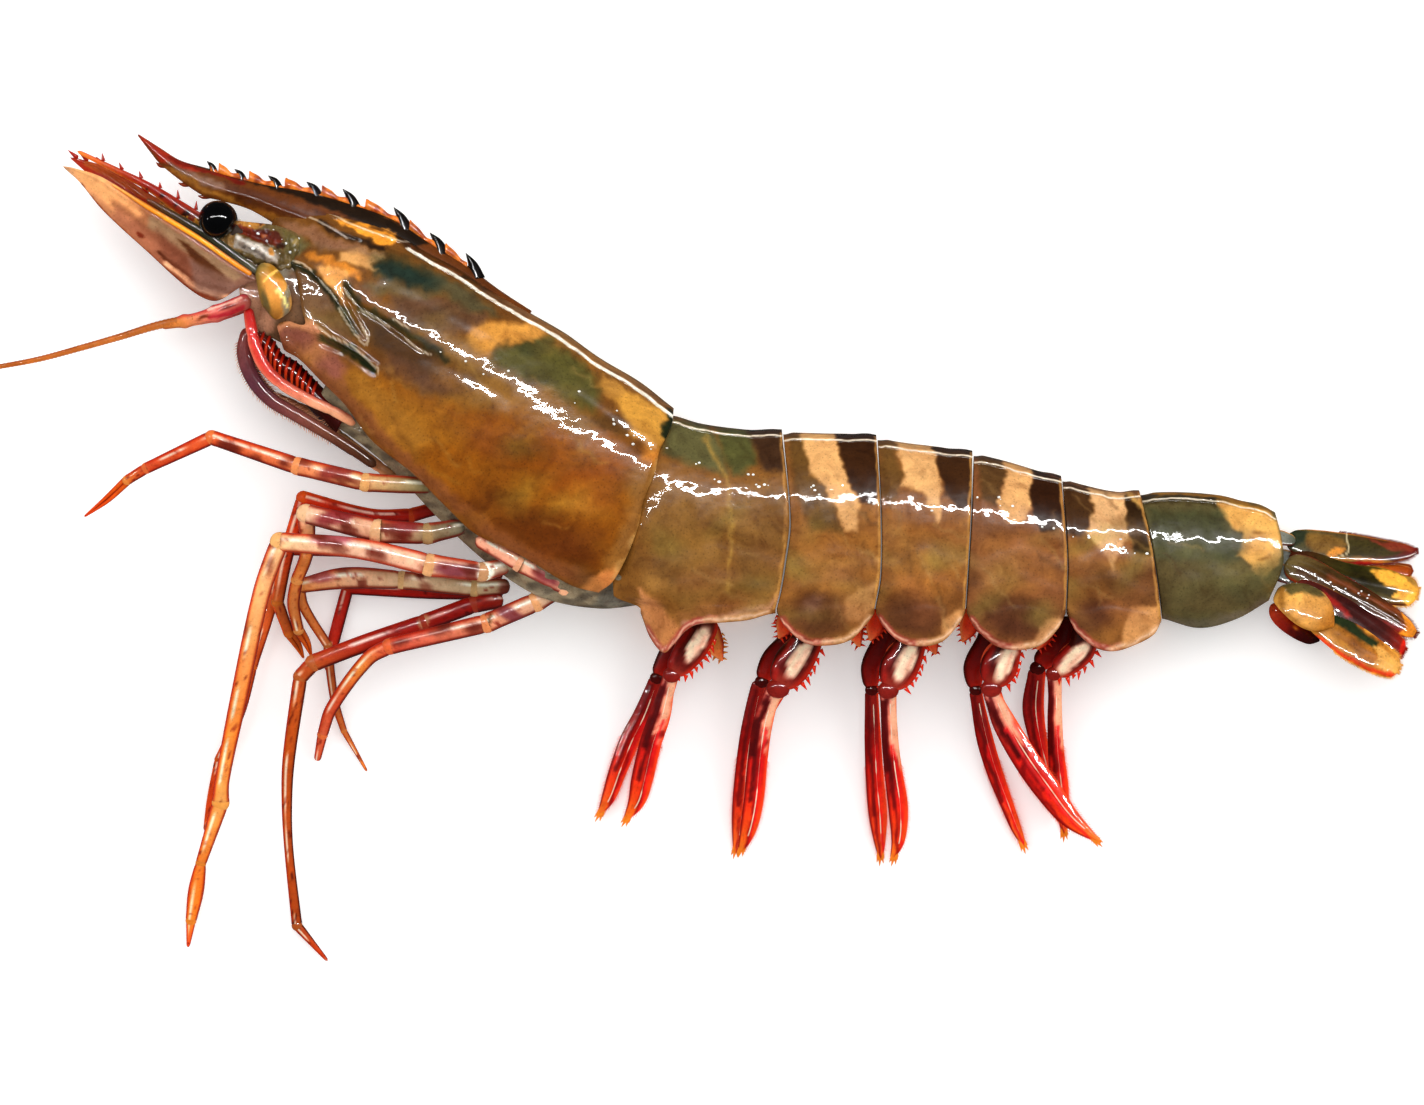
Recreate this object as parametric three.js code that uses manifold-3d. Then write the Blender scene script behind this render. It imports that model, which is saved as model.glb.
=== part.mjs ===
// A raw giant tiger prawn, 220 mm from rostrum to tail, lying on its right side.
// Millimetres. +X runs from the head to the tail, +Y from the belly to the back, +Z up from the
// surface that it lies on. The origin is under the carapace, in the flat that it rests on.
import * as THREE from 'three';
import { mergeVertices } from 'three/addons/utils/BufferGeometryUtils.js';
import Module from 'manifold-3d';

const wasm = await Module();
wasm.setup();

const { lerp, clamp, smoothstep, degToRad } = THREE.MathUtils;

// ---------------------------------------------------------------- driving dimensions
const GAP = 0.3; // clearance between neighbouring pieces
const NEAR_MISS = 0.02; // how far two faces that would coincide are kept apart
const SHELL = 1.0; // thickness of the free flaps of shell
const JOINT_WAIST = 0.78; // a limb's width at a joint, over its width beside it
const CARAPACE_TILT = degToRad(27); // how far the carapace's axis drops towards the tail
const CARAPACE_MIDDLE = 12.0; // height of the carapace's plane of symmetry
const CEILING = 0.7; // how far down its flanks the flesh under a shell ends
const EYE_RADIUS = 3.1;
const BELLY_STRAIGHT = 0.6; // depth at which a tail segment is widest, over its depth

// ---------------------------------------------------------------- curves
// A smooth value through stations [place, value]: a Hermite curve with its neighbours' slopes.
function profile(stations) {
  const last = stations.length - 1;
  const slopes = stations.map((_, i) => {
    const before = stations[Math.max(i - 1, 0)];
    const after = stations[Math.min(i + 1, last)];
    return (after[1] - before[1]) / (after[0] - before[0]);
  });
  return (place) => {
    let i = 0;
    while (i < last - 1 && place > stations[i + 1][0]) i += 1;
    const [x0, y0] = stations[i];
    const [x1, y1] = stations[i + 1];
    const t = clamp((place - x0) / (x1 - x0), 0, 1);
    const ease = t * t * (3 - 2 * t);
    const bend = (x1 - x0) * t * (1 - t) * (slopes[i] * (1 - t) - slopes[i + 1] * t);
    return lerp(y0, y1, ease) + bend;
  };
}

// The width of a rounded back at a depth below its ridge, both over their largest.
function rounded(depth, power) {
  return (1 - (1 - clamp(depth, 0, 1)) ** power) ** (1 / power);
}

const steps = (count) => Array.from({ length: count + 1 }, (_, i) => i / count);

// ---------------------------------------------------------------- closed bodies
// A solid from points and the triangles between them, turned so that its faces point out.
function solidOf(points, triangles) {
  let volume = 0;
  for (const [a, b, c] of triangles) {
    const [p, q, r] = [points[a], points[b], points[c]];
    volume += p[0] * (q[1] * r[2] - q[2] * r[1]) + p[1] * (q[2] * r[0] - q[0] * r[2])
      + p[2] * (q[0] * r[1] - q[1] * r[0]);
  }
  const outward = volume > 0 ? triangles : triangles.map(([a, b, c]) => [a, c, b]);
  return new wasm.Manifold(new wasm.Mesh({
    numProp: 3,
    vertProperties: new Float32Array(points.flat()),
    triVerts: new Uint32Array(outward.flat()),
  }));
}

// Quads between two loops of points, as triangles.
function band(lower, upper, triangles) {
  lower.forEach((a, i) => {
    const next = (i + 1) % lower.length;
    triangles.push([a, lower[next], upper[next]], [a, upper[next], upper[i]]);
  });
}

// A body that is alike on both sides of its middle plane. at(u, v) places station u and level v
// in the side view and half(u, v) gives the half-width there. Below the level with the index
// ceiling, two flaps of shell hang free on either side of a recess.
function bilateral({ at, half, middle, stations, levels, ceiling }) {
  const n = levels.length - 1;
  const points = [];
  const triangles = [];
  const loops = stations.map((u) => {
    const loop = [];
    const put = (k, side, inset) => {
      const [x, y] = at(u, levels[k]);
      const reach = Math.max(half(u, levels[k]) - inset, 0);
      loop.push(points.length);
      points.push([x, y, Math.max(middle(x) + side * reach, inset)]);
    };
    put(0, 0, 0);
    for (let k = 1; k <= n; k += 1) put(k, 1, 0);
    if (ceiling < n) {
      for (let k = n; k >= ceiling; k -= 1) put(k, 1, SHELL);
      for (let k = ceiling; k <= n; k += 1) put(k, -1, SHELL);
    }
    for (let k = n; k >= 1; k -= 1) put(k, -1, 0);
    return loop;
  });
  for (let i = 1; i < loops.length; i += 1) band(loops[i - 1], loops[i], triangles);
  const flaps = n - ceiling;
  const cap = (loop, flip) => {
    const total = loop.length;
    const near = (k) => loop[k];
    const far = (k) => loop[total - k];
    const nearInner = (k) => loop[n + 1 + n - k];
    const farInner = (k) => loop[n + 2 + flaps + k - ceiling];
    const push = (a, b, c) => triangles.push(flip ? [a, c, b] : [a, b, c]);
    push(loop[0], near(1), far(1));
    const solidTo = ceiling < n ? ceiling - 1 : n;
    for (let k = 1; k < solidTo; k += 1) {
      push(near(k), near(k + 1), far(k + 1));
      push(near(k), far(k + 1), far(k));
    }
    if (ceiling === n) return;
    const k = ceiling;
    push(near(k - 1), near(k), nearInner(k));
    push(near(k - 1), nearInner(k), farInner(k));
    push(near(k - 1), farInner(k), far(k));
    push(near(k - 1), far(k), far(k - 1));
    for (let j = ceiling; j < n; j += 1) {
      push(near(j), near(j + 1), nearInner(j + 1));
      push(near(j), nearInner(j + 1), nearInner(j));
      push(far(j), farInner(j), farInner(j + 1));
      push(far(j), farInner(j + 1), far(j + 1));
    }
  };
  cap(loops[0], true);
  cap(loops[loops.length - 1], false);
  return solidOf(points, triangles);
}

// A closed body through rings of points, with a pole at each end. Nothing goes below z = 0.
function loft(rings, startPole, endPole) {
  const points = [];
  const triangles = [];
  const add = ([x, y, z]) => {
    points.push([x, y, Math.max(z, 0)]);
    return points.length - 1;
  };
  const loops = rings.map((ring) => ring.map(add));
  for (let i = 1; i < loops.length; i += 1) band(loops[i - 1], loops[i], triangles);
  const start = add(startPole);
  const end = add(endPole);
  const first = loops[0];
  const last = loops[loops.length - 1];
  first.forEach((a, i) => triangles.push([start, first[(i + 1) % first.length], a]));
  last.forEach((a, i) => triangles.push([end, a, last[(i + 1) % last.length]]));
  return solidOf(points, triangles);
}

const UP = new THREE.Vector3(0, 0, 1);

// A ring round a point of a limb: width lies across the limb, thickness over it, roll turns both.
function ring(centre, direction, width, thickness, sides, roll = 0) {
  const across = new THREE.Vector3().crossVectors(UP, direction).normalize();
  const over = new THREE.Vector3().crossVectors(direction, across).normalize();
  return steps(sides).slice(0, -1).map((turn) => {
    const angle = 2 * Math.PI * turn;
    const a = Math.cos(angle) * width / 2;
    const b = Math.sin(angle) * thickness / 2;
    const side = a * Math.cos(roll) - b * Math.sin(roll);
    const rise = a * Math.sin(roll) + b * Math.cos(roll);
    return centre.clone().addScaledVector(across, side).addScaledVector(over, rise).toArray();
  });
}

// A jointed limb through [x, y, z, width] joints, waisted at each joint.
function limb(joints, { sides = 6, depth = 0.85, grow = 0, waist = JOINT_WAIST } = {}) {
  const at = joints.map(([x, y, z]) => new THREE.Vector3(x, y, z));
  const wide = joints.map((joint) => joint[3] + 2 * grow);
  const last = joints.length - 1;
  const heading = at.slice(1).map((point, i) => point.clone().sub(at[i]).normalize());
  const rings = [];
  const cut = (centre, direction, width) => {
    rings.push(ring(centre, direction, width, width * depth, sides));
  };
  const root = at[0].clone().addScaledVector(heading[0], -grow);
  cut(root, heading[0], wide[0]);
  for (let i = 0; i < last; i += 1) {
    const length = at[i].distanceTo(at[i + 1]);
    const lead = Math.min(length * 0.3, wide[i] * 0.6);
    const trail = Math.min(length * 0.3, wide[i + 1] * 0.6);
    if (waist < 1) {
      if (i > 0) cut(at[i].clone().addScaledVector(heading[i], lead), heading[i], wide[i]);
      if (i < last - 1) {
        cut(at[i + 1].clone().addScaledVector(heading[i], -trail), heading[i], wide[i + 1]);
      }
    }
    if (i < last - 1) {
      const bisector = heading[i].clone().add(heading[i + 1]).normalize();
      cut(at[i + 1], bisector, wide[i + 1] * waist);
    }
  }
  const tip = at[last].clone().addScaledVector(heading[last - 1], grow);
  cut(at[last], heading[last - 1], wide[last]);
  const pole = tip.clone().addScaledVector(heading[last - 1], joints[last][3] * 0.4);
  return loft(rings, root.toArray(), pole.toArray());
}

// A flat blade through [x, y, z, width] points: a lens in section, turned by roll about its length.
function blade(path, { thickness, roll = 0, grow = 0, sides = 6 }) {
  const at = path.map(([x, y, z]) => new THREE.Vector3(x, y, z));
  const last = path.length - 1;
  const heading = at.map((_, i) => {
    const before = at[Math.max(i - 1, 0)];
    return at[Math.min(i + 1, last)].clone().sub(before).normalize();
  });
  const rings = at.map((centre, i) => {
    const thin = thickness * Math.min(1, path[i][3] / path[1][3]);
    return ring(centre, heading[i], path[i][3] + 2 * grow, thin + 2 * grow, sides, roll);
  });
  const start = at[0].clone().addScaledVector(heading[0], -0.2 - grow);
  const end = at[last].clone().addScaledVector(heading[last], 0.4 + grow);
  return loft(rings, start.toArray(), end.toArray());
}

// A flat plate between two edges, each a list of [x, y, z]: thickest along a rib.
function plate(edge, margin, { thickness, rib = 0.35, grow = 0 }) {
  const rings = edge.map((start, i) => {
    const a = new THREE.Vector3(...start);
    const b = new THREE.Vector3(...margin[i]);
    const across = b.clone().sub(a).normalize();
    a.addScaledVector(across, -grow);
    b.addScaledVector(across, grow);
    const over = new THREE.Vector3().crossVectors(across, new THREE.Vector3(-across.y, across.x, 0))
      .normalize();
    const rise = thickness / 2 + grow;
    const at = (share, height) => a.clone().lerp(b, share).addScaledVector(over, height).toArray();
    return [at(0, 0), at(rib * 0.4, rise), at(rib * 1.6, rise), at(1, 0.1), at(1, -0.1),
      at(rib * 1.6, -rise), at(rib * 0.4, -rise)];
  });
  const middle = (loop) => loop.reduce((sum, p) => sum.map((q, i) => q + p[i] / loop.length),
    [0, 0, 0]);
  return loft(rings, middle(rings[0]), middle(rings[rings.length - 1]));
}

function join(solids) {
  return solids.reduce((whole, solid) => whole.add(solid));
}

// ---------------------------------------------------------------- carapace
// In the carapace's own frame s runs back along its axis and h towards its back.
function tilted(s, h) {
  const [c, k] = [Math.cos(CARAPACE_TILT), Math.sin(CARAPACE_TILT)];
  return [s * c + h * k, h * c - s * k];
}

const backLine = profile([[-90.9, 15.8], [-86.8, 15.4], [-83.1, 15.1], [-78.8, 15.9],
  [-74.1, 16.8], [-68.8, 18.1], [-63.1, 19.9], [-57.0, 21.2], [-48.5, 22.3], [-41.5, 21.6],
  [-34.9, 21.0], [-28.1, 19.8], [-16.7, 18.6], [-8.9, 17.4], [-1.4, 16.9], [5.3, 15.6], [9.4, 15.1]]);
const crestHeight = profile([[-65, 2.6], [-57, 2.2], [-48, 1.9], [-35, 1.2], [-25, 0.6], [-15, 0]]);
const lowerEdge = profile([[-65, -2.0], [-60, -2.6], [-56.8, -3.1], [-54.5, -4.4], [-51.7, -4.6],
  [-46.8, -6.2], [-41.8, -7.8], [-35.4, -10.9], [-27.0, -12.7], [-19.9, -15.0], [-13.8, -16.7],
  [-6.0, -16.5], [3.5, -17.1], [8.2, -16.1]]);
const frontEdge = profile([[0, -65.5], [0.316, -64.8], [0.457, -61.0], [0.516, -58.7],
  [0.628, -56.6], [0.712, -54.7], [0.784, -53.3], [0.824, -55.4], [0.934, -57.1], [1, -54.5]]);
const rearEdge = profile([[0, 5.3], [0.084, 6.3], [0.22, 6.4], [0.316, 7.3], [0.47, 7.7],
  [0.6, 8.8], [0.766, 9.4], [0.92, 9.2], [1, 8.0]]);
const carapaceHalf = profile([[-65, 2.3], [-60, 4.6], [-55, 6.8], [-50, 8.4], [-40, 10.6],
  [-30, 11.9], [-20, 12.5], [-5, 12.5], [5, 12.1], [9.4, 11.7]]);
const carapaceLevels = [0, 0.015, 0.05, 0.11, 0.19, 0.29, 0.4, 0.5, 0.6, CEILING, 0.784, 0.86,
  0.934, 1];
const flankShape = (v) => (v < 0.5 ? rounded(v / 0.5, 2.1) : 1 - 0.3 * ((v - 0.5) / 0.5) ** 2.4);

function carapaceShell(grow, forward = 0) {
  const at = (u, v) => {
    const s = lerp(frontEdge(v) - grow, rearEdge(v) + grow, u);
    const top = backLine(s) - crestHeight(s) + grow;
    return tilted(s - forward, lerp(top, lowerEdge(s) - grow, v));
  };
  const half = (u, v) => {
    const s = lerp(frontEdge(v), rearEdge(v), u);
    return carapaceHalf(s) * flankShape(v) + grow;
  };
  const ceiling = carapaceLevels.indexOf(CEILING);
  const stations = [0, 0.03, 0.08, 0.14, 0.21, 0.29, 0.38, 0.48, 0.58, 0.68, 0.78, 0.87, 0.94, 1];
  return bilateral({
    at, half, middle: () => CARAPACE_MIDDLE, stations, levels: carapaceLevels, ceiling,
  });
}

const rostrumUnder = profile([[-90.9, 15.5], [-88.0, 14.1], [-85.7, 13.1], [-80.9, 12.1],
  [-76.9, 11.7], [-74.2, 12.3], [-69.5, 13.1], [-63.1, 12.8], [-55, 13.5], [-45, 14.5], [-22, 13]]);
const rostrumHalf = profile([[-90.9, 0.35], [-85, 0.8], [-75, 1.2], [-65, 1.8], [-55, 2.2],
  [-40, 1.8], [-22, 1.0]]);
const rostrumShape = profile([[0, 0], [0.12, 0.55], [0.35, 0.95], [0.6, 1.1], [0.85, 0.75],
  [1, 0.4]]);
const ROSTRUM_FROM = -90.9;
const ROSTRUM_TO = -22;
const backTeeth = [[-79.0, 16.6], [-74.5, 17.5], [-69.2, 19.0], [-63.3, 20.9], [-57.6, 22.5],
  [-49.0, 23.6], [-42.0, 22.6], [-35.4, 22.3]];
const underTeeth = [[-86.4, 13.0], [-81.7, 11.7], [-78.0, 11.3]];

function rostrum(grow) {
  const along = (u) => lerp(ROSTRUM_FROM - grow, ROSTRUM_TO, u);
  const at = (u, v) => {
    const s = along(u);
    return tilted(s, lerp(backLine(s) + grow, rostrumUnder(s) - grow, v));
  };
  const half = (u, v) => rostrumHalf(along(u)) * rostrumShape(v) + (v > 0 ? grow : 0);
  const levels = [0, 0.12, 0.35, 0.6, 0.85, 1];
  return bilateral({
    at, half, middle: () => CARAPACE_MIDDLE, stations: steps(13), levels, ceiling: 5,
  });
}

// A tooth leans forward from the rostrum's edge; rise is +1 on the back and -1 underneath.
function tooth([s, h], edge, rise) {
  const length = rise > 0 ? 3.6 : 2.0;
  const foot = s + length;
  const [x0, y0] = tilted(foot, edge(foot) - rise * 0.9);
  const [x1, y1] = tilted(s, h);
  const wide = length * 0.5;
  return blade([[x0, y0, CARAPACE_MIDDLE, wide],
    [(x0 + x1) / 2, (y0 + y1) / 2, CARAPACE_MIDDLE, wide * 0.7], [x1, y1, CARAPACE_MIDDLE, 0.3]],
  { thickness: 0.9, sides: 4 });
}

function carapace(grow) {
  const teeth = [...backTeeth.map((tip) => tooth(tip, backLine, 1)),
    ...underTeeth.map((tip) => tooth(tip, rostrumUnder, -1))];
  if (grow === 0) return join([carapaceShell(0), rostrum(0), ...teeth]);
  return join([carapaceShell(grow), carapaceShell(0, grow), rostrum(grow)]);
}

// The plates of the breast, between the carapace's two flaps.
const breastUnder = profile([[-48, -11.0], [-38, -12.0], [-30, -13.8], [-19.9, -17.3],
  [-9.5, -20.1], [0, -21.0], [9.2, -18.4], [15.8, -14.2]]);
const breastHalf = profile([[-48, 4.0], [-35, 5.6], [-20, 7.2], [0, 8.4], [10, 8.4], [16, 7.6]]);
const breastShape = profile([[0, 0], [0.04, 0.9], [0.3, 1], [0.6, 0.92], [0.85, 0.74], [1, 0.45]]);

function breast(grow) {
  const along = (u) => lerp(-46 - grow, 15.5 + grow, u);
  const top = (s) => lerp(backLine(s) - crestHeight(s), lowerEdge(s), CEILING) - 0.6;
  const at = (u, v) => {
    const s = along(u);
    return tilted(s, lerp(top(s) + grow, breastUnder(s) - grow, v));
  };
  const half = (u, v) => breastHalf(along(u)) * breastShape(v) + (v > 0 ? grow : 0);
  const levels = [0, 0.04, 0.3, 0.6, 0.85, 1];
  return bilateral({
    at, half, middle: () => CARAPACE_MIDDLE, stations: steps(12), levels, ceiling: 5,
  });
}

// ---------------------------------------------------------------- tail segments
const tailTop = profile([[6, 10.9], [11.5, 10.4], [16, 9.1], [22.4, 8.2], [29.6, 7.7], [35.2, 7.5],
  [41.6, 7.3], [48, 6.1], [55.7, 5.1], [64, 3.3], [70.4, 1.4], [76.8, -0.6], [83.2, -1.9],
  [92.8, -1.9], [99.2, -2.4], [102.4, -3.2], [105.6, -4.2], [108.2, -5.6]]);
const tailHalf = profile([[8, 11.9], [20, 11.9], [40, 11.4], [60, 10.5], [75, 9.5], [88, 8.1],
  [98, 7.3], [105, 6.2], [109, 4.9]]);
const tailMiddle = profile([[8, 11.7], [40, 11.1], [60, 10.2], [75, 9.2], [88, 7.9], [100, 7.1],
  [109, 6.9]]);
const bellyLine = profile([[6, -20.6], [80, -20.6], [90, -22.2], [96, -23.7], [102, -22.2],
  [107.2, -19.2]]);
// The rear rims of the carapace (0) and of the six segments: [share of the depth, x].
const rims = [
  [[0, 11.2], [0.06, 11.0], [0.19, 8.8], [0.29, 8.0], [0.445, 6.6], [0.58, 6.4], [0.74, 6.4], [1, 6.5]],
  [[0, 29.2], [0.5, 30.4], [0.75, 29.6], [0.9, 28.9], [1, 28.2]],
  [[0, 44.3], [0.4, 44.9], [0.8, 44.9], [1, 44.0]],
  [[0, 59.7], [0.4, 59.4], [1, 58.5]],
  [[0, 73.9], [0.6, 74.8], [1, 74.6]],
  [[0, 86.4], [0.35, 88.0], [0.7, 89.2], [1, 89.9]],
  [[0, 108.2], [0.3, 109.2], [0.6, 109.4], [1, 107.2]],
].map(profile);
// The free lower edges of the segments: [share of the length, y].
const tips = [
  [[0, -21.3], [0.07, -25.2], [0.17, -27.6], [0.25, -26.2], [0.33, -24.2], [0.42, -23.1], [0.62, -22.8],
    [0.8, -22.4], [0.93, -21.6], [1, -21.3]],
  [[0, -21.3], [0.08, -23.4], [0.28, -26.0], [0.5, -26.5], [0.75, -25.6], [0.93, -22.8], [1, -21.3]],
  [[0, -21.3], [0.08, -23.4], [0.28, -26.0], [0.5, -26.6], [0.75, -25.8], [0.93, -23.0], [1, -21.3]],
  [[0, -21.3], [0.08, -23.6], [0.28, -26.4], [0.5, -27.2], [0.75, -26.4], [0.93, -23.6], [1, -21.3]],
  [[0, -21.3], [0.08, -24.0], [0.3, -26.8], [0.5, -27.4], [0.72, -26.4], [0.93, -24.6], [1, -22.6]],
].map(profile);
const segmentLevels = [0, 0.02, 0.08, 0.18, 0.32, 0.48, 0.64, 0.8, 0.9, 1];
const SEGMENT_CEILING = 0.8;
const RIM_RAISE = 0.35;

function segment(number, grow) {
  const front = rims[number - 1];
  const rear = rims[number];
  const isLast = number === 6;
  const isFirst = number === 1;
  const gap = GAP / 2 - (grow > 0 ? grow - NEAR_MISS : 0);
  const raise = (u) => RIM_RAISE * (smoothstep(u, 0.7, 0.95) - 1 + smoothstep(u, 0, 0.15)) + grow;
  const deep = (v) => clamp(isLast ? v : v / SEGMENT_CEILING, 0, 1);
  const along = (u, v) => {
    const share = deep(v);
    const tucked = isFirst ? -1.2 * (1 - share) : gap;
    return lerp(front(share) + tucked, rear(share) - gap, u);
  };
  const at = (u, v) => {
    const x = along(u, v);
    const y = lerp(tailTop(x) + raise(u), bellyLine(x) - (isLast ? grow : 0), deep(v));
    if (isLast || v <= SEGMENT_CEILING) return [x, y];
    return [x, lerp(y, tips[number - 1](u) - grow, (v - SEGMENT_CEILING) / (1 - SEGMENT_CEILING))];
  };
  const half = (u, v) => {
    const x = along(u, v);
    const share = deep(v);
    const back = rounded(share / BELLY_STRAIGHT, 2.3);
    const below = Math.max(share - BELLY_STRAIGHT, 0) / (1 - BELLY_STRAIGHT);
    const hang = Math.max(v - SEGMENT_CEILING, 0) / (1 - SEGMENT_CEILING);
    const turnIn = isLast ? 0.5 * below ** 2 : 0.07 * below ** 2 + 0.16 * hang;
    return tailHalf(x) * back * (1 - turnIn) + (v > 0 ? raise(u) : 0);
  };
  const ceiling = isLast ? segmentLevels.length - 1 : segmentLevels.indexOf(SEGMENT_CEILING);
  const stations = [0, 0.06, 0.15, 0.3, 0.5, 0.7, 0.83, 0.94, 1];
  return bilateral({ at, half, middle: tailMiddle, stations, levels: segmentLevels, ceiling });
}

// ---------------------------------------------------------------- tail fan
const FAN_ROLL = degToRad(-28);
const fan = {
  telson: {
    look: 'olive', thickness: 2.2,
    path: [[109.6, -13.4, 8.4, 3.6], [113, -14.6, 8.6, 4.6], [118, -17.4, 8.8, 4.6],
      [124, -20.6, 8.6, 4.2], [129, -23.6, 8.2, 2.8], [131, -24.9, 8.0, 1.0]],
  },
  exopod_right: {
    look: 'green', thickness: 1.2,
    path: [[109.8, -9.4, 5.2, 2.6], [113, -10.2, 5.0, 4.6], [119, -11.2, 4.6, 5.6],
      [125, -12.2, 4.2, 5.4], [129.5, -13.2, 3.9, 4.2], [131.2, -13.7, 3.8, 1.6]],
  },
  endopod_right: {
    look: 'amber', thickness: 1.2,
    path: [[110.4, -12.0, 6.4, 2.2], [114, -13.2, 6.7, 3.6], [119.5, -15.6, 6.8, 4.8],
      [125.5, -16.9, 6.4, 5.4], [130, -17.9, 5.8, 4.2], [131.4, -18.3, 5.6, 1.8]],
  },
  endopod_left: {
    look: 'maroon', thickness: 1.2,
    path: [[111.6, -16.4, 10.4, 2.2], [115.4, -18.6, 10.8, 3.4], [120, -21.6, 10.8, 4.4],
      [125.0, -25.1, 10.4, 4.6], [127.9, -27.1, 9.8, 3.6], [128.9, -27.8, 9.6, 1.6]],
  },
  exopod_left: {
    look: 'amber', thickness: 1.3,
    path: [[113.0, -21.0, 12.0, 3.0], [116.0, -23.0, 12.6, 4.6], [120, -25.6, 12.8, 5.6],
      [124.2, -28.2, 12.4, 5.0], [127.2, -29.8, 11.8, 3.6], [128.2, -30.3, 11.6, 1.6]],
  },
};
const uropodBases = {
  uropod_base_left: [[108.8, -17.2, 9.6, 3.0], [110.6, -18.4, 12.4, 6.4], [113.6, -20.6, 13.6, 7.6],
    [116.2, -22.4, 13.6, 5.4], [117.4, -23.4, 13.4, 2.4]],
  uropod_base_right: [[107.4, -20.0, 5.4, 2.4], [109.2, -21.7, 5.0, 4.0], [111.8, -23.6, 4.6, 4.2],
    [114.2, -25.2, 4.4, 3.0], [115.3, -25.8, 4.4, 1.2]],
};

// ---------------------------------------------------------------- head
const headHalf = profile([[-68, 3.4], [-62, 4.6], [-56, 5.4], [-50, 5.8]]);
const headShape = profile([[0, 0], [0.06, 0.55], [0.22, 0.88], [0.5, 1], [0.8, 0.85], [1, 0.4]]);
const headFront = profile([[0, -68], [0.4, -66.6], [0.75, -64.6], [1, -60.5]]);

function head(grow) {
  const along = (u, v) => lerp(headFront(v) - grow, -51, u);
  const at = (u, v) => tilted(along(u, v), lerp(10.8 + grow, -3.6 - grow, v));
  const half = (u, v) => headHalf(along(u, v)) * headShape(v) + (v > 0 ? grow : 0);
  const levels = [0, 0.06, 0.22, 0.5, 0.8, 1];
  return bilateral({
    at, half, middle: () => CARAPACE_MIDDLE, stations: steps(5), levels, ceiling: 5,
  });
}

// The jaws and the folded feeding legs in front of the breast.
function jaws(grow) {
  const along = (u) => lerp(-59.5 - grow, -41 + grow, u);
  const at = (u, v) => {
    const s = along(u);
    return tilted(s, lerp(lowerEdge(s) - 0.6 + grow, lowerEdge(s) - lerp(3.6, 5.2, u) - grow, v));
  };
  const half = (u, v) => 3.6 * headShape(v) + (v > 0 ? grow : 0);
  const levels = [0, 0.06, 0.22, 0.5, 0.8, 1];
  return bilateral({
    at, half, middle: () => CARAPACE_MIDDLE, stations: steps(5), levels, ceiling: 5,
  });
}

function ball([x, y, z], radius) {
  const geometry = new THREE.SphereGeometry(radius, 12, 8).translate(x, y, z);
  geometry.deleteAttribute('normal');
  geometry.deleteAttribute('uv');
  const merged = mergeVertices(geometry, 1e-4);
  return new wasm.Manifold(new wasm.Mesh({
    numProp: 3,
    vertProperties: merged.attributes.position.array,
    triVerts: new Uint32Array(merged.index.array),
  }));
}

function eye(side, grow) {
  const z = CARAPACE_MIDDLE + side * 4.3;
  const stalk = limb([[-57.0, 38.6, z - side * 1.6, 2.6], [-59.4, 40.4, z - side * 0.4, 2.6]], { grow });
  return join([ball([-61.1, 41.6, z], EYE_RADIUS + grow), stalk]);
}

// The scale of an antenna: a long plate with a stiff outer edge that ends in a spine.
function scale(side, grow) {
  const [dx, dy] = side > 0 ? [0, 0] : [1.0, 1.5];
  const z = CARAPACE_MIDDLE + side * 4.6;
  const outer = [[-54.6, 32.2], [-59.0, 35.4], [-64.0, 38.9], [-72.5, 44.0], [-79.6, 48.4],
    [-84.2, 49.9], [-85.9, 50.2]];
  const inner = [[-57.5, 30.8], [-61.5, 28.6], [-65.5, 30.4], [-72.5, 36.6], [-79.5, 43.1],
    [-83.2, 47.6], [-85.6, 49.8]];
  const place = (tuck) => ([x, y], i) => [x + dx, y + dy, z + side * (0.6 - tuck - i * 0.25)];
  return plate(outer.map(place(0)), inner.map(place(1.4)), { thickness: 1.3, grow });
}

const scaleBase = [[-54.2, 34.6, 0, 2.6], [-52.6, 31.4, 0, 4.6], [-51.6, 28.0, 0, 4.8],
  [-51.8, 25.6, 0, 2.2]];
const feeler = [[-55.8, 28.9, 16.2, 2.6], [-60.0, 27.2, 16.4, 2.5], [-64.2, 25.9, 16.0, 1.7],
  [-70.4, 24.8, 15.0, 1.3], [-76.8, 22.9, 13.6, 1.1], [-83.2, 21.1, 12.0, 1.0],
  [-89.6, 19.4, 10.2, 0.9], [-96.0, 18.2, 8.4, 0.8], [-104.0, 16.9, 6.2, 0.75],
  [-113.0, 15.2, 4.2, 0.7], [-122.0, 13.2, 2.6, 0.65], [-131.0, 10.8, 1.4, 0.55]];
const feelerStub = [[-55.8, 28.6, 7.8, 2.6], [-60.0, 27.0, 7.6, 2.5], [-64.2, 25.8, 7.4, 1.7],
  [-70.4, 24.7, 6.8, 1.2]];
const antennule = [[-56.6, 36.6, 0, 2.6], [-62.0, 40.0, 0, 2.6], [-67.0, 43.4, 0, 2.2],
  [-72.0, 46.8, 0, 1.4], [-77.5, 49.6, 0, 1.0], [-83.6, 52.6, 0, 0.6]];
const level = (path, z) => path.map(([x, y, , width]) => [x, y, z, width]);

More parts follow.
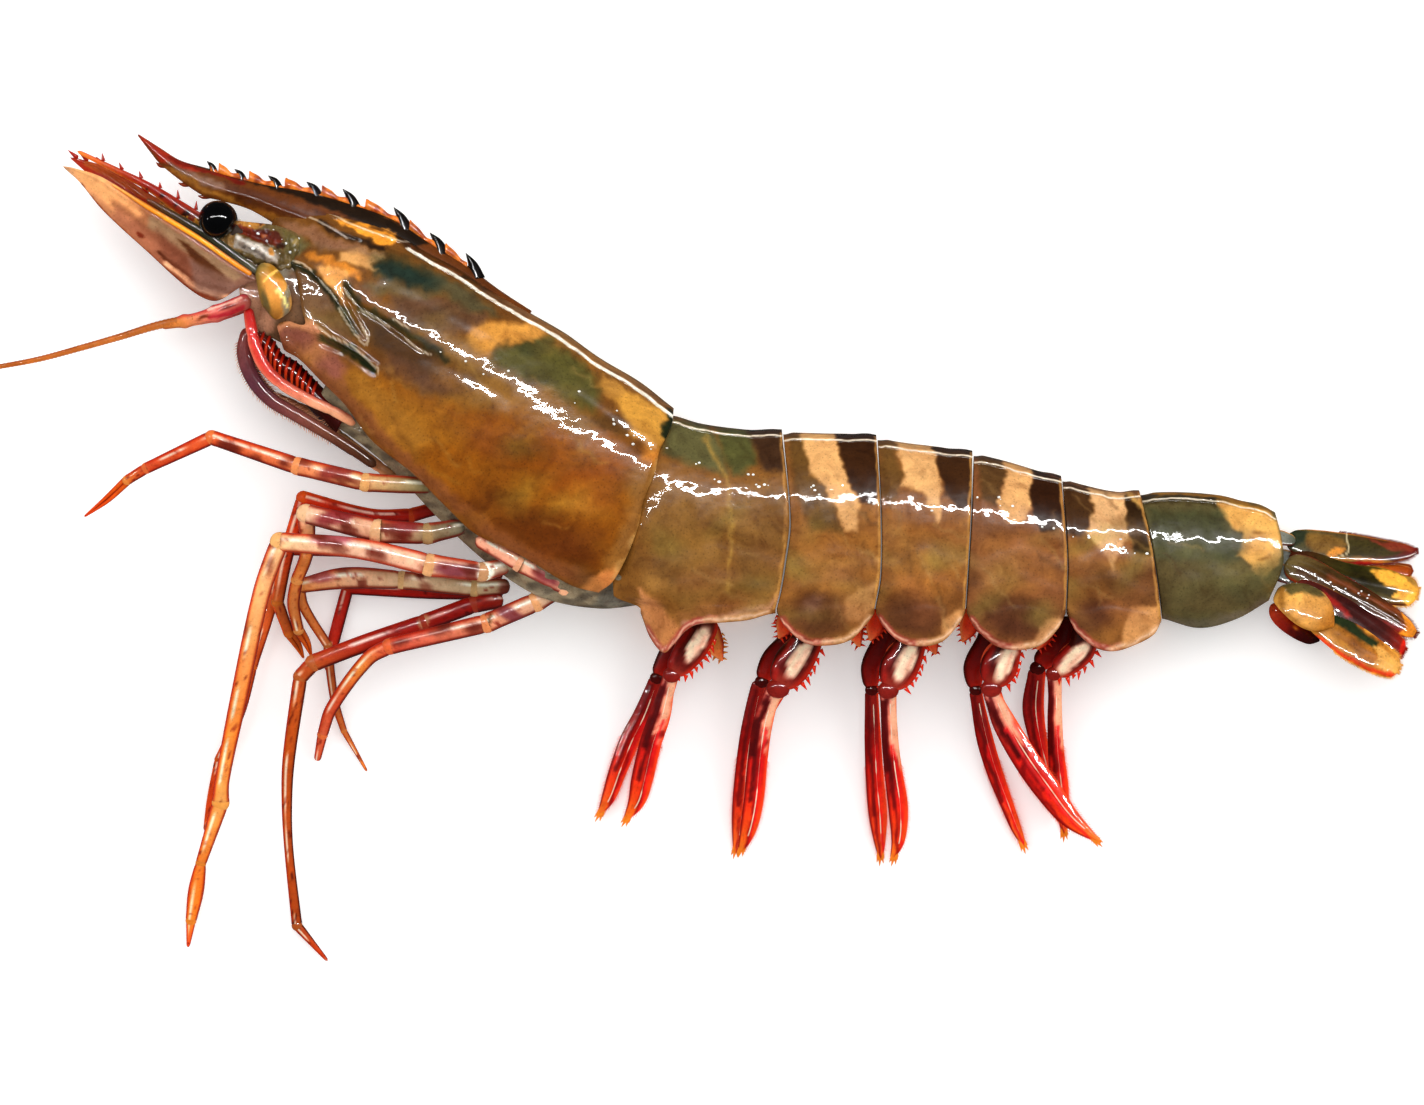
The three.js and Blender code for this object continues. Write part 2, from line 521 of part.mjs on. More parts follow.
// ---------------------------------------------------------------- feeding limbs
const feeding = {
  maxilliped_left: {
    look: 'coral',
    path: [[-56.3, 27.6, 15.2, 1.6], [-55.7, 24.2, 16.2, 1.9], [-55.0, 21.1, 16.8, 2.0],
      [-53.6, 18.1, 17.0, 2.0], [-50.9, 15.4, 17.0, 1.9], [-46.9, 13.0, 16.6, 1.8],
      [-42.6, 11.0, 16.0, 1.7], [-39.0, 9.0, 15.4, 1.6]],
  },
  maxilliped_right: {
    look: 'tan',
    path: [[-52.4, 13.4, 9.4, 1.7], [-47.5, 11.2, 10.2, 1.8], [-44.2, 8.9, 11.0, 1.9],
      [-39.5, 5.2, 12.0, 1.9], [-34.9, 1.8, 12.6, 1.8], [-31.6, -0.6, 13.0, 1.7]],
  },
  mouth_lobe_left: {
    look: 'plum',
    path: [[-56.4, 24.4, 13.6, 1.8], [-56.9, 20.4, 13.8, 2.4], [-55.6, 16.4, 14.0, 2.4],
      [-52.8, 13.0, 14.2, 2.3], [-48.9, 10.6, 14.4, 2.2], [-44.7, 8.1, 14.6, 2.0],
      [-39.6, 4.9, 14.8, 1.8], [-35.8, 2.2, 14.8, 1.6]],
  },
  mouth_lobe_right: {
    look: 'plum',
    path: [[-56.2, 24.4, 8.4, 1.8], [-56.7, 20.4, 8.0, 2.3], [-55.3, 16.4, 7.6, 2.3],
      [-52.4, 13.0, 7.2, 2.2], [-48.3, 10.4, 7.0, 2.0], [-43.6, 7.4, 7.0, 1.9],
      [-38.8, 4.2, 7.2, 1.7]],
  },
};

// ---------------------------------------------------------------- walking legs
// Joints from the hip to the tip: [x, y, z, width]. A chela is a pair of fingers at the end.
const legs = {
  leg_1_left: {
    look: 'blush', chela: true,
    path: [[-25.6, -1.0, 15.6, 2.4], [-32.0, -0.7, 17.4, 2.7], [-37.4, -0.4, 18.4, 2.8],
      [-48.3, 2.2, 17.0, 2.7], [-62.1, 6.8, 14.0, 2.2], [-72.6, 1.9, 10.0, 1.7],
      [-75.7, 0.0, 8.6, 1.5], [-82.7, -5.9, 5.0, 0.6]],
  },
  leg_2_left: {
    look: 'blush', chela: true,
    path: [[-22.1, -7.5, 17.0, 2.7], [-27.5, -8.6, 18.0, 3.2], [-35.4, -8.2, 17.6, 3.6],
      [-47.0, -5.4, 14.8, 2.9], [-46.9, -11.5, 12.0, 2.1], [-48.5, -16.0, 10.4, 1.9],
      [-49.1, -19.8, 9.0, 1.9], [-48.3, -24.0, 7.0, 1.6], [-46.2, -28.3, 5.0, 0.6]],
  },
  leg_3_left: {
    look: 'blush', chela: false,
    path: [[-15.0, -13.8, 15.8, 2.6], [-18.9, -14.7, 17.4, 2.9], [-27.2, -13.6, 18.8, 3.4],
      [-38.4, -11.0, 18.4, 3.2], [-51.2, -9.9, 15.6, 2.9], [-54.1, -17.9, 13.4, 2.7],
      [-57.9, -35.2, 9.0, 2.6], [-60.5, -48.0, 6.4, 2.2], [-60.8, -51.7, 5.6, 2.6],
      [-64.0, -61.4, 3.6, 1.6], [-64.8, -65.9, 2.8, 2.4], [-65.6, -70.6, 2.0, 1.6],
      [-66.1, -74.9, 1.0, 0.5]],
  },
  leg_4_left: {
    look: 'blush', chela: false,
    path: [[-6.4, -17.3, 13.6, 2.9], [-10.2, -19.5, 13.8, 3.0], [-18.1, -22.9, 13.6, 2.9],
      [-33.6, -26.6, 12.2, 2.5], [-37.1, -28.6, 10.6, 2.2], [-43.0, -36.5, 6.0, 1.9],
      [-44.5, -40.8, 4.0, 1.6], [-45.4, -45.0, 2.0, 1.1]],
  },
  leg_5_left: {
    look: 'blush', chela: false,
    path: [[-0.6, -17.9, 15.4, 2.6], [-5.4, -17.0, 17.0, 2.9], [-12.8, -13.3, 18.0, 2.7],
      [-19.8, -9.3, 18.6, 2.4]],
  },
  leg_1_right: {
    look: 'crimson', chela: true,
    path: [[-24.5, -4.0, 8.6, 2.2], [-30.1, -5.6, 8.6, 2.1], [-36.6, -5.6, 8.6, 2.0],
      [-47.5, -2.9, 8.8, 2.2], [-50.2, -12.0, 7.0, 2.1], [-51.7, -19.5, 5.6, 1.9],
      [-49.9, -24.5, 4.6, 1.6], [-47.5, -28.6, 3.4, 0.6]],
  },
  leg_2_right: {
    look: 'blush', chela: false,
    path: [[-14.9, -17.0, 9.6, 2.6], [-20.0, -17.3, 9.8, 2.7], [-31.7, -16.0, 9.4, 2.7],
      [-40.8, -15.7, 8.6, 3.3], [-48.3, -17.0, 7.0, 2.1], [-47.5, -20.2, 5.6, 1.6],
      [-43.7, -26.4, 3.8, 1.4], [-42.6, -35.2, 2.2, 1.3], [-41.1, -40.2, 1.5, 1.0],
      [-37.4, -46.7, 0.7, 0.4]],
  },
  leg_3_right: {
    look: 'amberLeg', chela: false,
    path: [[-16.0, -15.0, 5.6, 2.4], [-20.8, -14.7, 5.0, 2.2], [-35.2, -11.7, 4.2, 2.1],
      [-50.7, -10.9, 3.6, 2.1], [-52.5, -19.2, 3.0, 1.8], [-55.8, -29.9, 2.8, 1.6],
      [-57.6, -37.1, 2.6, 1.4], [-61.1, -44.8, 2.0, 1.4], [-62.4, -51.2, 1.4, 1.3],
      [-63.4, -56.3, 0.8, 0.6]],
  },
  leg_4_right: {
    look: 'crimson', chela: false,
    path: [[-16.0, -19.2, 9.4, 2.7], [-20.0, -19.8, 9.4, 2.7], [-28.0, -22.8, 9.0, 2.6],
      [-38.4, -26.4, 8.4, 2.7], [-45.9, -29.3, 8.0, 2.6], [-48.0, -31.5, 7.4, 2.2],
      [-49.9, -44.8, 5.4, 1.9], [-50.2, -52.0, 4.4, 1.6], [-49.9, -59.2, 3.4, 1.4],
      [-48.6, -71.4, 2.0, 1.6], [-43.7, -77.1, 0.9, 0.5]],
  },
  leg_5_right: {
    look: 'crimson', chela: false,
    path: [[-16.0, -17.9, 5.6, 2.4], [-20.0, -17.9, 4.6, 2.4], [-27.2, -17.9, 3.4, 2.2],
      [-40.5, -17.3, 1.9, 1.9], [-42.9, -26.4, 1.4, 1.8], [-43.8, -30.7, 1.1, 1.1]],
  },
};

function leg({ path, chela }, grow) {
  if (!chela) return limb(path, { grow });
  const last = path.length - 1;
  const [palm, tip] = [path[last - 1], path[last]];
  const way = new THREE.Vector3(tip[0] - palm[0], tip[1] - palm[1], 0).normalize();
  const finger = (side) => {
    const shift = ([x, y, z, width], share) => [x - side * way.y * share * palm[3],
      y + side * way.x * share * palm[3], z, width];
    const thick = [palm[0], palm[1], palm[2], palm[3] * 0.5];
    return limb([shift(thick, 0.22), shift(tip, 0.16)], { grow, sides: 5 });
  };
  return join([limb(path.slice(0, last), { grow }), finger(1), finger(-1)]);
}

// ---------------------------------------------------------------- swimming legs
// Each hangs from under the tail: a broad thigh, then a long blade with a shorter one inside it.
// Stations are [x, y, width]; heights are those of the root, the knee and the tips.
const swimmers = [
  {
    left: {
      thigh: [[16.3, -24.0, 4.8], [14.4, -27.2, 5.1], [11.5, -31.2, 3.2]],
      blade: [[11.0, -32.3, 2.4], [9.6, -37.6, 3.4], [8.0, -42.4, 3.5], [6.7, -48.0, 3.5],
        [5.8, -51.5, 2.7], [3.8, -54.7, 0.5]],
      heights: [14.8, 14.6, 9.4],
    },
    right: {
      thigh: [[14.4, -24.3, 4.2], [11.5, -27.5, 3.8], [9.1, -31.7, 2.6]],
      blade: [[8.6, -33.0, 2.4], [6.7, -37.8, 3.0], [4.8, -41.6, 3.2], [2.9, -46.4, 2.9],
        [1.3, -50.9, 2.2], [-0.3, -53.8, 0.5]],
      heights: [6.4, 5.4, 2.4],
    },
  },
  {
    left: {
      thigh: [[33.0, -25.9, 5.1], [30.7, -29.6, 6.2], [28.5, -33.3, 4.2]],
      blade: [[27.5, -34.6, 2.9], [26.1, -38.7, 3.2], [25.3, -44.0, 3.2], [24.6, -51.2, 3.2],
        [23.7, -56.0, 2.6], [22.4, -59.7, 0.8]],
      heights: [14.8, 14.6, 9.4],
    },
    right: {
      thigh: [[30.7, -25.6, 4.2], [27.5, -28.8, 3.5], [25.9, -32.3, 2.6]],
      blade: [[25.3, -33.6, 2.6], [24.0, -40.0, 2.9], [23.2, -45.6, 2.9], [22.6, -52.0, 2.9],
        [22.2, -56.3, 2.2], [21.6, -60.0, 0.6]],
      heights: [6.4, 5.4, 2.4],
    },
  },
  {
    left: {
      thigh: [[49.6, -26.4, 5.1], [47.8, -30.1, 6.2], [46.1, -33.6, 3.8]],
      blade: [[46.1, -34.7, 2.7], [46.4, -41.6, 2.7], [46.9, -46.4, 2.9], [47.7, -52.5, 3.2],
        [47.7, -57.6, 2.2], [46.6, -61.0, 0.5]],
      heights: [14.6, 14.4, 9.4],
    },
    right: {
      thigh: [[45.8, -25.6, 4.2], [43.4, -29.8, 3.2], [43.5, -33.6, 2.4]],
      blade: [[43.5, -34.6, 2.2], [43.7, -41.6, 2.7], [44.0, -48.0, 2.9], [44.5, -53.6, 3.0],
        [44.8, -57.9, 1.9], [45.0, -61.0, 0.5]],
      heights: [6.2, 5.2, 2.4],
    },
  },
  {
    left: {
      thigh: [[65.3, -26.4, 4.5], [63.8, -29.9, 6.0], [62.6, -33.3, 3.8]],
      blade: [[62.9, -34.7, 2.9], [64.6, -38.7, 3.8], [67.8, -44.2, 4.2], [71.4, -49.3, 4.2],
        [75.2, -54.1, 3.2], [80.2, -58.1, 0.5]],
      heights: [14.2, 14.2, 12.0],
    },
    right: {
      thigh: [[62.4, -25.6, 4.2], [59.8, -29.9, 3.2], [60.2, -33.6, 2.4]],
      blade: [[60.3, -34.7, 2.1], [61.6, -41.3, 2.7], [63.2, -46.7, 2.6], [65.0, -51.5, 2.2],
        [66.9, -56.3, 1.6], [68.2, -58.9, 0.5]],
      heights: [6.0, 5.0, 2.2],
    },
  },
  {
    left: {
      thigh: [[77.1, -26.9, 4.5], [74.6, -29.4, 4.2], [72.6, -31.0, 2.9]],
      blade: [[72.8, -32.3, 2.2], [72.8, -38.4, 2.4], [73.0, -43.5, 2.6], [73.6, -49.6, 2.9],
        [74.1, -54.1, 1.8], [74.4, -57.1, 0.5]],
      heights: [12.4, 11.6, 6.6],
    },
    right: {
      thigh: [[74.2, -26.4, 4.5], [71.7, -28.2, 3.8], [70.1, -30.1, 2.9]],
      blade: [[69.9, -31.4, 2.9], [69.4, -36.5, 3.5], [70.2, -41.6, 2.9], [71.4, -46.4, 2.6],
        [72.5, -50.9, 1.6], [73.3, -53.6, 0.5]],
      heights: [5.8, 4.6, 2.0],
    },
  },
];
const SWIMMER_ROOT = -21.8; // where the thighs leave the belly
const INNER_DROP = 1.5; // how far inside the long blade the short one lies
const INNER_SHARE = 0.72; // the short blade's width over the long one's

function swimmer({ thigh, blade: long, heights }, grow) {
  const [zRoot, zKnee, zTip] = heights;
  const [first, , knee] = thigh;
  const upper = [[first[0] + 0.8, SWIMMER_ROOT, zRoot, first[2] * 0.9],
    ...thigh.map(([x, y, width], i) => [x, y, i === 0 ? zRoot : zKnee, width])];
  const outer = [knee, ...long].map(([x, y, width], i) => (
    [x, y, lerp(zKnee, zTip, i / long.length), width]));
  const inner = [outer[0], outer[2], outer[4], outer[5]].map(([x, y, z, width], i) => (
    [x, y, z - INNER_DROP, width * (i === 3 ? 0.3 : INNER_SHARE)]));
  return join([
    limb(upper, { grow, depth: 0.55, waist: 1 }),
    blade(outer, { thickness: 1.2, grow }),
    blade(inner, { thickness: 1.1, grow, sides: 4 }),
  ]);
}

// ---------------------------------------------------------------- the whole
const looks = {
  brown: { color: 0x8a5a22, roughness: 0.28 },
  olive: { color: 0x54512c, roughness: 0.28 },
  green: { color: 0x3d4a30, roughness: 0.28 },
  amber: { color: 0xcf8a2c, roughness: 0.3 },
  maroon: { color: 0x52201c, roughness: 0.3 },
  plum: { color: 0x6e4450, roughness: 0.45 },
  coral: { color: 0xb4493c, roughness: 0.35 },
  tan: { color: 0xc09a72, roughness: 0.35 },
  grey: { color: 0x8f8676, roughness: 0.4 },
  black: { color: 0x0b0b0c, roughness: 0.08 },
  blush: { color: 0xd49a84, roughness: 0.35 },
  crimson: { color: 0xa52a22, roughness: 0.35 },
  amberLeg: { color: 0xc4743a, roughness: 0.35 },
  scarlet: { color: 0xb02a1e, roughness: 0.35 },
};

const prawn = new THREE.Group();
const placed = [];

function boxesMeet(a, b) {
  const [p, q] = [a.boundingBox(), b.boundingBox()];
  return [0, 1, 2].every((i) => p.min[i] < q.max[i] && q.min[i] < p.max[i]);
}

function largest(solid) {
  return solid.decompose().reduce((best, body) => (body.volume() > best.volume() ? body : best));
}

// Adds a piece, cut back where it would touch the pieces that are already there.
function add(name, look, make) {
  let solid = make(0);
  for (const other of placed) {
    if (boxesMeet(solid, other)) solid = solid.subtract(other);
  }
  solid = largest(solid);
  placed.push(make(GAP).add(solid));
  const { vertProperties, triVerts } = solid.getMesh();
  const geometry = new THREE.BufferGeometry();
  geometry.setAttribute('position', new THREE.BufferAttribute(vertProperties, 3));
  geometry.setIndex(new THREE.BufferAttribute(triVerts, 1));
  geometry.computeVertexNormals();
  const mesh = new THREE.Mesh(geometry, new THREE.MeshStandardMaterial({ ...looks[look], metalness: 0 }));
  mesh.name = name;
  prawn.add(mesh);
}

add('carapace', 'brown', carapace);
for (let number = 1; number <= 6; number += 1) {
  add(`abdomen_${number}`, number === 6 ? 'olive' : 'brown', (grow) => segment(number, grow));
}
for (const [name, { look, path, thickness }] of Object.entries(fan)) {
  add(name, look, (grow) => blade(path, { thickness, roll: FAN_ROLL, grow, sides: 8 }));
}
for (const [name, path] of Object.entries(uropodBases)) {
  add(name, 'amber', (grow) => blade(path, { thickness: 2.6, roll: FAN_ROLL, grow, sides: 8 }));
}
add('breast', 'grey', breast);
add('head', 'olive', head);
for (const [word, side] of [['left', 1], ['right', -1]]) {
  const base = level(scaleBase, CARAPACE_MIDDLE + side * 5.4);
  add(`eye_${word}`, 'black', (grow) => eye(side, grow));
  add(`scale_base_${word}`, 'amber', (grow) => limb(base, { grow, waist: 1, sides: 8 }));
  add(`scale_${word}`, 'tan', (grow) => scale(side, grow));
  add(`antenna_${word}`, 'amber', (grow) => limb(side > 0 ? feeler : feelerStub, { grow, waist: 1 }));
  add(`antennule_${word}`, 'scarlet', (grow) => (
    limb(level(antennule, CARAPACE_MIDDLE + side * 1.7), { grow, waist: 1 })));
}
for (const [name, { look, path }] of Object.entries(feeding)) {
  add(name, look, (grow) => limb(path, { grow, waist: look === 'plum' ? 1 : 0.9 }));
}
add('jaws', 'maroon', jaws);
for (const [name, shape] of Object.entries(legs)) {
  add(name, shape.look, (grow) => leg(shape, grow));
}
swimmers.forEach((place, i) => {
  add(`swimmer_${i + 1}_left`, 'crimson', (grow) => swimmer(place.left, grow));
  add(`swimmer_${i + 1}_right`, 'crimson', (grow) => swimmer(place.right, grow));
});

export default prawn;
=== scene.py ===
"""A raw tiger prawn lying on its right side, dressed over its solids.

Lengths in the tables are millimetres in the prawn's frame: +X from head to tail, +Y from belly
to back, +Z up from the surface that it lies on. Blender's own lengths are metres.
"""
import math

import bpy
import numpy as np
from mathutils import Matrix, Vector


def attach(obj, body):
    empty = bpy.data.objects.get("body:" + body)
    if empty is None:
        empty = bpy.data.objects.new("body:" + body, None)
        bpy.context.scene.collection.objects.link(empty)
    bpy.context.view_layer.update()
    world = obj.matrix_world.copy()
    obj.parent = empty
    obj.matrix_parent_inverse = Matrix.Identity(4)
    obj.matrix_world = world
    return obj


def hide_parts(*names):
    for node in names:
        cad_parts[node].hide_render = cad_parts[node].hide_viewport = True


bl_info = {
    "name": "Tiger prawn",
    "version": (1, 0, 0),
    "blender": (4, 5, 0),
    "location": "3D View > Sidebar > Prawn",
    "description": "Builds a raw tiger prawn piece by piece",
    "category": "Object",
}

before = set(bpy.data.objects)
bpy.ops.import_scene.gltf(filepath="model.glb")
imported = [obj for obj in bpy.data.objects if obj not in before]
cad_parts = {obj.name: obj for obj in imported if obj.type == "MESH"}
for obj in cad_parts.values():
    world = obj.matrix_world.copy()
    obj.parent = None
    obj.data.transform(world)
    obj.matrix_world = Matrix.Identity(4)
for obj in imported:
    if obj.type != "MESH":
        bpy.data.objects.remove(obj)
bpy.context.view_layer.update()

MM = 0.001
UP = np.array([0.0, 0.0, 1.0])
CARAPACE_TILT = math.radians(27)
CARAPACE_MIDDLE = 12.0  # height of the middle plane of the head and the carapace
CUTICLE = 0.8  # thickness of the flaps that hang free
CEILING = 0.7  # level in the carapace's side view below which its flaps hang free
FAN_ROLL = math.radians(-28)


# ---------------------------------------------------------------- curves
def profile(stations):
    """A smooth value through stations (place, value), held beyond the first and the last."""
    places, values = np.asarray(stations, float).T
    slopes = np.gradient(values)
    slopes[1:-1] = (values[2:] - values[:-2]) / (places[2:] - places[:-2])
    slopes[0] = (values[1] - values[0]) / (places[1] - places[0])
    slopes[-1] = (values[-1] - values[-2]) / (places[-1] - places[-2])

    def value(place):
        place = np.asarray(place, float)
        i = np.clip(np.searchsorted(places, place) - 1, 0, len(places) - 2)
        step = places[i + 1] - places[i]
        t = np.clip((place - places[i]) / step, 0, 1)
        ease = t * t * (3 - 2 * t)
        bend = step * t * (1 - t) * (slopes[i] * (1 - t) - slopes[i + 1] * t)
        return values[i] + (values[i + 1] - values[i]) * ease + bend

    return value


def rise(value, low, high):
    """0 below low, 1 above high, smooth between."""
    t = np.clip((np.asarray(value, float) - low) / (high - low), 0, 1)
    return t * t * (3 - 2 * t)


def mix(a, b, share):
    """A value that lies a share of the way from a to b."""
    return a + (b - a) * share


def rounded(depth, power):
    """The width of a rounded back at a depth below its ridge, both over their largest."""
    return (1 - (1 - np.clip(depth, 0, 1)) ** power) ** (1 / power)


def unit(vectors):
    """Vectors of the same directions and of length 1."""
    return vectors / np.maximum(np.linalg.norm(vectors, axis=-1, keepdims=True), 1e-9)


def angles(count):
    """Angles evenly spaced round a ring."""
    return np.linspace(0, 2 * math.pi, count, endpoint=False)


def strides(path):
    """The distances from each point of a path to the next."""
    return np.linalg.norm(np.diff(path[:, :3], axis=0), axis=1)


def follow(path, count):
    """The columns of a path at evenly spaced places along it."""
    path = np.asarray(path, float)
    run = np.concatenate([[0], np.cumsum(strides(path))])
    where = np.linspace(0, run[-1], count)
    return np.stack([profile(np.stack([run, column], 1))(where) for column in path.T], 1)


def wander(points, wavelength, seed):
    """Smooth random values of about -1 to 1 that change over a wavelength in millimetres."""
    rng = np.random.default_rng(seed)
    total = np.zeros(len(points))
    for _ in range(9):
        way = unit(rng.normal(size=3)) * 2 * math.pi / (wavelength * rng.uniform(0.7, 1.5))
        total += np.sin(points @ way + rng.uniform(0, 2 * math.pi))
    return total / 3.2


# ---------------------------------------------------------------- colours
def srgb(code):
    """The sRGB triple of a hex colour."""
    return np.array([int(code[i:i + 2], 16) / 255 for i in (0, 2, 4)])


def triples(colour, shape):
    """A hex colour or an array of sRGB ones, as an array of the given shape."""
    return np.broadcast_to(srgb(colour) if isinstance(colour, str) else colour, shape)


def linear(colour):
    """Scene-linear values of sRGB ones."""
    colour = np.clip(np.asarray(colour, float), 0, 1)
    return np.where(colour <= 0.04045, colour / 12.92, ((colour + 0.055) / 1.055) ** 2.4)


def soaked(colour, depth, gain):
    """Scene-linear values of a pigment under water, deeper and purer than the same pigment dry."""
    return np.clip(gain * linear(colour) ** depth, 0, 0.95)


def spot(x, y, long, short, turn, colour, strength=0.9, edge=1.0):
    """An oval mark, with its half lengths, its turn in degrees and the width of its soft edge."""
    return {"kind": "spot", "at": (x, y, long, short, math.radians(turn)),
            "colour": colour, "strength": strength, "edge": edge}


def stroke(path, width, colour, strength=0.9, edge=0.5):
    """A mark along a path, with its half width."""
    return {"kind": "stroke", "at": path, "width": width,
            "colour": colour, "strength": strength, "edge": edge}


def patch(outline, colour, strength=0.9, edge=0.8):
    """A mark that fills an outline."""
    return {"kind": "patch", "at": outline,
            "colour": colour, "strength": strength, "edge": edge}


def clouds(left, right, low, high, colours, count, seed):
    """Faint soft patches strewn over a region, as flesh and pigment show through the shell."""
    rng = np.random.default_rng(seed)
    return [spot(rng.uniform(left, right), rng.uniform(low, high), rng.uniform(1.6, 5.0),
                 rng.uniform(0.7, 1.9), rng.uniform(-60, 60), colours[i % len(colours)],
                 rng.uniform(0.2, 0.5), 2.0) for i in range(count)]


def veins(left, right, low, high, colours, count, seed):
    """Faint wavering lines strewn over a region, all running much the same way."""
    rng = np.random.default_rng(seed)
    lines = []
    for i in range(count):
        x, y, way = rng.uniform(left, right), rng.uniform(low, high), math.radians(rng.uniform(-75, -15))
        steps = np.linspace(0, rng.uniform(3, 8), 7)
        sway = np.cumsum(rng.normal(0, 0.22, 7))
        path = [(x + step * math.cos(way) - aside * math.sin(way),
                 y + step * math.sin(way) + aside * math.cos(way))
                for step, aside in zip(steps, sway)]
        lines.append(stroke(path, rng.uniform(0.08, 0.28), colours[i % len(colours)],
                            rng.uniform(0.25, 0.5), 0.6))
    return lines


def line_distance(x, y, path, closed=False):
    """Distance from points to a broken line, and whether they're inside it when it is closed."""
    near = np.full(len(x), 1e9)
    inside = np.zeros(len(x), bool)
    ends = list(path[1:]) + ([path[0]] if closed else [])
    for (x0, y0), (x1, y1) in zip(path, ends):
        dx, dy = x1 - x0, y1 - y0
        t = np.clip(((x - x0) * dx + (y - y0) * dy) / (dx * dx + dy * dy + 1e-9), 0, 1)
        near = np.minimum(near, np.hypot(x - x0 - t * dx, y - y0 - t * dy))
        if closed:
            crosses = (y0 > y) != (y1 > y)
            inside ^= crosses & (x < x0 + (y - y0) * dx / (dy if dy else 1e-9))
    return near, inside


def coverage(mark, x, y, soften):
    """How far a mark covers each point, from 0 to 1."""
    edge = mark["edge"] * soften
    if mark["kind"] == "spot":
        cx, cy, long, short, turn = mark["at"]
        along = (x - cx) * math.cos(turn) + (y - cy) * math.sin(turn)
        aside = (y - cy) * math.cos(turn) - (x - cx) * math.sin(turn)
        out = (np.hypot(along / long, aside / short) - 1) * min(long, short)
    elif mark["kind"] == "stroke":
        out = line_distance(x, y, mark["at"])[0] - mark["width"]
    else:
        near, inside = line_distance(x, y, mark["at"], closed=True)
        out = np.where(inside, -near, near)
    return mark["strength"] * (1 - rise(out, -edge / 2, edge / 2))


def painted(points, base, marks, seed=1, stray=0.3, soften=1.0):
    """sRGB colours of points under soft-edged marks with uneven edges."""
    x = points[:, 0] + stray * (wander(points, 3.4, seed) + 0.5 * wander(points, 1.3, seed + 1))
    y = points[:, 1] + stray * (wander(points, 3.1, seed + 2) + 0.5 * wander(points, 1.2, seed + 3))
    colour = triples(base, (len(points), 3)).copy()
    for mark in marks:
        cover = coverage(mark, x, y, soften)[:, None]
        colour = mix(colour, srgb(mark["colour"]), cover)
    return colour


def relief(points, marks):
    """Height of ridges and grooves at points; a mark is a path, a half width and a height."""
    x, y = points[..., 0].ravel(), points[..., 1].ravel()
    total = np.zeros(len(x))
    for path, width, height in marks:
        near = line_distance(x, y, path)[0]
        total += height * np.exp(-(near / width) ** 2)
    return total.reshape(points.shape[:-1])


# ---------------------------------------------------------------- meshes
class Body:
    """Points, faces and colours of one piece as it is put together."""

    def __init__(self):
        self.points, self.faces, self.colours, self.kinds = [], [], [], []
        self.count = 0

    def add(self, points, faces, colours, kind=0):
        """Adds points in mm, the faces over them, their sRGB colours and the faces' material."""
        points = np.asarray(points, float).reshape(-1, 3)
        self.points.append(points)
        self.colours.append(triples(colours, (len(points), 3)))
        self.faces.extend([tuple(i + self.count for i in face) for face in faces])
        self.kinds.extend([kind] * len(faces))
        self.count += len(points)

    def all_points(self):
        return np.concatenate(self.points)


def ring_faces(rows, columns):
    """Quads between rings of points, ring after ring."""
    i, j = (index.ravel() for index in np.indices((rows - 1, columns)))
    k = (j + 1) % columns
    quads = np.stack([i, i, i + 1, i + 1], 1) * columns + np.stack([j, k, k, j], 1)
    return [tuple(quad) for quad in quads.tolist()]


def loft(rings, low=0.0):
    """A closed body through rings of points, with a pole at each end."""
    rings = np.asarray(rings, float)
    rows, sides = rings.shape[:2]
    points = np.concatenate([rings.reshape(-1, 3), rings[0].mean(0)[None], rings[-1].mean(0)[None]])
    points[:, 2] = np.maximum(points[:, 2], low)
    faces = ring_faces(rows, sides)
    start, end = rows * sides, rows * sides + 1
    for j in range(sides):
        k = (j + 1) % sides
        faces.append((start, k, j))
        faces.append((end, (rows - 1) * sides + j, (rows - 1) * sides + k))
    return points, faces


def frames_along(centres):
    """The directions across and over a path at each of its points."""
    heading = unit(np.gradient(centres, axis=0))
    across = unit(np.cross(UP, heading))
    return across, np.cross(heading, across)


def tube(path, sides, depth, ends=(0.6, 0.6)):
    """Rings of a limb through rows of x, y, z and width. depth is its thickness over its width,
    and ends are the lengths of its rounded ends over its width."""
    path = np.asarray(path, float)
    across, over = frames_along(path[:, :3])
    run = np.concatenate([[0], np.cumsum(strides(path))])
    wide = path[:, 3].copy()
    for end, place in ((ends[0], run), (ends[1], run[-1] - run)):
        if end > 0:
            share = np.clip(place / (end * path[:, 3].max() + 1e-6), 0, 1)
            wide = wide * np.sqrt(np.clip(1 - (1 - share) ** 2, 0.004, 1))
    angle = angles(sides)
    ring = path[:, None, :3] + across[:, None] * (np.cos(angle)[None, :, None] * wide[:, None, None] / 2)
    return ring + over[:, None] * (np.sin(angle)[None, :, None] * wide[:, None, None] * depth / 2)


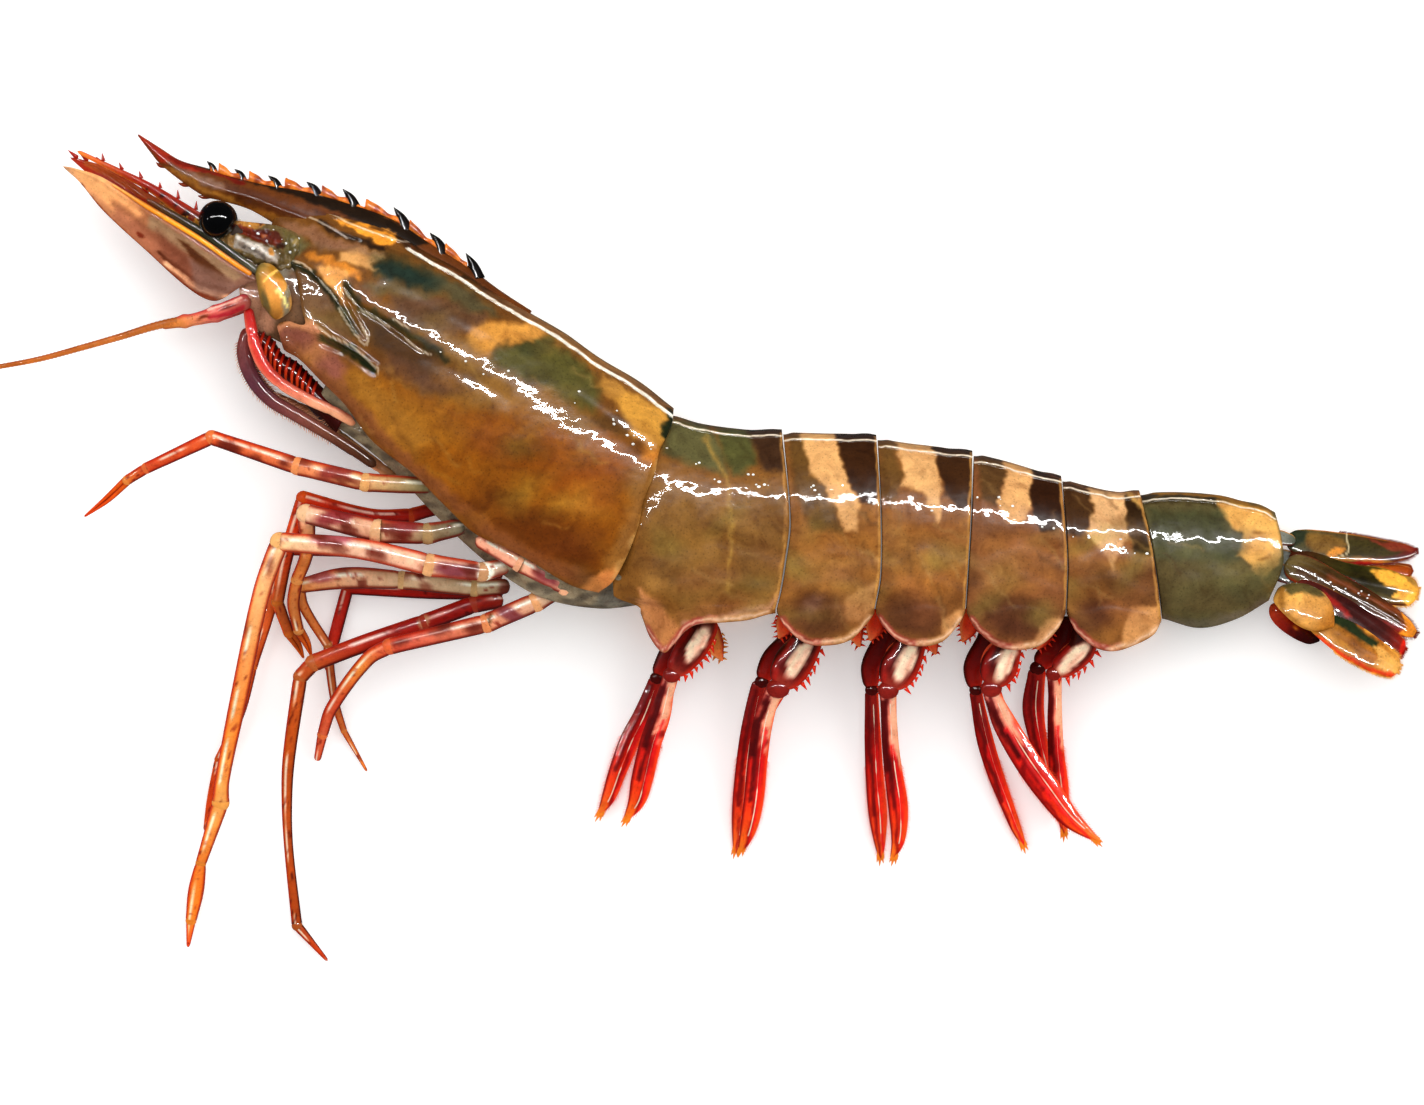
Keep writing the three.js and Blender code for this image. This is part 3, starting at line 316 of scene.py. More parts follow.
def two_sided(at, half, middle, us, vs, ceiling=None, raised=None):
    """A body that is alike on both sides of its middle plane, as points and faces.

    at(u, v) places station u and level v in the side view and half(u, v) is the half-width
    there. Below the level with the index ceiling two flaps hang free on either side of a recess.
    raised(points) is how far the skin stands out from that width.
    """
    n = len(vs) - 1
    u, v = np.meshgrid(us, vs, indexing="ij")
    x, y = at(u, v)
    reach = np.maximum(half(u, v), 0)
    reach[:, 0] = 0
    if raised is not None:
        outside = np.stack([x, y, reach], -1)
        reach = np.maximum(reach + raised(outside) * rise(reach, 0, 3), 0)
    mid = middle(x)
    inner = np.maximum(reach - CUTICLE, 0.02)
    near = np.stack([x, y, mid + reach], -1)
    far = np.stack([x, y, mid - reach], -1)
    columns = [near[:, k] for k in range(n + 1)]
    if ceiling is not None:
        near_in = np.stack([x, y, mid + inner], -1)
        far_in = np.stack([x, y, mid - inner], -1)
        columns += [near_in[:, k] for k in range(n, ceiling - 1, -1)]
        columns += [far_in[:, k] for k in range(ceiling, n + 1)]
    columns += [far[:, k] for k in range(n, 0, -1)]
    loops = np.stack(columns, 1)
    rows, total = loops.shape[:2]
    loops[..., 2] = np.maximum(loops[..., 2], 0)
    faces = [tuple(reversed(f)) for f in ring_faces(rows, total)]
    for row, flip in ((0, True), (rows - 1, False)):
        base = row * total
        lid = []
        last = n if ceiling is None else ceiling
        for k in range(1, last):
            lid.append((base + k, base + k + 1, base + total - k - 1, base + total - k))
        lid.append((base, base + 1, base + total - 1))
        if ceiling is not None:
            flaps = n - ceiling
            for k in range(ceiling, n):
                lid.append((base + k, base + k + 1, base + 2 * n - k, base + 2 * n - k + 1))
                inner_k = base + n + 2 + flaps + k - ceiling
                lid.append((base + total - k, inner_k, inner_k + 1, base + total - k - 1))
            lid.append((base + ceiling, base + 2 * n + 1 - ceiling, base + n + 2 + flaps,
                        base + total - ceiling))
        faces += [tuple(reversed(f)) if flip else f for f in lid]
    return loops.reshape(-1, 3), faces


# how much water deepens and brightens the colours of the thinner cuticles, and of the rest
SOAKING = {"Thin limb cuticle": (1.36, 1.5), "Tail fan cuticle": (1.24, 1.2)}
SOAKED_REST = (1.13, 1.08)


def finish_piece(name, body, materials, nodes):
    """Makes a piece of a body, closed and facing outwards, that stands for its CAD nodes."""
    mesh = bpy.data.meshes.new(name)
    points = body.all_points()
    mesh.from_pydata((points * MM).tolist(), [], body.faces)
    colours = np.ones((len(points), 4), np.float32)
    depth, gain = SOAKING.get(materials[0].name, SOAKED_REST)
    colours[:, :3] = soaked(np.concatenate(body.colours), depth, gain)
    layer = mesh.color_attributes.new("cuticle_colour", "FLOAT_COLOR", "POINT")
    layer.data.foreach_set("color", colours.ravel())
    for coat in materials:
        mesh.materials.append(coat)
    mesh.polygons.foreach_set("material_index", body.kinds)
    mesh.polygons.foreach_set("use_smooth", [True] * len(body.faces))
    mesh.validate()
    piece = bpy.data.objects.new(name, mesh)
    bpy.context.scene.collection.objects.link(piece)
    outward(piece)
    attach(piece, "root")
    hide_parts(*nodes)


def outward(piece):
    """Turns a mesh's faces so that they point out."""
    bpy.ops.object.select_all(action="DESELECT")
    piece.select_set(True)
    bpy.context.view_layer.objects.active = piece
    bpy.ops.object.mode_set(mode="EDIT")
    bpy.ops.mesh.select_all(action="SELECT")
    bpy.ops.mesh.normals_make_consistent(inside=False)
    bpy.ops.object.mode_set(mode="OBJECT")


# ---------------------------------------------------------------- materials
def add_node(tree, kind, settings=None, links=None):
    """Adds a node, sets its properties or inputs and links sockets into it."""
    node = tree.nodes.new(kind)
    for key, value in (settings or {}).items():
        if isinstance(key, str) and hasattr(node, key):
            setattr(node, key, value)
        else:
            node.inputs[key].default_value = value
    for key, socket in (links or {}).items():
        tree.links.new(socket, node.inputs[key])
    return node


def wet_cuticle(name, roughness, grain, mottle, film, glow=0.0):
    """Chitin under a film of water: the cuticle's own colour, clouded and speckled by pigment
    cells, with a thin clear film that gives sharp, wavering highlights. grain is the height in mm
    of the slow waves of the surface, mottle the contrast of its pigment, film the film's roughness."""
    material = bpy.data.materials.new(name)
    material.use_nodes = True
    tree = material.node_tree
    tree.nodes.clear()
    place = add_node(tree, "ShaderNodeTexCoord").outputs["Object"]
    colour = add_node(tree, "ShaderNodeAttribute", {"attribute_name": "cuticle_colour"}).outputs["Color"]

    def noise(size, detail, roughness=0.5, distortion=0.0):
        """Noise with clouds of about a size in mm."""
        return add_node(tree, "ShaderNodeTexNoise", {
            "Scale": 1 / (size * MM), "Detail": detail, "Roughness": roughness,
            "Distortion": distortion}, {"Vector": place}).outputs["Fac"]

    def spread(value, low, high, least, most):
        """A value moved from the range of low to high to that of least to most."""
        return add_node(tree, "ShaderNodeMapRange", {
            "From Min": low, "From Max": high, "To Min": least, "To Max": most},
            {"Value": value}).outputs[0]

    def vector(operation, links):
        return add_node(tree, "ShaderNodeVectorMath", {"operation": operation}, links).outputs[0]

    # pigment in clumps of a millimetre or two, and in finer flecks
    clumps = spread(noise(1.6, 4.0, 0.65, 0.4), 0.3, 0.7, 1 - mottle, 1 + mottle * 0.7)
    flecks = spread(noise(0.35, 2.0, 0.6), 0.3, 0.7, 1 - mottle * 0.5, 1 + mottle * 0.4)
    both = add_node(tree, "ShaderNodeMath", {"operation": "MULTIPLY"}, {0: clumps, 1: flecks})
    blotched = vector("SCALE", {0: colour, "Scale": both.outputs[0]})
    # clouds a few millimetres wide that lean to a dark red brown or to a light olive yellow
    cloud = add_node(tree, "ShaderNodeValToRGB", None, {"Fac": noise(4.2, 6.0, 0.6, 1.1)})
    stops = cloud.color_ramp.elements
    stops[0].position, stops[1].position = 0.3, 0.7
    low, high = 1 - 2.2 * mottle, 1 + 1.5 * mottle
    stops[0].color = (min(low * 1.12, 1), low, low * 0.9, 1)
    stops[1].color = (high, high * 1.02, high, 1)
    stops.new(0.5).color = (1, 1, 1, 1)
    clouded = vector("MULTIPLY", {0: blotched, 1: cloud.outputs["Color"]})
    # single pigment cells: fine brown dots, in drifts
    dots = add_node(tree, "ShaderNodeTexVoronoi", {"Scale": 1 / (0.62 * MM)}, {"Vector": place})
    dot = spread(dots.outputs["Distance"], 0.12, 0.3, 1 - 1.6 * mottle, 1.0)
    dotted = vector("SCALE", {0: clouded, "Scale": dot})
    # slow waves of the surface, and ripples that come and go
    where = spread(noise(11, 1.0), 0.48, 0.66, 0.15, 1.0)
    slow = add_node(tree, "ShaderNodeBump", {"Strength": 1.0, "Distance": grain * MM},
                    {"Height": noise(5.0, 2.0)})
    fine = add_node(tree, "ShaderNodeBump", {"Distance": grain * 0.16 * MM},
                    {"Height": noise(1.1, 3.0, 0.6), "Strength": where,
                     "Normal": slow.outputs["Normal"]})
    shader = add_node(tree, "ShaderNodeBsdfPrincipled", {
        "Roughness": roughness, "IOR": 1.45, "Specular IOR Level": 0.08, "Coat Weight": 1.0,
        "Coat Roughness": film, "Coat IOR": 1.33, "Subsurface Weight": glow,
        "Subsurface Scale": 1.2 * MM,
    }, {"Base Color": dotted, "Normal": fine.outputs["Normal"],
        "Coat Normal": fine.outputs["Normal"]})
    shader.inputs["Subsurface Radius"].default_value = (1.0, 0.45, 0.25)
    add_node(tree, "ShaderNodeOutputMaterial", None, {"Surface": shader.outputs[0]})
    return material


def plain_surface(name, code, roughness, lit):
    """A plain matt sheet, lit from behind by the given strength."""
    material = bpy.data.materials.new(name)
    material.use_nodes = True
    shader = material.node_tree.nodes["Principled BSDF"]
    shader.inputs["Base Color"].default_value = (*linear(srgb(code)), 1)
    shader.inputs["Roughness"].default_value = roughness
    shader.inputs["Specular IOR Level"].default_value = 0.0
    shader.inputs["Emission Color"].default_value = (1, 1, 1, 1)
    shader.inputs["Emission Strength"].default_value = lit
    return material


SHARED = {}


def material(key):
    """The scene's materials, made once."""
    makers = {
        "shell": lambda: wet_cuticle("Wet prawn shell", 0.3, 0.28, 0.16, 0.03),
        "limb": lambda: wet_cuticle("Thin limb cuticle", 0.3, 0.2, 0.12, 0.05, glow=0.06),
        "fan": lambda: wet_cuticle("Tail fan cuticle", 0.32, 0.34, 0.2, 0.05),
        "flesh": lambda: wet_cuticle("Wet breast membrane", 0.4, 0.22, 0.2, 0.08, glow=0.08),
        "eye": lambda: wet_cuticle("Wet black cornea", 0.12, 0.16, 0.1, 0.02),
    }
    if key not in SHARED:
        SHARED[key] = makers[key]()
    return SHARED[key]


# ---------------------------------------------------------------- carapace
def tilted(s, h):
    """The side view's x and y of a place s back along the carapace's axis and h above it."""
    c, k = math.cos(CARAPACE_TILT), math.sin(CARAPACE_TILT)
    return s * c + h * k, h * c - s * k


HORN_TIP, HORN_ROOT = -90.9, -22.0  # the ends of the horn along that axis


def midline(x):
    """The height of the middle plane of the head and the carapace."""
    return CARAPACE_MIDDLE + 0 * x


back_line = profile([(HORN_TIP, 15.8), (-86.8, 15.4), (-83.1, 15.1), (-78.8, 15.9), (-74.1, 16.8),
                     (-68.8, 18.1), (-63.1, 19.9), (-57.0, 21.2), (-48.5, 22.3), (-41.5, 21.6),
                     (-34.9, 21.0), (-28.1, 19.8), (-16.7, 18.6), (-8.9, 17.4), (-1.4, 16.9),
                     (5.3, 15.6), (9.4, 15.1)])
crest_height = profile([(-65, 2.6), (-57, 2.2), (-48, 1.9), (-35, 1.2), (-25, 0.6), (-15, 0)])
lower_edge = profile([(-65, -2.0), (-60, -2.6), (-56.8, -3.1), (-54.5, -4.4), (-51.7, -4.6),
                      (-46.8, -6.2), (-41.8, -7.8), (-35.4, -10.9), (-27.0, -12.7), (-19.9, -15.0),
                      (-13.8, -16.7), (-6.0, -16.5), (3.5, -17.1), (8.2, -16.1)])
front_edge = profile([(0, -65.5), (0.316, -64.8), (0.457, -61.0), (0.516, -58.7), (0.628, -56.6),
                      (0.712, -54.7), (0.784, -53.3), (0.824, -55.4), (0.934, -57.1), (1, -54.5)])
rear_edge = profile([(0, 5.3), (0.084, 6.3), (0.22, 6.4), (0.316, 7.3), (0.47, 7.7), (0.6, 8.8),
                     (0.766, 9.4), (0.92, 9.2), (1, 8.0)])
carapace_half = profile([(-65, 2.3), (-60, 4.6), (-55, 6.8), (-50, 8.4), (-40, 10.6), (-30, 11.9),
                         (-20, 12.5), (-5, 12.5), (5, 12.1), (9.4, 11.7)])
rostrum_under = profile([(HORN_TIP, 15.5), (-88.0, 14.1), (-85.7, 13.1), (-80.9, 12.1), (-76.9, 11.7),
                         (-74.2, 12.3), (-69.5, 13.1), (-63.1, 12.8), (-55, 13.5), (-45, 14.5),
                         (HORN_ROOT, 13)])
rostrum_half = profile([(HORN_TIP, 0.35), (-85, 0.8), (-75, 1.2), (-65, 1.8), (-55, 2.2), (-40, 1.8),
                        (HORN_ROOT, 1.0)])
rostrum_shape = profile([(0, 0), (0.12, 0.55), (0.35, 0.95), (0.6, 1.1), (0.85, 0.75), (1, 0.4)])
BACK_TEETH = [(-79.0, 16.6), (-74.5, 17.5), (-69.2, 19.0), (-63.3, 20.9), (-57.6, 22.5),
              (-49.0, 23.6), (-42.0, 22.6), (-35.4, 22.3)]
UNDER_TEETH = [(-86.4, 13.0), (-81.7, 11.7), (-78.0, 11.3)]

# the amber patch that the carapace shares with the root of its horn
CREST_FLAME = patch([(-42.4, 42), (-38.4, 41), (-35, 40), (-33, 39.3), (-32.6, 38.2), (-33.6, 37.3),
                     (-35.4, 37.7), (-38, 39.2), (-40.6, 40.7)], "f6a436", 0.98, 0.3)
CARAPACE_MARKS = [
    # amber lower flank, its golden shoulder and its darker belly
    patch([(-41, 17.5), (-36.5, 18), (-29.5, 14.5), (-22.5, 12), (-12.5, 11.5), (-5, 10.5), (2.5, 6.5),
           (7, 1.5), (6.5, -6), (1.5, -14.5), (-2.5, -16), (-10, -13.5), (-19.5, -8.5), (-27.5, -1.5),
           (-33.5, 4.5), (-38.5, 10.5)], "93560f", 1, 3.0),
    patch([(-41, 17.5), (-37.5, 17.5), (-34, 14.5), (-29.5, 11.5), (-26.5, 6.5), (-29.5, 3.5),
           (-34, 6.5), (-38, 11.5), (-40.5, 14.5)], "ab7830", 0.75, 2.5),
    patch([(-16.5, -2.5), (-7.5, -5), (0, -8.5), (1.5, -12.5), (-2.5, -15.5), (-10, -13), (-17.5, -8.5),
           (-21.5, -3.5)], "643006", 0.85, 3.0),
    spot(-3.1, 0.1, 4.6, 3.2, -20, "a04a10", 0.55, 3.5),
    spot(-12.5, 4.5, 6, 3.4, 0, "7d4205", 0.6, 1),
    spot(-26.5, 9.5, 6, 2.4, -35, "a36c22", 0.6, 1),
    patch([(4, 1.5), (9, 3), (8, -3.5), (5.5, -9.5), (2.5, -15), (0, -16), (3, -9), (5, -3.5)],
          "9a6a35", 0.85, 1.6),
    # the back: green saddle, tan saddle, mauve cloud and teal neck
    patch([(-25.5, 22.5), (-19.5, 20.5), (-14.5, 16.5), (-7.5, 13.5), (0.5, 9.5), (-2.5, 7), (-12.5, 11),
           (-22.5, 12), (-29.5, 15), (-27.5, 19.5)], "85622f", 0.8, 2.4),
    patch([(-16.5, 21), (-12.5, 22.5), (-8.5, 23), (-4.5, 20.5), (-1.5, 17.5), (0.5, 14.5), (-1, 11),
           (-4.5, 12), (-9.5, 15), (-14.5, 17), (-17.5, 19)], "5a5529", 0.95, 1.4),
    patch([(-13.5, 21.5), (-9.5, 22.5), (-7.5, 21.5), (-9.5, 20), (-12.5, 20)], "46472a", 0.7, 1.2),
    patch([(-20.5, 24.5), (-18, 25.5), (-15.5, 25), (-10, 25), (-8, 24), (-9.5, 22.7), (-13.5, 22.4),
           (-16.4, 21.6), (-18, 19.6), (-19.5, 20), (-21, 22)], "d39544", 0.95, 0.8),
    patch([(-25.5, 23.5), (-20.5, 23), (-18.5, 20), (-21.5, 19.5), (-25, 21.5)], "8f6836", 0.8, 1.4),
    patch([(-33.5, 29.5), (-29.5, 30), (-22.5, 28.5), (-17.5, 26), (-18.5, 25), (-23.5, 23),
           (-27.5, 24), (-31.5, 26)], "6c4c36", 0.9, 1.2),
    patch([(-37.5, 31.5), (-33.5, 32), (-29.5, 30.5), (-25.5, 30), (-27.5, 29), (-32.5, 29.5),
           (-36.5, 29.5)], "6b5c3a", 0.8, 1.2),
    patch([(-36.4, 34.1), (-33.1, 34.7), (-29.6, 33.7), (-27, 32), (-26.4, 30.7), (-29.6, 30.9),
           (-33, 32), (-36, 32.7)], "283830", 0.95, 1.0),
    patch([(-28, 34), (-22.5, 31.5), (-18, 28.5), (-16, 26.5), (-20.5, 27), (-25, 29.5), (-27.5, 31)],
          "544f38", 0.85, 1.2),
    patch([(-38, 27), (-33.5, 25), (-28.5, 22), (-23.5, 18), (-19, 15.5), (-22.5, 13), (-27.5, 15),
           (-32.5, 18), (-36, 21.5)], "51351b", 0.9, 1.6),
    patch([(-34, 20), (-27.5, 17.5), (-22.5, 14.5), (-25.5, 13.5), (-31.5, 15.5), (-35, 18)],
          "6d4a3c", 0.6, 1.6),
    patch([(0.6, 16), (3.4, 15), (7.4, 13), (11, 10.6), (10.4, 7), (9.6, 3.6), (7, 6.4), (5, 7),
           (4, 9.6), (2, 13)], "cf9740", 0.95, 0.9),
    spot(1.6, 14.9, 1.9, 1.2, -40, "b9853c", 0.9, 0.7),
    patch([(-1.6, 9.6), (0.9, 10.7), (4.1, 9.6), (5.3, 8.2), (3.9, 7.1), (0.9, 7.9)], "66451f", 0.9, 0.7),
    spot(8.4, 3.9, 1.6, 1.2, 0, "e0913a", 0.8, 1),
    # the front of the back: tan blotches, their orange ridge and the dark crest
    patch([(-41.4, 36.4), (-37.6, 37), (-35, 36.4), (-34.7, 35.4), (-36.6, 34.7), (-35.6, 33.2),
           (-37.9, 34.1), (-40.1, 34.5), (-41.7, 35.1)], "dba363", 0.95, 0.5),
    patch([(-45.4, 34.1), (-43.1, 34.7), (-41, 33.4), (-39, 33.6), (-40.1, 32.1), (-39.8, 30.9),
           (-41.1, 30.9), (-40.5, 28.5), (-42.6, 30), (-44.4, 32)], "f0ad5e", 0.98, 0.5),
    stroke([(-45.9, 35.5), (-43.1, 35.1), (-40.4, 33.7), (-38.7, 32.8)], 0.6, "d6872a", 0.9, 0.5),
    patch([(-50.1, 35.1), (-46.1, 33.6), (-43.1, 29.6), (-40.6, 26.1), (-38.4, 21.9), (-42.6, 24),
           (-46.6, 25), (-48.2, 26.6), (-48.9, 31.6)], "7b5a3c", 0.85, 1.4),
    patch([(-33.6, 38.6), (-29.6, 36.4), (-22.6, 32.9), (-15.1, 28.7), (-13.6, 28.5), (-19.6, 33.6),
           (-21.6, 36.4), (-26.6, 39.1), (-29.6, 40.9), (-32.6, 41.1)], "432c17", 0.95, 0.6),
    patch([(-26.6, 38), (-22.6, 36.4), (-21.2, 35), (-22, 34.5), (-24.6, 36), (-26.4, 37.1)],
          "d48f3f", 0.95, 0.4),
    patch([(-46.4, 39.1), (-41.1, 37.9), (-34.6, 36.1), (-41.1, 36.7), (-45.6, 37)], "8d6a52", 0.8, 0.8),
    patch([(-51, 41.4), (-46, 40.6), (-42, 38.6), (-38, 37.2), (-42, 37), (-47, 38.6), (-50.6, 39.4)],
          "94684c", 0.85, 0.8),
    patch([(-51.6, 39.6), (-48.6, 39.4), (-46.4, 37.4), (-48, 36), (-51, 37)], "6e6c48", 0.85, 0.9),
    stroke([(-44.8, 41.2), (-42, 39.4), (-38.6, 38), (-35, 37)], 0.4, "2c1c12", 0.85, 0.4),
    CREST_FLAME,
    patch([(-36.8, 36), (-33, 36), (-28, 34.2), (-25.6, 32), (-27, 30.6), (-31, 31.4), (-35.4, 33)],
          "26352c", 0.7, 2.0),
    # the front lobe with its peach rim, and the dark grooves beside it
    patch([(-52, 23.1), (-50.6, 24.9), (-47.6, 25), (-44.1, 22.7), (-41.1, 19.1), (-40.6, 15.1),
           (-43.6, 16.4), (-47.6, 19.4), (-51.1, 21.5)], "95594c", 0.9, 1.2),
    stroke([(-50.1, 21.6), (-46.1, 18.1), (-41.1, 13.6), (-35.1, 7.1), (-29.6, 1.6), (-23.6, -3.4),
            (-16.6, -8.9), (-9.6, -12.9), (-3.6, -15.4), (-0.1, -16.6)], 1.1, "8a5230", 0.75, 0.9),
    stroke([(-51.7, 22), (-51.9, 23.4), (-51.2, 24.5), (-49.4, 25.2), (-46.9, 24.9), (-44, 22.9)],
           0.55, "dc9470", 0.95, 0.5),
    stroke([(-44.2, 22.6), (-41.1, 21.4), (-38, 19.2), (-36.2, 17.6)], 0.75, "1f2917", 0.95, 0.5),
    stroke([(-49.2, 34.5), (-46, 33), (-43, 29.5), (-40.6, 26.4), (-39, 23.6)], 0.5, "272c1d", 0.9, 0.5),
    stroke([(-40.6, 31.4), (-38.4, 27.7), (-35.6, 26.2), (-31.6, 24.1), (-27.6, 21.5), (-24.6, 19.1)],
           0.55, "2f2e1a", 0.85, 0.6),
    spot(0.4, -16.5, 3.4, 1.5, 35, "ec9450", 0.95, 0.8),
    stroke([(11.2, 11), (11.3, 9.1), (10.5, 7.1)], 0.5, "1d2614", 0.95, 0.4),
    stroke([(9.4, 3.1), (8.4, -1.4), (6.9, -6.4), (4.4, -11.9), (1.9, -15.4)], 0.4, "c99a5c", 0.8, 0.6),
    stroke([(-14.6, 28.9), (-8.6, 24.9), (-1.6, 20.4), (4.9, 16.1), (10.4, 12.6)], 0.9, "a87a50", 0.6, 0.8),
]
# ridges and grooves: path, width, height
CARAPACE_RELIEF = [
    ([(-44.4, 43), (-40.4, 41.2), (-36, 39.6), (-32, 38.2), (-29.2, 37.3), (-28.9, 37.9), (-31, 40),
      (-33.2, 42)], 0.28, 0.5),
    ([(-44.3, 41.6), (-41.2, 39.8), (-38.4, 38.6)], 0.4, 0.5),
    ([(-49.8, 34.8), (-46.4, 33.6), (-43.4, 30.6), (-41.6, 27.9), (-38.9, 23.4), (-37.6, 22)], 0.4, 0.4),
    ([(-37.2, 22.1), (-37.1, 23), (-38.7, 25.7), (-40.2, 28.6)], 0.3, 0.32),
    ([(-40.7, 30.8), (-39, 28.1), (-34.8, 25.6), (-28.4, 20.8)], 0.4, -0.35),
    ([(-28.1, 19.6), (-20.6, 16.6), (-15, 13)], 1.4, -0.2),
    ([(-45.4, 24.2), (-42.6, 22.4), (-38.9, 20.4), (-35.6, 18.2)], 0.4, 0.4),
    ([(-44.3, 21.9), (-41.1, 20.6), (-36.1, 17.2)], 0.6, -0.4),
    ([(-47.6, 26), (-43, 22.8), (-38, 19.4)], 1.0, 0.3),
    ([(-30, 8), (-20, 5), (-8, 3.6), (3, 1)], 4.0, 0.25),
    ([(-24, 26), (-16, 23.4), (-8, 19.6), (0, 15.6)], 1.6, 0.22),
    ([(-34, 30.5), (-27, 27.2), (-19, 22.5)], 1.4, -0.25),
    ([(-36, 14), (-29, 8), (-22, 2), (-14, -3.4), (-5, -7.6), (3, -11)], 3.0, -0.2),
    ([(-3, 13), (0.6, 10.4), (4.6, 7.6), (8, 5)], 1.0, -0.3),
    ([(10.2, 11), (10.4, 7), (9, 2), (7.6, -3.4), (5, -10)], 0.8, -0.3),
]
# the courses of thin pale lines along the grooves: painted glints of the wet film
CARAPACE_GROOVE_GLINTS = [
    [(-49.6, 35.2), (-47.6, 34.6), (-46, 33.4)],
    [(-44.6, 31.8), (-43.4, 30.4), (-42.2, 28.7)],
    [(-41.7, 27.6), (-40.4, 25), (-38.9, 23), (-37.7, 21.7), (-37.1, 21.7), (-37, 22.6), (-38.2, 24.9)],
    [(-40.9, 30.6), (-40, 29.2), (-38.8, 28)],
    [(-38.2, 27.2), (-36, 26), (-33.6, 24.4)],
    [(-33, 25.8), (-31.8, 25), (-30.6, 24.2)],
    [(-31, 22.6), (-29.6, 21.4), (-28.2, 20.4), (-27, 20)],
    [(-45.4, 24.6), (-42.8, 22.8), (-40, 21.6), (-37, 19.4), (-35.4, 17.7), (-35.4, 17.1)],
    [(-46.5, 42), (-44.6, 41.2), (-42, 39.8), (-40.4, 38.6)],
    [(-43.2, 42.6), (-39.6, 40.9), (-35.4, 39.3), (-31.6, 38.1), (-30.3, 38.2), (-30.4, 39), (-33, 42)],
]
CARAPACE_LOWER_RIDGE = [(-50.1, 21.9), (-46, 18.4), (-41, 14), (-35, 7.6), (-29.4, 2.2), (-23.4, -2.8),
                        (-16.5, -8.2), (-9.6, -12.2), (-3.6, -14.8), (0.6, -15.4)]


def carapace_shell(body):
    """The carapace, with its grooves, its keel and the flaps that cover the gills."""
    def at(u, v):
        s = mix(front_edge(v), rear_edge(v), u)
        return tilted(s, mix(back_line(s) - crest_height(s), lower_edge(s), v))

    def half(u, v):
        s = mix(front_edge(v), rear_edge(v), u)
        flank = np.where(v < 0.5, rounded(v / 0.5, 2.1), 1 - 0.3 * (np.maximum(v - 0.5, 0) / 0.5) ** 2.4)
        rolled = 0.3 * rise(v, 0.965, 1) + 0.3 * (1 - rise(u, 0, 0.012)) + 0.25 * rise(u, 0.99, 1)
        return carapace_half(s) * flank - rolled

    t = np.linspace(0, 1, 131)
    vs = t * (0.3 + 0.7 * t)
    ceiling = int(np.argmin(abs(vs - CEILING)))
    us = np.linspace(0, 1, 231)
    keel = [tilted(s, back_line(s) - crest_height(s) - 1.0) for s in np.linspace(-44, 8, 40)]
    marks = CARAPACE_RELIEF + [(CARAPACE_LOWER_RIDGE, 0.7, 0.3), (keel, 0.42, 1.0)]
    points, faces = two_sided(at, half, midline, us, vs, ceiling,
                              raised=lambda p: relief(p, marks) - 0.25)
    flesh = clouds(-48, 9, -18, 26, ["b87a24", "6a3c12", "9a8438", "8a4a20", "c89040", "5a4a24"], 54, 17)
    flesh += veins(-42, 4, -14, 20, ["b88a48", "6a3e16", "a07c3c", "c8a060"], 22, 19)
    colour = painted(points, "7a4d1c", CARAPACE_MARKS + flesh, 11, 0.3, 1.7)
    # painted highlight: a near-white line just inside the keel, where the wet film would mirror the light
    keel_glint = stroke([(x - 0.1, y - 0.2) for x, y in keel if x > -31], 0.24, "fff6e8", 0.95, 0.14)
    # painted highlights along the grooves
    wet = [stroke(line, 0.15, "f8ecdc", 0.55, 0.12) for line in CARAPACE_GROOVE_GLINTS]
    body.add(points, faces, painted(points, colour, [keel_glint, *wet], 12, 0.06))
    bead_glints(body, scattered([CARAPACE_HIGHLIGHT_COURSE], 0.6, 0.8, 13), points, 13, 0.1, 0.22)


ROSTRUM_MARKS = [
    patch([(-74.6, 56.4), (-71, 53.6), (-67, 50.8), (-64, 49.4), (-66, 49), (-70.4, 51), (-72.6, 53.4)],
          "a02c14", 0.95, 0.6),
    patch([(-69.6, 51), (-64, 48.6), (-58, 46.6), (-57, 45.6), (-62, 46.6), (-68, 49.2)], "8c6a58", 0.9,
          0.8),
    patch([(-70.8, 50.4), (-67.2, 48.2), (-62.4, 45.6), (-58, 44.2), (-58.4, 45), (-62.6, 46.6),
           (-67.4, 49.2)], "b47c34", 0.8, 0.8),
    patch([(-60, 47.6), (-52, 45.2), (-46, 42.4), (-48, 41.6), (-54, 43.4), (-60, 45.8)], "5c3018", 0.85,
          0.9),
    patch([(-58, 44.4), (-52, 42.6), (-47.6, 40.4), (-49.6, 39.4), (-54, 41.6), (-57.4, 43.4)], "a46c2a",
          0.8, 0.9),
    patch([(-66, 51.6), (-58.4, 49.8), (-50.4, 48), (-42.4, 45.6), (-34.4, 42.6), (-27, 38), (-30, 37),
           (-35, 39.8), (-42.4, 43), (-50.4, 46), (-58.4, 48.4), (-65.6, 50.6)], "261a10", 0.95, 0.5),
    patch([(-46, 43.4), (-40, 41.8), (-35, 39.6), (-33, 38.2), (-36, 38.2), (-41, 40), (-45.4, 42)],
          "5a3016", 0.9, 0.6),
    CREST_FLAME,
    patch([(-55.2, 42.4), (-50.4, 41), (-46.4, 39.4), (-42.4, 38.4), (-44.8, 37.6), (-49.2, 38.8),
           (-52.8, 40.6)], "8c5a34", 0.8, 0.8),
    stroke([(-69, 51.4), (-63, 49.4), (-57, 47.6)], 0.3, "7a1c0e", 0.9, 0.3),
]
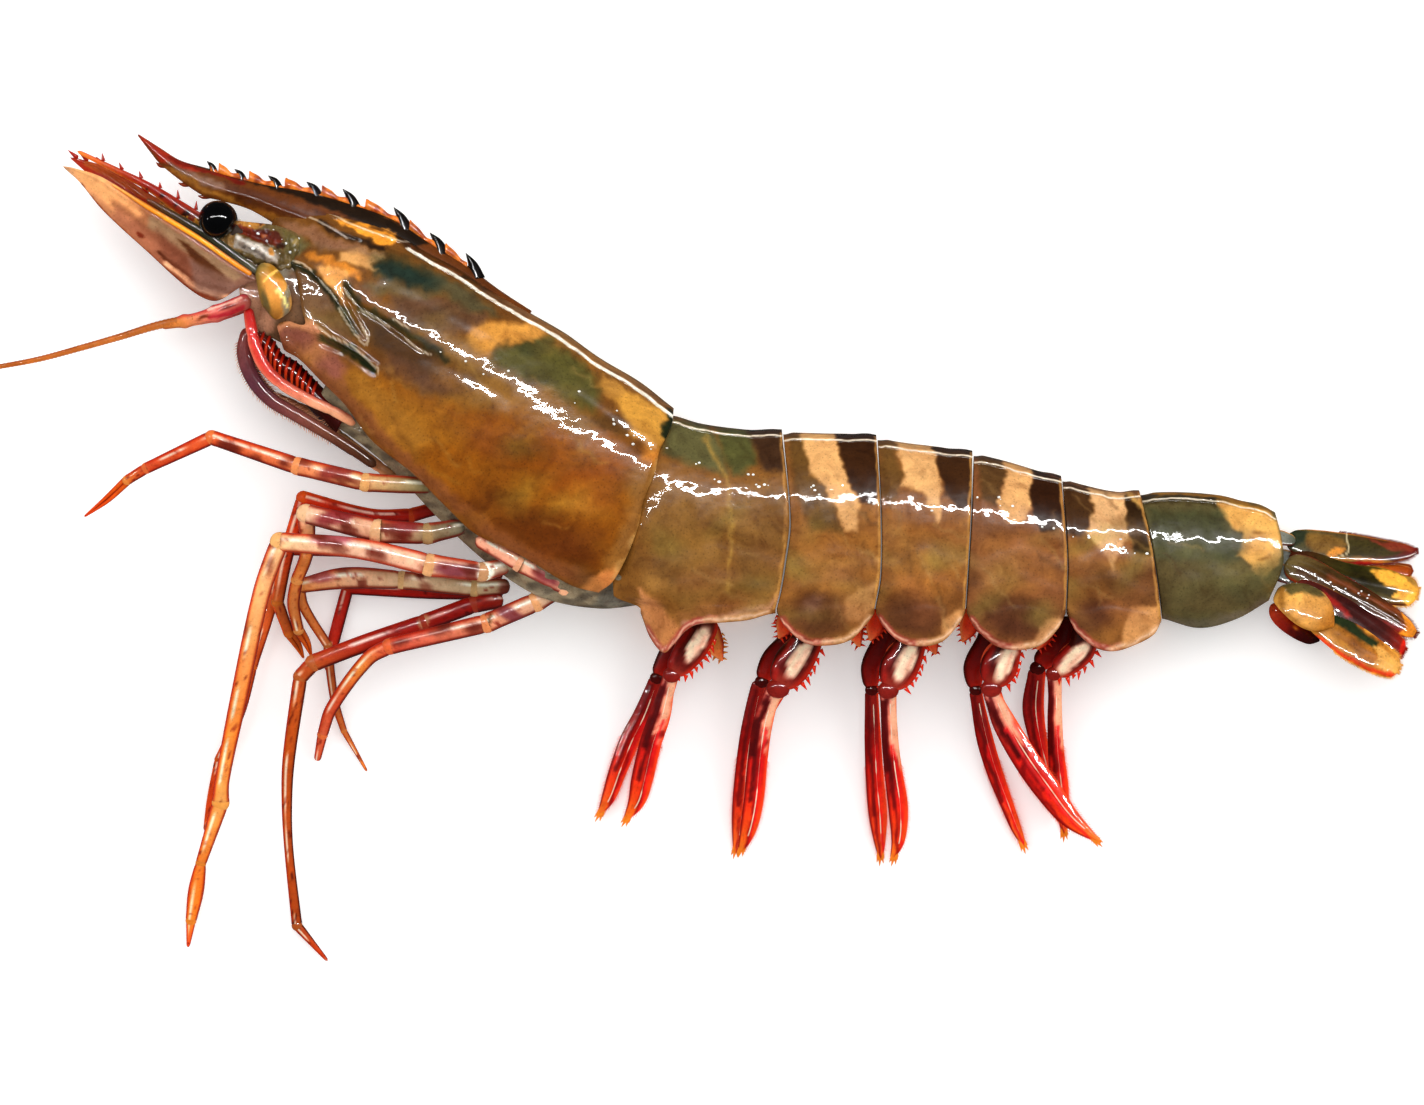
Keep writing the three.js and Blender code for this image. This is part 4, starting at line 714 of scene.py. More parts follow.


# the courses of the main highlight on the shell and the tail, beside which pale droplets are strewn
CARAPACE_HIGHLIGHT_COURSE = [(-25, 21), (-20.6, 18.4), (-16.1, 17.2), (-12.6, 15.2), (-6.6, 14.2), (0, 11.4), (7.4, 4.6)]
TAIL_HIGHLIGHT_COURSE = [(8.6, 6.4), (13.5, 2.8), (20.1, -0.2), (23, 0.8), (28.8, -2.4), (36.1, -1.6), (44.4, -4.4),
            (49.5, -4.2), (55, -3.8), (61.5, -3), (68.8, -6.6), (73.5, -7.6), (79, -9.4), (87.7, -12.4)]


def scattered(courses, per_mm, spread, seed):
    """Places strewn beside the courses."""
    rng = np.random.default_rng(seed)
    places = []
    for course in courses:
        line = follow([(x, y, 0) for x, y in course], 300)
        count = int(strides(line).sum() * per_mm)
        for i in rng.integers(0, 300, count):
            places.append(tuple(line[i, :2] + rng.normal(0, spread, 2)))
    return places


def rostrum(body):
    """The flat horn that runs forward from the back."""
    def at(u, v):
        s = mix(HORN_TIP, HORN_ROOT, u)
        return tilted(s, mix(back_line(s), rostrum_under(s), v))

    def half(u, v):
        return rostrum_half(mix(HORN_TIP, HORN_ROOT, u)) * rostrum_shape(v)

    ridge = [tilted(s, mix(back_line(s), rostrum_under(s), 0.62)) for s in np.linspace(-88, -30, 14)]
    points, faces = two_sided(at, half, midline, np.linspace(0, 1, 240),
                              np.linspace(0, 1, 25), raised=lambda p: relief(p, [(ridge, 0.45, 0.3)]))
    body.add(points, faces, painted(points, "6e3c16", ROSTRUM_MARKS, 21, 0.25))


def rostrum_tooth(body, tip, edge, up):
    """A tooth that leans forward and curves up from the rostrum's edge."""
    reach, root = 1.5, 0.7
    if up > 0:
        tip = (tip[0] - 0.2, tip[1] + 0.3)
        reach, root = float(np.interp(tip[0], (-79, -52), (2.0, 3.2))), 1.2
    foot = tip[0] + reach
    x0, y0 = tilted(foot + 0.1 * reach, edge(foot) - up * root)
    x1, y1 = tilted(tip[0] + 0.58 * reach, mix(float(edge(foot)), tip[1], 0.4))
    x2, y2 = tilted(*tip)
    path = follow([(x0, y0, CARAPACE_MIDDLE, 1.0 * reach), (x1, y1, CARAPACE_MIDDLE, 0.5 * reach),
                   (x2, y2, CARAPACE_MIDDLE, 0.1)], 16)
    ring = tube(path, 12, 0.62, (0.1, 0))
    middle = ring.mean(1, keepdims=True)
    angle = angles(12)
    keeled = 1 / (abs(np.cos(angle)) + abs(np.sin(angle)))
    points, faces = loft(middle + (ring - middle) * keeled[None, :, None])
    body.add(points, faces, "150c08" if up > 0 else "8a3a1c")


def crest_web(body):
    """The thin web that joins the feet of the teeth along the rostrum's back."""
    stations = []
    for (s0, _), (s1, _) in zip(BACK_TEETH, BACK_TEETH[1:]):
        stations += [(s0 + 1.4, 0.6), (mix(s0, s1, 0.5), 0.1), (mix(s0, s1, 0.545), 1.2),
                     (mix(s0, s1, 0.64), 1.15), (mix(s0, s1, 0.82), 0.9), (mix(s0, s1, 0.98), 0.4)]
    stations.append((BACK_TEETH[-1][0] + 1, 0.5))
    height = profile(stations)
    s = np.linspace(BACK_TEETH[0][0] + 1, BACK_TEETH[-1][0] + 1, 260)
    rings = []
    for place, tall in zip(s, height(s)):
        ring = []
        for share, thick in ((0, 0.42), (0.5, 0.26), (0.9, 0.16), (1, 0.0), (0.9, -0.16), (0.5, -0.26),
                             (0, -0.42)):
            x, y = tilted(place - 0.7 * share * tall, float(back_line(place)) - 0.25 + share * (tall + 0.2))
            ring.append((x, y, CARAPACE_MIDDLE + thick))
        rings.append(ring)
    points, faces = loft(rings)
    dark = np.clip(0.15 + 0.6 * wander(points, 1.6, 4), 0, 0.75)[:, None]
    body.add(points, faces, mix(srgb("e8862c"), srgb("8a3010"), dark))


# ---------------------------------------------------------------- tail segments
tail_top = profile([(6, 10.9), (11.5, 10.4), (16, 9.1), (22.4, 8.2), (29.6, 7.7), (35.2, 7.5),
                    (41.6, 7.3), (48, 6.1), (55.7, 5.1), (64, 3.3), (70.4, 1.4), (76.8, -0.6),
                    (83.2, -1.9), (92.8, -1.9), (99.2, -2.4), (102.4, -3.2), (105.6, -4.2),
                    (108.2, -5.6)])
tail_half = profile([(8, 11.9), (20, 11.9), (40, 11.4), (60, 10.5), (75, 9.5), (88, 8.1), (98, 7.3),
                     (105, 6.2), (109, 4.9)])
tail_middle = profile([(8, 11.7), (40, 11.1), (60, 10.2), (75, 9.2), (88, 7.9), (100, 7.1), (109, 6.9)])
belly_line = profile([(6, -20.6), (80, -20.6), (90, -22.2), (96, -23.7), (102, -22.2), (107.2, -19.2)])
RIMS = [profile(stations) for stations in (
    [(0, 11.2), (0.06, 11.0), (0.19, 8.8), (0.29, 8.0), (0.445, 6.6), (0.58, 6.4), (0.74, 6.4), (1, 6.5)],
    [(0, 29.2), (0.5, 30.4), (0.75, 29.6), (0.9, 28.9), (1, 28.2)],
    [(0, 44.3), (0.4, 44.9), (0.8, 44.9), (1, 44.0)],
    [(0, 59.7), (0.4, 59.4), (1, 58.5)],
    [(0, 73.9), (0.6, 74.8), (1, 74.6)],
    [(0, 86.4), (0.35, 88.0), (0.7, 89.2), (1, 89.9)],
    [(0, 108.2), (0.3, 109.2), (0.6, 109.4), (1, 107.2)])]
TIPS = [profile(stations) for stations in (
    [(0, -21.3), (0.07, -25.2), (0.17, -27.6), (0.25, -26.2), (0.33, -24.2), (0.42, -23.1),
     (0.62, -22.8), (0.8, -22.4), (0.93, -21.6), (1, -21.3)],
    [(0, -21.3), (0.08, -23.4), (0.28, -26.0), (0.5, -26.5), (0.75, -25.6), (0.93, -22.8), (1, -21.3)],
    [(0, -21.3), (0.08, -23.4), (0.28, -26.0), (0.5, -26.6), (0.75, -25.8), (0.93, -23.0), (1, -21.3)],
    [(0, -21.3), (0.08, -23.6), (0.28, -26.4), (0.5, -27.2), (0.75, -26.4), (0.93, -23.6), (1, -21.3)],
    [(0, -21.3), (0.08, -24.0), (0.3, -26.8), (0.5, -27.4), (0.72, -26.4), (0.93, -24.6), (1, -22.6)])]

SEGMENT_BASE = {1: "875a26", 2: "94622e", 3: "8c5a2c", 4: "875530", 5: "8e5c2c", 6: "665a38"}
SEGMENT_MARKS = {
    1: [
        patch([(11, 9.5), (17, 9.2), (20, 4), (20.6, 0.6), (17, 1.7), (13.5, 3), (10, 4)], "5d5b39", 0.9,
              1.2),
        patch([(18.5, 8.5), (24, 8.4), (25, 2.5), (21.7, 0.6), (19.7, 4)], "53552e", 0.9, 1.0),
        patch([(23, 9), (30.2, 8), (30.4, 5), (30.4, 1), (26, 1.7), (24.4, 5.5)], "472e1c", 0.95, 0.9),
        patch([(9, 0), (19, -1.7), (20.4, -17.7), (13.5, -21.4), (9, -15), (7, -7.6)], "8a6430", 0.7, 2.0),
        patch([(21.5, -1), (30, -1), (30.4, -15), (26.6, -19), (21.5, -18.5)], "7f5a2c", 0.7, 2.0),
        patch([(6, -17.6), (9, -19), (13, -23.6), (12, -28.3), (9, -27), (6.8, -22)], "c68450", 0.9, 1.0),
        patch([(12, -21.4), (19, -20.3), (26.6, -19), (29.5, -17.7), (26.6, -22), (19, -22), (13.5, -24.3)],
              "9a6638", 0.8, 1.0),
        stroke([(16.8, 6.6), (20.2, 0.4), (21, -6), (20.6, -17.7)], 0.22, "b58d42", 0.8, 0.7),
        stroke([(6.3, -17.7), (7.7, -23.6), (10.3, -27.2)], 0.4, "cf8e5a", 0.9, 0.7),
        stroke([(13.5, -23.2), (16.4, -22.6), (21.5, -21.5), (26.6, -20.3), (30, -17.7)], 0.4, "c8907a",
               0.8, 0.7),
    ],
    2: [
        patch([(30, 7.7), (32.3, 7.3), (33.3, 4), (34, 1), (36.8, -3), (39, -8.4), (34, -8), (31, -1.7)],
              "664820", 0.85, 1.0),
        patch([(31.8, 8), (37.2, 8.2), (38.7, 3.3), (39.8, -0.3), (41.4, -4), (41, -8.6), (39, -8),
               (37.7, -4.6), (36, -1.7), (34, 1.2), (32.7, 4.8)], "deaa6e", 0.98, 0.55),
        patch([(37.2, 8.2), (44.6, 7.8), (45, -1.4), (43.5, -4), (41.6, -3.8), (39.8, -0.3), (38.5, 4)],
              "3e220c", 0.96, 0.5),
        patch([(34, -8.3), (41, -9), (44, -4.6), (45, -15), (39.7, -18.5), (34, -17.7), (31, -12)],
              "a16a30", 0.7, 1.6),
        spot(35, -21.6, 4.8, 3.4, 0, "56301f", 0.8, 1.9),
        spot(34, -20, 1.8, 1.2, 30, "8d6a60", 0.5, 1),
        patch([(39.7, -18.5), (44.5, -16), (44, -20), (41.5, -23), (39, -21.7)], "d6a065", 0.9, 0.8),
    ],
    3: [
        patch([(44.6, 7), (47, 6.6), (47.8, 2.6), (48.6, -0.4), (46.4, -4.3), (44.8, -2)], "6d4d22", 0.85,
              1.0),
        patch([(46.8, 7), (52.8, 6.5), (54, 2.6), (54.4, -1.7), (54.5, -7), (53, -5), (51.3, -2),
               (48.4, -0.7), (48.3, 3.3)], "ddaa70", 0.98, 0.55),
        patch([(52.8, 6.5), (60.2, 5), (60.2, -4), (57.3, -4.8), (55, -2), (54, 2.6)], "42260f", 0.96, 0.5),
        patch([(46, -5.4), (54, -8.3), (59, -6), (59, -16), (52.8, -19), (47, -17.7)], "a96f33", 0.7, 1.6),
        spot(50.2, -21.8, 4.8, 3.0, -10, "56301f", 0.8, 1.9),
        patch([(55, -22), (58.5, -20.3), (57.3, -24.6), (54.5, -25)], "cf965e", 0.9, 0.8),
    ],
    4: [
        patch([(60.4, 4.4), (64.6, 3.2), (65, -0.4), (63, -4.4), (60.8, -2.8)], "5c4020", 0.9, 0.9),
        patch([(64.4, 3.6), (69.4, 2), (69.4, -2.6), (67.8, -6.4), (65.4, -7), (63, -3.6), (65, -1)],
              "dea96e", 0.98, 0.55),
        patch([(69.2, 2), (73.8, 0.4), (73.7, -7.7), (70.4, -8.4), (68.8, -4)], "361b08", 0.96, 0.5),
        patch([(61, -9), (67.3, -8.3), (73, -9), (73.5, -16.3), (67.3, -19), (61.5, -17.7)],
              "9b6533", 0.7, 1.6),
        spot(66.4, -22, 4.8, 3.0, -8, "56301f", 0.8, 1.9),
        patch([(70.2, -23.2), (73.6, -21.5), (72.7, -25), (69.4, -26.3)], "d39a66", 0.9, 0.8),
    ],
    5: [
        patch([(74, -0.4), (78.4, -1.4), (79, -5.4), (77, -9.2), (74, -8.7)], "492e15", 0.92, 0.8),
        patch([(78, -1.2), (84.2, -2.3), (84.6, -8.3), (82.7, -12), (82, -14.5), (80.4, -11.3),
               (77.5, -8.4), (79, -4.8)], "deae7a", 0.98, 0.55),
        patch([(84, -2.3), (88, -5), (88.3, -12.3), (85.5, -11.5), (84.4, -8.3)], "33200b", 0.95, 0.5),
        patch([(80, -14.8), (89.3, -13.7), (89.7, -19.6), (85, -20.6), (82, -18.6)], "6b4424", 0.85, 1.2),
        patch([(85, -20), (89.7, -20), (90, -23.6), (86.2, -25.6), (83.5, -26.8), (84, -22.8)],
              "d59a60", 0.9, 0.8),
        spot(78.6, -21.6, 3.6, 2.6, 20, "56301f", 0.8, 1.7),
        stroke([(84.6, -2.2), (87.3, -4.5), (88.3, -8.3)], 0.5, "c59a55", 0.9, 0.6),
    ],
    6: [
        stroke([(85, -2), (92, -2), (99.3, -2.7), (107.3, -5)], 0.5, "a5701f", 0.95, 0.6),
        stroke([(85.5, -2.9), (92, -2.9), (98.6, -3.5)], 0.55, "33260f", 0.85, 0.7),
        patch([(87.7, -4.6), (99.3, -4.6), (102.6, -12), (99.3, -13.7), (88.4, -12.6)], "494a2e", 0.85,
              1.6),
        patch([(88.4, -13.4), (99.3, -13.4), (106.6, -16.3), (105, -20), (95.7, -22.8), (89, -21.4)],
              "5f5030", 0.8, 1.8),
        patch([(98.7, -3.3), (106.6, -5), (108.6, -6.5), (109.2, -11.2), (108.6, -13.5), (106.7, -15.4),
               (105, -15.4), (104.3, -13.5), (101.6, -12), (103, -9), (100.6, -6.8)], "e4ad5f", 0.98, 0.5),
        spot(105.3, -8.4, 0.7, 0.3, 0, "8a5a20", 0.8, 0.6),
        spot(105.9, -9.4, 0.6, 0.35, -30, "80501c", 0.8, 0.6),
        spot(104.5, -9.4, 0.35, 0.3, 0, "80501c", 0.8, 0.6),
        spot(106.2, -12.3, 0.5, 0.3, 10, "80501c", 0.7, 0.6),
        stroke([(89.5, -22.4), (95.7, -23.3), (101.5, -22.2), (106.6, -20)], 0.8, "75655a", 0.8, 0.9),
    ],
}


def tail_segment(body, number):
    """A ring of the tail with a free flap down either side, which the last lacks."""
    front, rear = RIMS[number - 1], RIMS[number]
    last = number == 6
    gap = 0.12  # from a rim to the joint between two segments
    lip = 0.8  # level in the side view below which the flaps hang free

    def deep(v):
        return np.clip(v if last else v / lip, 0, 1)

    def lift(u):
        return 0.4 * (rise(u, 0.72, 0.95) - 1 + rise(u, 0, 0.12)) - 0.02

    def along(u, v):
        share = deep(v)
        under = rise(share, 0.3, 0.6) * (1 - rise(share, 0.93, 1))
        tucked = -1.2 * (1 - share) - 4.2 * under if number == 1 else gap
        return mix(front(share) + tucked, rear(share) - gap, u)

    def at(u, v):
        x = along(u, v)
        y = mix(tail_top(x) + lift(u), belly_line(x), deep(v))
        if last:
            return x, y
        return x, mix(y, TIPS[number - 1](u), np.clip((v - lip) / (1 - lip), 0, 1))

    def half(u, v):
        x = along(u, v)
        share = deep(v)
        back = rounded(share / 0.6, 2.3)
        below = np.maximum(share - 0.6, 0) / 0.4
        hang = np.maximum(v - lip, 0) / (1 - lip)
        turn_in = 0.5 * below ** 2 if last else 0.07 * below ** 2 + 0.16 * hang
        rolled = 0.22 * rise(u, 0.985, 1) + (0 if last else 0.25 * rise(v, 0.985, 1))
        if number == 1:
            rolled = rolled + 3.0 * (1 - rise(u, 0.02, 0.24)) * rise(share, 0.3, 0.6)
        return tail_half(x) * back * (1 - turn_in) + np.where(v > 0, lift(u), 0) - rolled

    x0, x1 = float(front(0.4)), float(rear(0.4))
    span = x1 - x0
    keel = [(float(along(u, 0)), float(tail_top(along(u, 0)) + lift(u)) - 0.85)
            for u in np.linspace(0, 1, 24)]
    marks = [
        (keel, 0.42, 1.0),
        ([(x0 + span * 0.3, 8), (x0 + span * 0.36, -4), (x0 + span * 0.42, -14)], 1.2, 0.16),
        ([(x0 + span * 0.1, -12), (x0 + span * 0.5, -9.5), (x0 + span * 0.95, -12)], 1.6,
         0 if last else -0.22),
        ([(x0 + span * 0.05, -18), (x0 + span * 0.5, -16), (x0 + span * 0.9, -18.4)], 1.4, 0.24),
        ([(x0 + span * 0.1, -20.6), (x0 + span * 0.5, -19.6), (x0 + span * 0.95, -20.6)], 1.0, -0.35),
    ]
    t = np.linspace(0, 1, 141)
    vs = t * (0.35 + 0.65 * t)
    ceiling = None if last else int(np.argmin(abs(vs - lip)))
    points, faces = two_sided(at, half, tail_middle, np.linspace(0, 1, 81), vs, ceiling,
                              raised=lambda p: relief(p, marks))
    # painted highlight: a near-white line just inside the keel of the segment
    keel_glint = stroke([(x, y - 0.2) for x, y in keel], 0.13, "f6ead6", 0.9, 0.12)
    tints = ["b4884a", "6e4a26", "8c8040", "a0643c"] if not last else ["6e6a44", "4a4a30", "7a6a3c"]
    flesh = clouds(x0, x1, -23, -6, tints, 16, 50 + number)
    flesh += veins(x0, x1, -20, 2, ["b08c58", "54361c", "a88450"], 7, 40 + number)
    colour = painted(points, SEGMENT_BASE[number], SEGMENT_MARKS[number] + flesh, 30 + number, 0.22, 1.5)
    if not last:
        rim = [(float(along(u, 1)), float(TIPS[number - 1](u)) + 0.55) for u in np.linspace(0.05, 0.95, 24)]
        # the rim's thin pale line is a painted highlight; the pink and tan bands are its own colour
        rims = [stroke(rim[:14], 0.5, "b04a44", 0.85, 0.8), stroke(rim[11:], 0.5, "dca878", 0.8, 0.7),
                stroke(rim, 0.16, "f0c8a8", 0.7, 0.25)]
        edge = [(float(along(0.985, v)), float(at(0.985, v)[1])) for v in np.linspace(0.02, 0.8, 40)]
        rims.append(stroke(edge, 0.2, "c8924c", 0.75, 0.3))
        colour = painted(points, colour, rims, 36 + number, 0.12)
    body.add(points, faces, painted(points, colour, [keel_glint], 30, 0.06))
    here = [place for place in scattered([TAIL_HIGHLIGHT_COURSE], 0.55, 0.6, 15) if x0 + 0.6 < place[0] < x1 - 0.6]
    bead_glints(body, here, points, 60 + number, 0.1, 0.22)


# ---------------------------------------------------------------- blades, limbs and bristles
def leaf(path, thickness, roll=0.0, rows=72, sides=28, ends=(0.4, 0.4), ridges=(), plate=3):
    """Rings of a flat blade, thickest along its ridges: (place across, width, height). The
    larger plate is, the flatter the blade between its edges."""
    path = follow(path, rows)
    across, over = frames_along(path[:, :3])
    flat = across * math.cos(roll) + over * math.sin(roll)
    out = over * math.cos(roll) - across * math.sin(roll)
    wide = path[:, 3].copy()
    run = np.linspace(0, 1, rows)
    length = strides(path).sum()
    for end, place in ((ends[0], run), (ends[1], 1 - run)):
        if end > 0:
            share = np.clip(place * length / (end * wide.max()), 0, 1)
            wide = wide * np.sqrt(np.clip(1 - (1 - share) ** 2, 0.003, 1))
    angle = angles(sides)
    a = np.cos(angle)
    b = np.sin(angle) * (1 - np.abs(a) ** plate) ** 0.5
    for place, width, height in ridges:
        swell = height * np.exp(-((a - place) / width) ** 2)
        b = b + np.sign(np.sin(angle)) * swell * (abs(np.sin(angle)) > 0.05)
    thin = thickness * np.minimum(1, wide / np.median(wide)) / 2
    ring = path[:, None, :3] + flat[:, None] * (a[None, :, None] * wide[:, None, None] / 2)
    return ring + out[:, None] * (b[None, :, None] * thin[:, None, None])


def graded(ring, tones, upper=None, lower=None, strength=0.7, inner=0.25):
    """Colours along a limb from its root to its tip, with a stripe down either edge that starts
    at inner, a share of the half width."""
    rows, sides = ring.shape[:2]
    along = np.linspace(0, len(tones) - 1, rows)
    table = np.array([srgb(t) for t in tones])
    i = np.minimum(along.astype(int), len(tones) - 2) if len(tones) > 1 else np.zeros(rows, int)
    share = (along - i)[:, None]
    colour = mix(table[i], table[np.minimum(i + 1, len(tones) - 1)], share)
    colour = np.repeat(colour[:, None], sides, 1)
    side = np.cos(angles(sides))
    for code, cover in ((upper, rise(-side, inner, 0.97)), (lower, rise(side, inner, 0.97))):
        if code:
            colour = mix(colour, srgb(code), strength * cover[None, :, None])
    return colour


def add_rings(body, ring, colour, marks=(), seed=3, stray=0.15, kind=0):
    """Adds a closed body of rings, its colours overlaid with marks."""
    points, faces = loft(ring)
    flat = triples(colour, ring.shape).reshape(-1, 3)
    flat = np.concatenate([flat, flat[:1], flat[-1:]])
    if len(marks):
        flat = painted(points, flat, marks, seed, stray)
    body.add(points, faces, flat, kind)


def bristle_tree():
    """Node tree that lays one tapering hair on each point, along the point's own direction."""
    if "Bristles" in bpy.data.node_groups:
        return bpy.data.node_groups["Bristles"]
    tree = bpy.data.node_groups.new("Bristles", "GeometryNodeTree")
    face = tree.interface
    face.new_socket("Roots", in_out="INPUT", socket_type="NodeSocketGeometry")
    for name, kind, value in (("Length", "NodeSocketFloat", 0.001),
                              ("Thickness", "NodeSocketFloat", 0.0001),
                              ("Unevenness", "NodeSocketFloat", 0.3), ("Seed", "NodeSocketInt", 1)):
        face.new_socket(name, in_out="INPUT", socket_type=kind).default_value = value
    face.new_socket("Hairs", in_out="OUTPUT", socket_type="NodeSocketGeometry")
    given = tree.nodes.new("NodeGroupInput").outputs
    hair = add_node(tree, "GeometryNodeMeshCone", {"Vertices": 5, "Side Segments": 3, "Radius Top": 0.08,
                                                   "Radius Bottom": 1.0, "Depth": 1.0})
    lay = add_node(tree, "GeometryNodeInputNamedAttribute", {"data_type": "FLOAT_VECTOR", "Name": "lay"})
    low = add_node(tree, "ShaderNodeMath", {"operation": "SUBTRACT", 0: 1.0}, {1: given["Unevenness"]})
    chance = add_node(tree, "FunctionNodeRandomValue", {"data_type": "FLOAT"}, {"Seed": given["Seed"]})
    for socket in chance.inputs:
        if socket.enabled and socket.name == "Min":
            tree.links.new(low.outputs[0], socket)
        if socket.enabled and socket.name == "Max":
            socket.default_value = 1.0
    value = next(o for o in chance.outputs if o.enabled)
    tall = add_node(tree, "ShaderNodeMath", {"operation": "MULTIPLY"}, {0: given["Length"], 1: value})
    size = add_node(tree, "ShaderNodeCombineXYZ", None,
                    {0: given["Thickness"], 1: given["Thickness"], 2: tall.outputs[0]})
    turn = add_node(tree, "FunctionNodeAlignRotationToVector", {"axis": "Z"},
                    {"Vector": next(o for o in lay.outputs if o.enabled)})
    placed = add_node(tree, "GeometryNodeInstanceOnPoints", None,
                      {"Points": given["Roots"], "Instance": hair.outputs[0],
                       "Rotation": turn.outputs[0], "Scale": size.outputs[0]})
    real = add_node(tree, "GeometryNodeRealizeInstances", None, {"Geometry": placed.outputs[0]})
    add_node(tree, "NodeGroupOutput", None, {0: real.outputs[0]})
    return tree


def add_bristles(body, edges, code, length, thickness, seed, unevenness=0.35):
    """Hairs of one colour along edges, each of them roots and directions; lengths in mm."""
    roots, lays = (np.concatenate(part) for part in zip(*edges))
    mesh = bpy.data.meshes.new("roots")
    mesh.from_pydata((roots * MM).tolist(), [], [])
    mesh.attributes.new("lay", "FLOAT_VECTOR", "POINT").data.foreach_set(
        "vector", unit(lays).astype(np.float32).ravel())
    holder = bpy.data.objects.new("roots", mesh)
    bpy.context.scene.collection.objects.link(holder)
    tree = bristle_tree()
    modifier = holder.modifiers.new("Bristles", "NODES")
    modifier.node_group = tree
    sockets = {item.name: item.identifier for item in tree.interface.items_tree}
    for name, value in (("Length", length * MM), ("Thickness", thickness * MM / 2),
                        ("Unevenness", unevenness), ("Seed", seed)):
        modifier[sockets[name]] = value
    graph = bpy.context.evaluated_depsgraph_get()
    made = bpy.data.meshes.new_from_object(holder.evaluated_get(graph))
    points = np.zeros(len(made.vertices) * 3)
    made.vertices.foreach_get("co", points)
    points = points.reshape(-1, 3) / MM
    points[:, 2] = np.maximum(points[:, 2], 0.02)
    body.add(points, [tuple(polygon.vertices) for polygon in made.polygons], code)
    bpy.data.objects.remove(holder)
    for used in (mesh, made):
        bpy.data.meshes.remove(used)


def fringe_of(ring, start, stop, side, count, spread=0.0, seed=1):
    """Roots and directions of hairs along one edge of a blade; side is the ring's place."""
    rng = np.random.default_rng(seed)
    where = np.linspace(start, stop, count) * (len(ring) - 1)
    i = np.clip(where.astype(int), 0, len(ring) - 2)
    share = (where - i)[:, None]
    edge = mix(ring[i, side], ring[i + 1, side], share)
    middle = mix(ring[i].mean(1), ring[i + 1].mean(1), share)
    ahead = unit(ring[i + 1].mean(1) - ring[i].mean(1))
    lay = unit(edge - middle) + 0.9 * ahead + rng.normal(0, 0.12 + spread, (count, 3)) * [1, 1, 0.5]
    return edge, lay


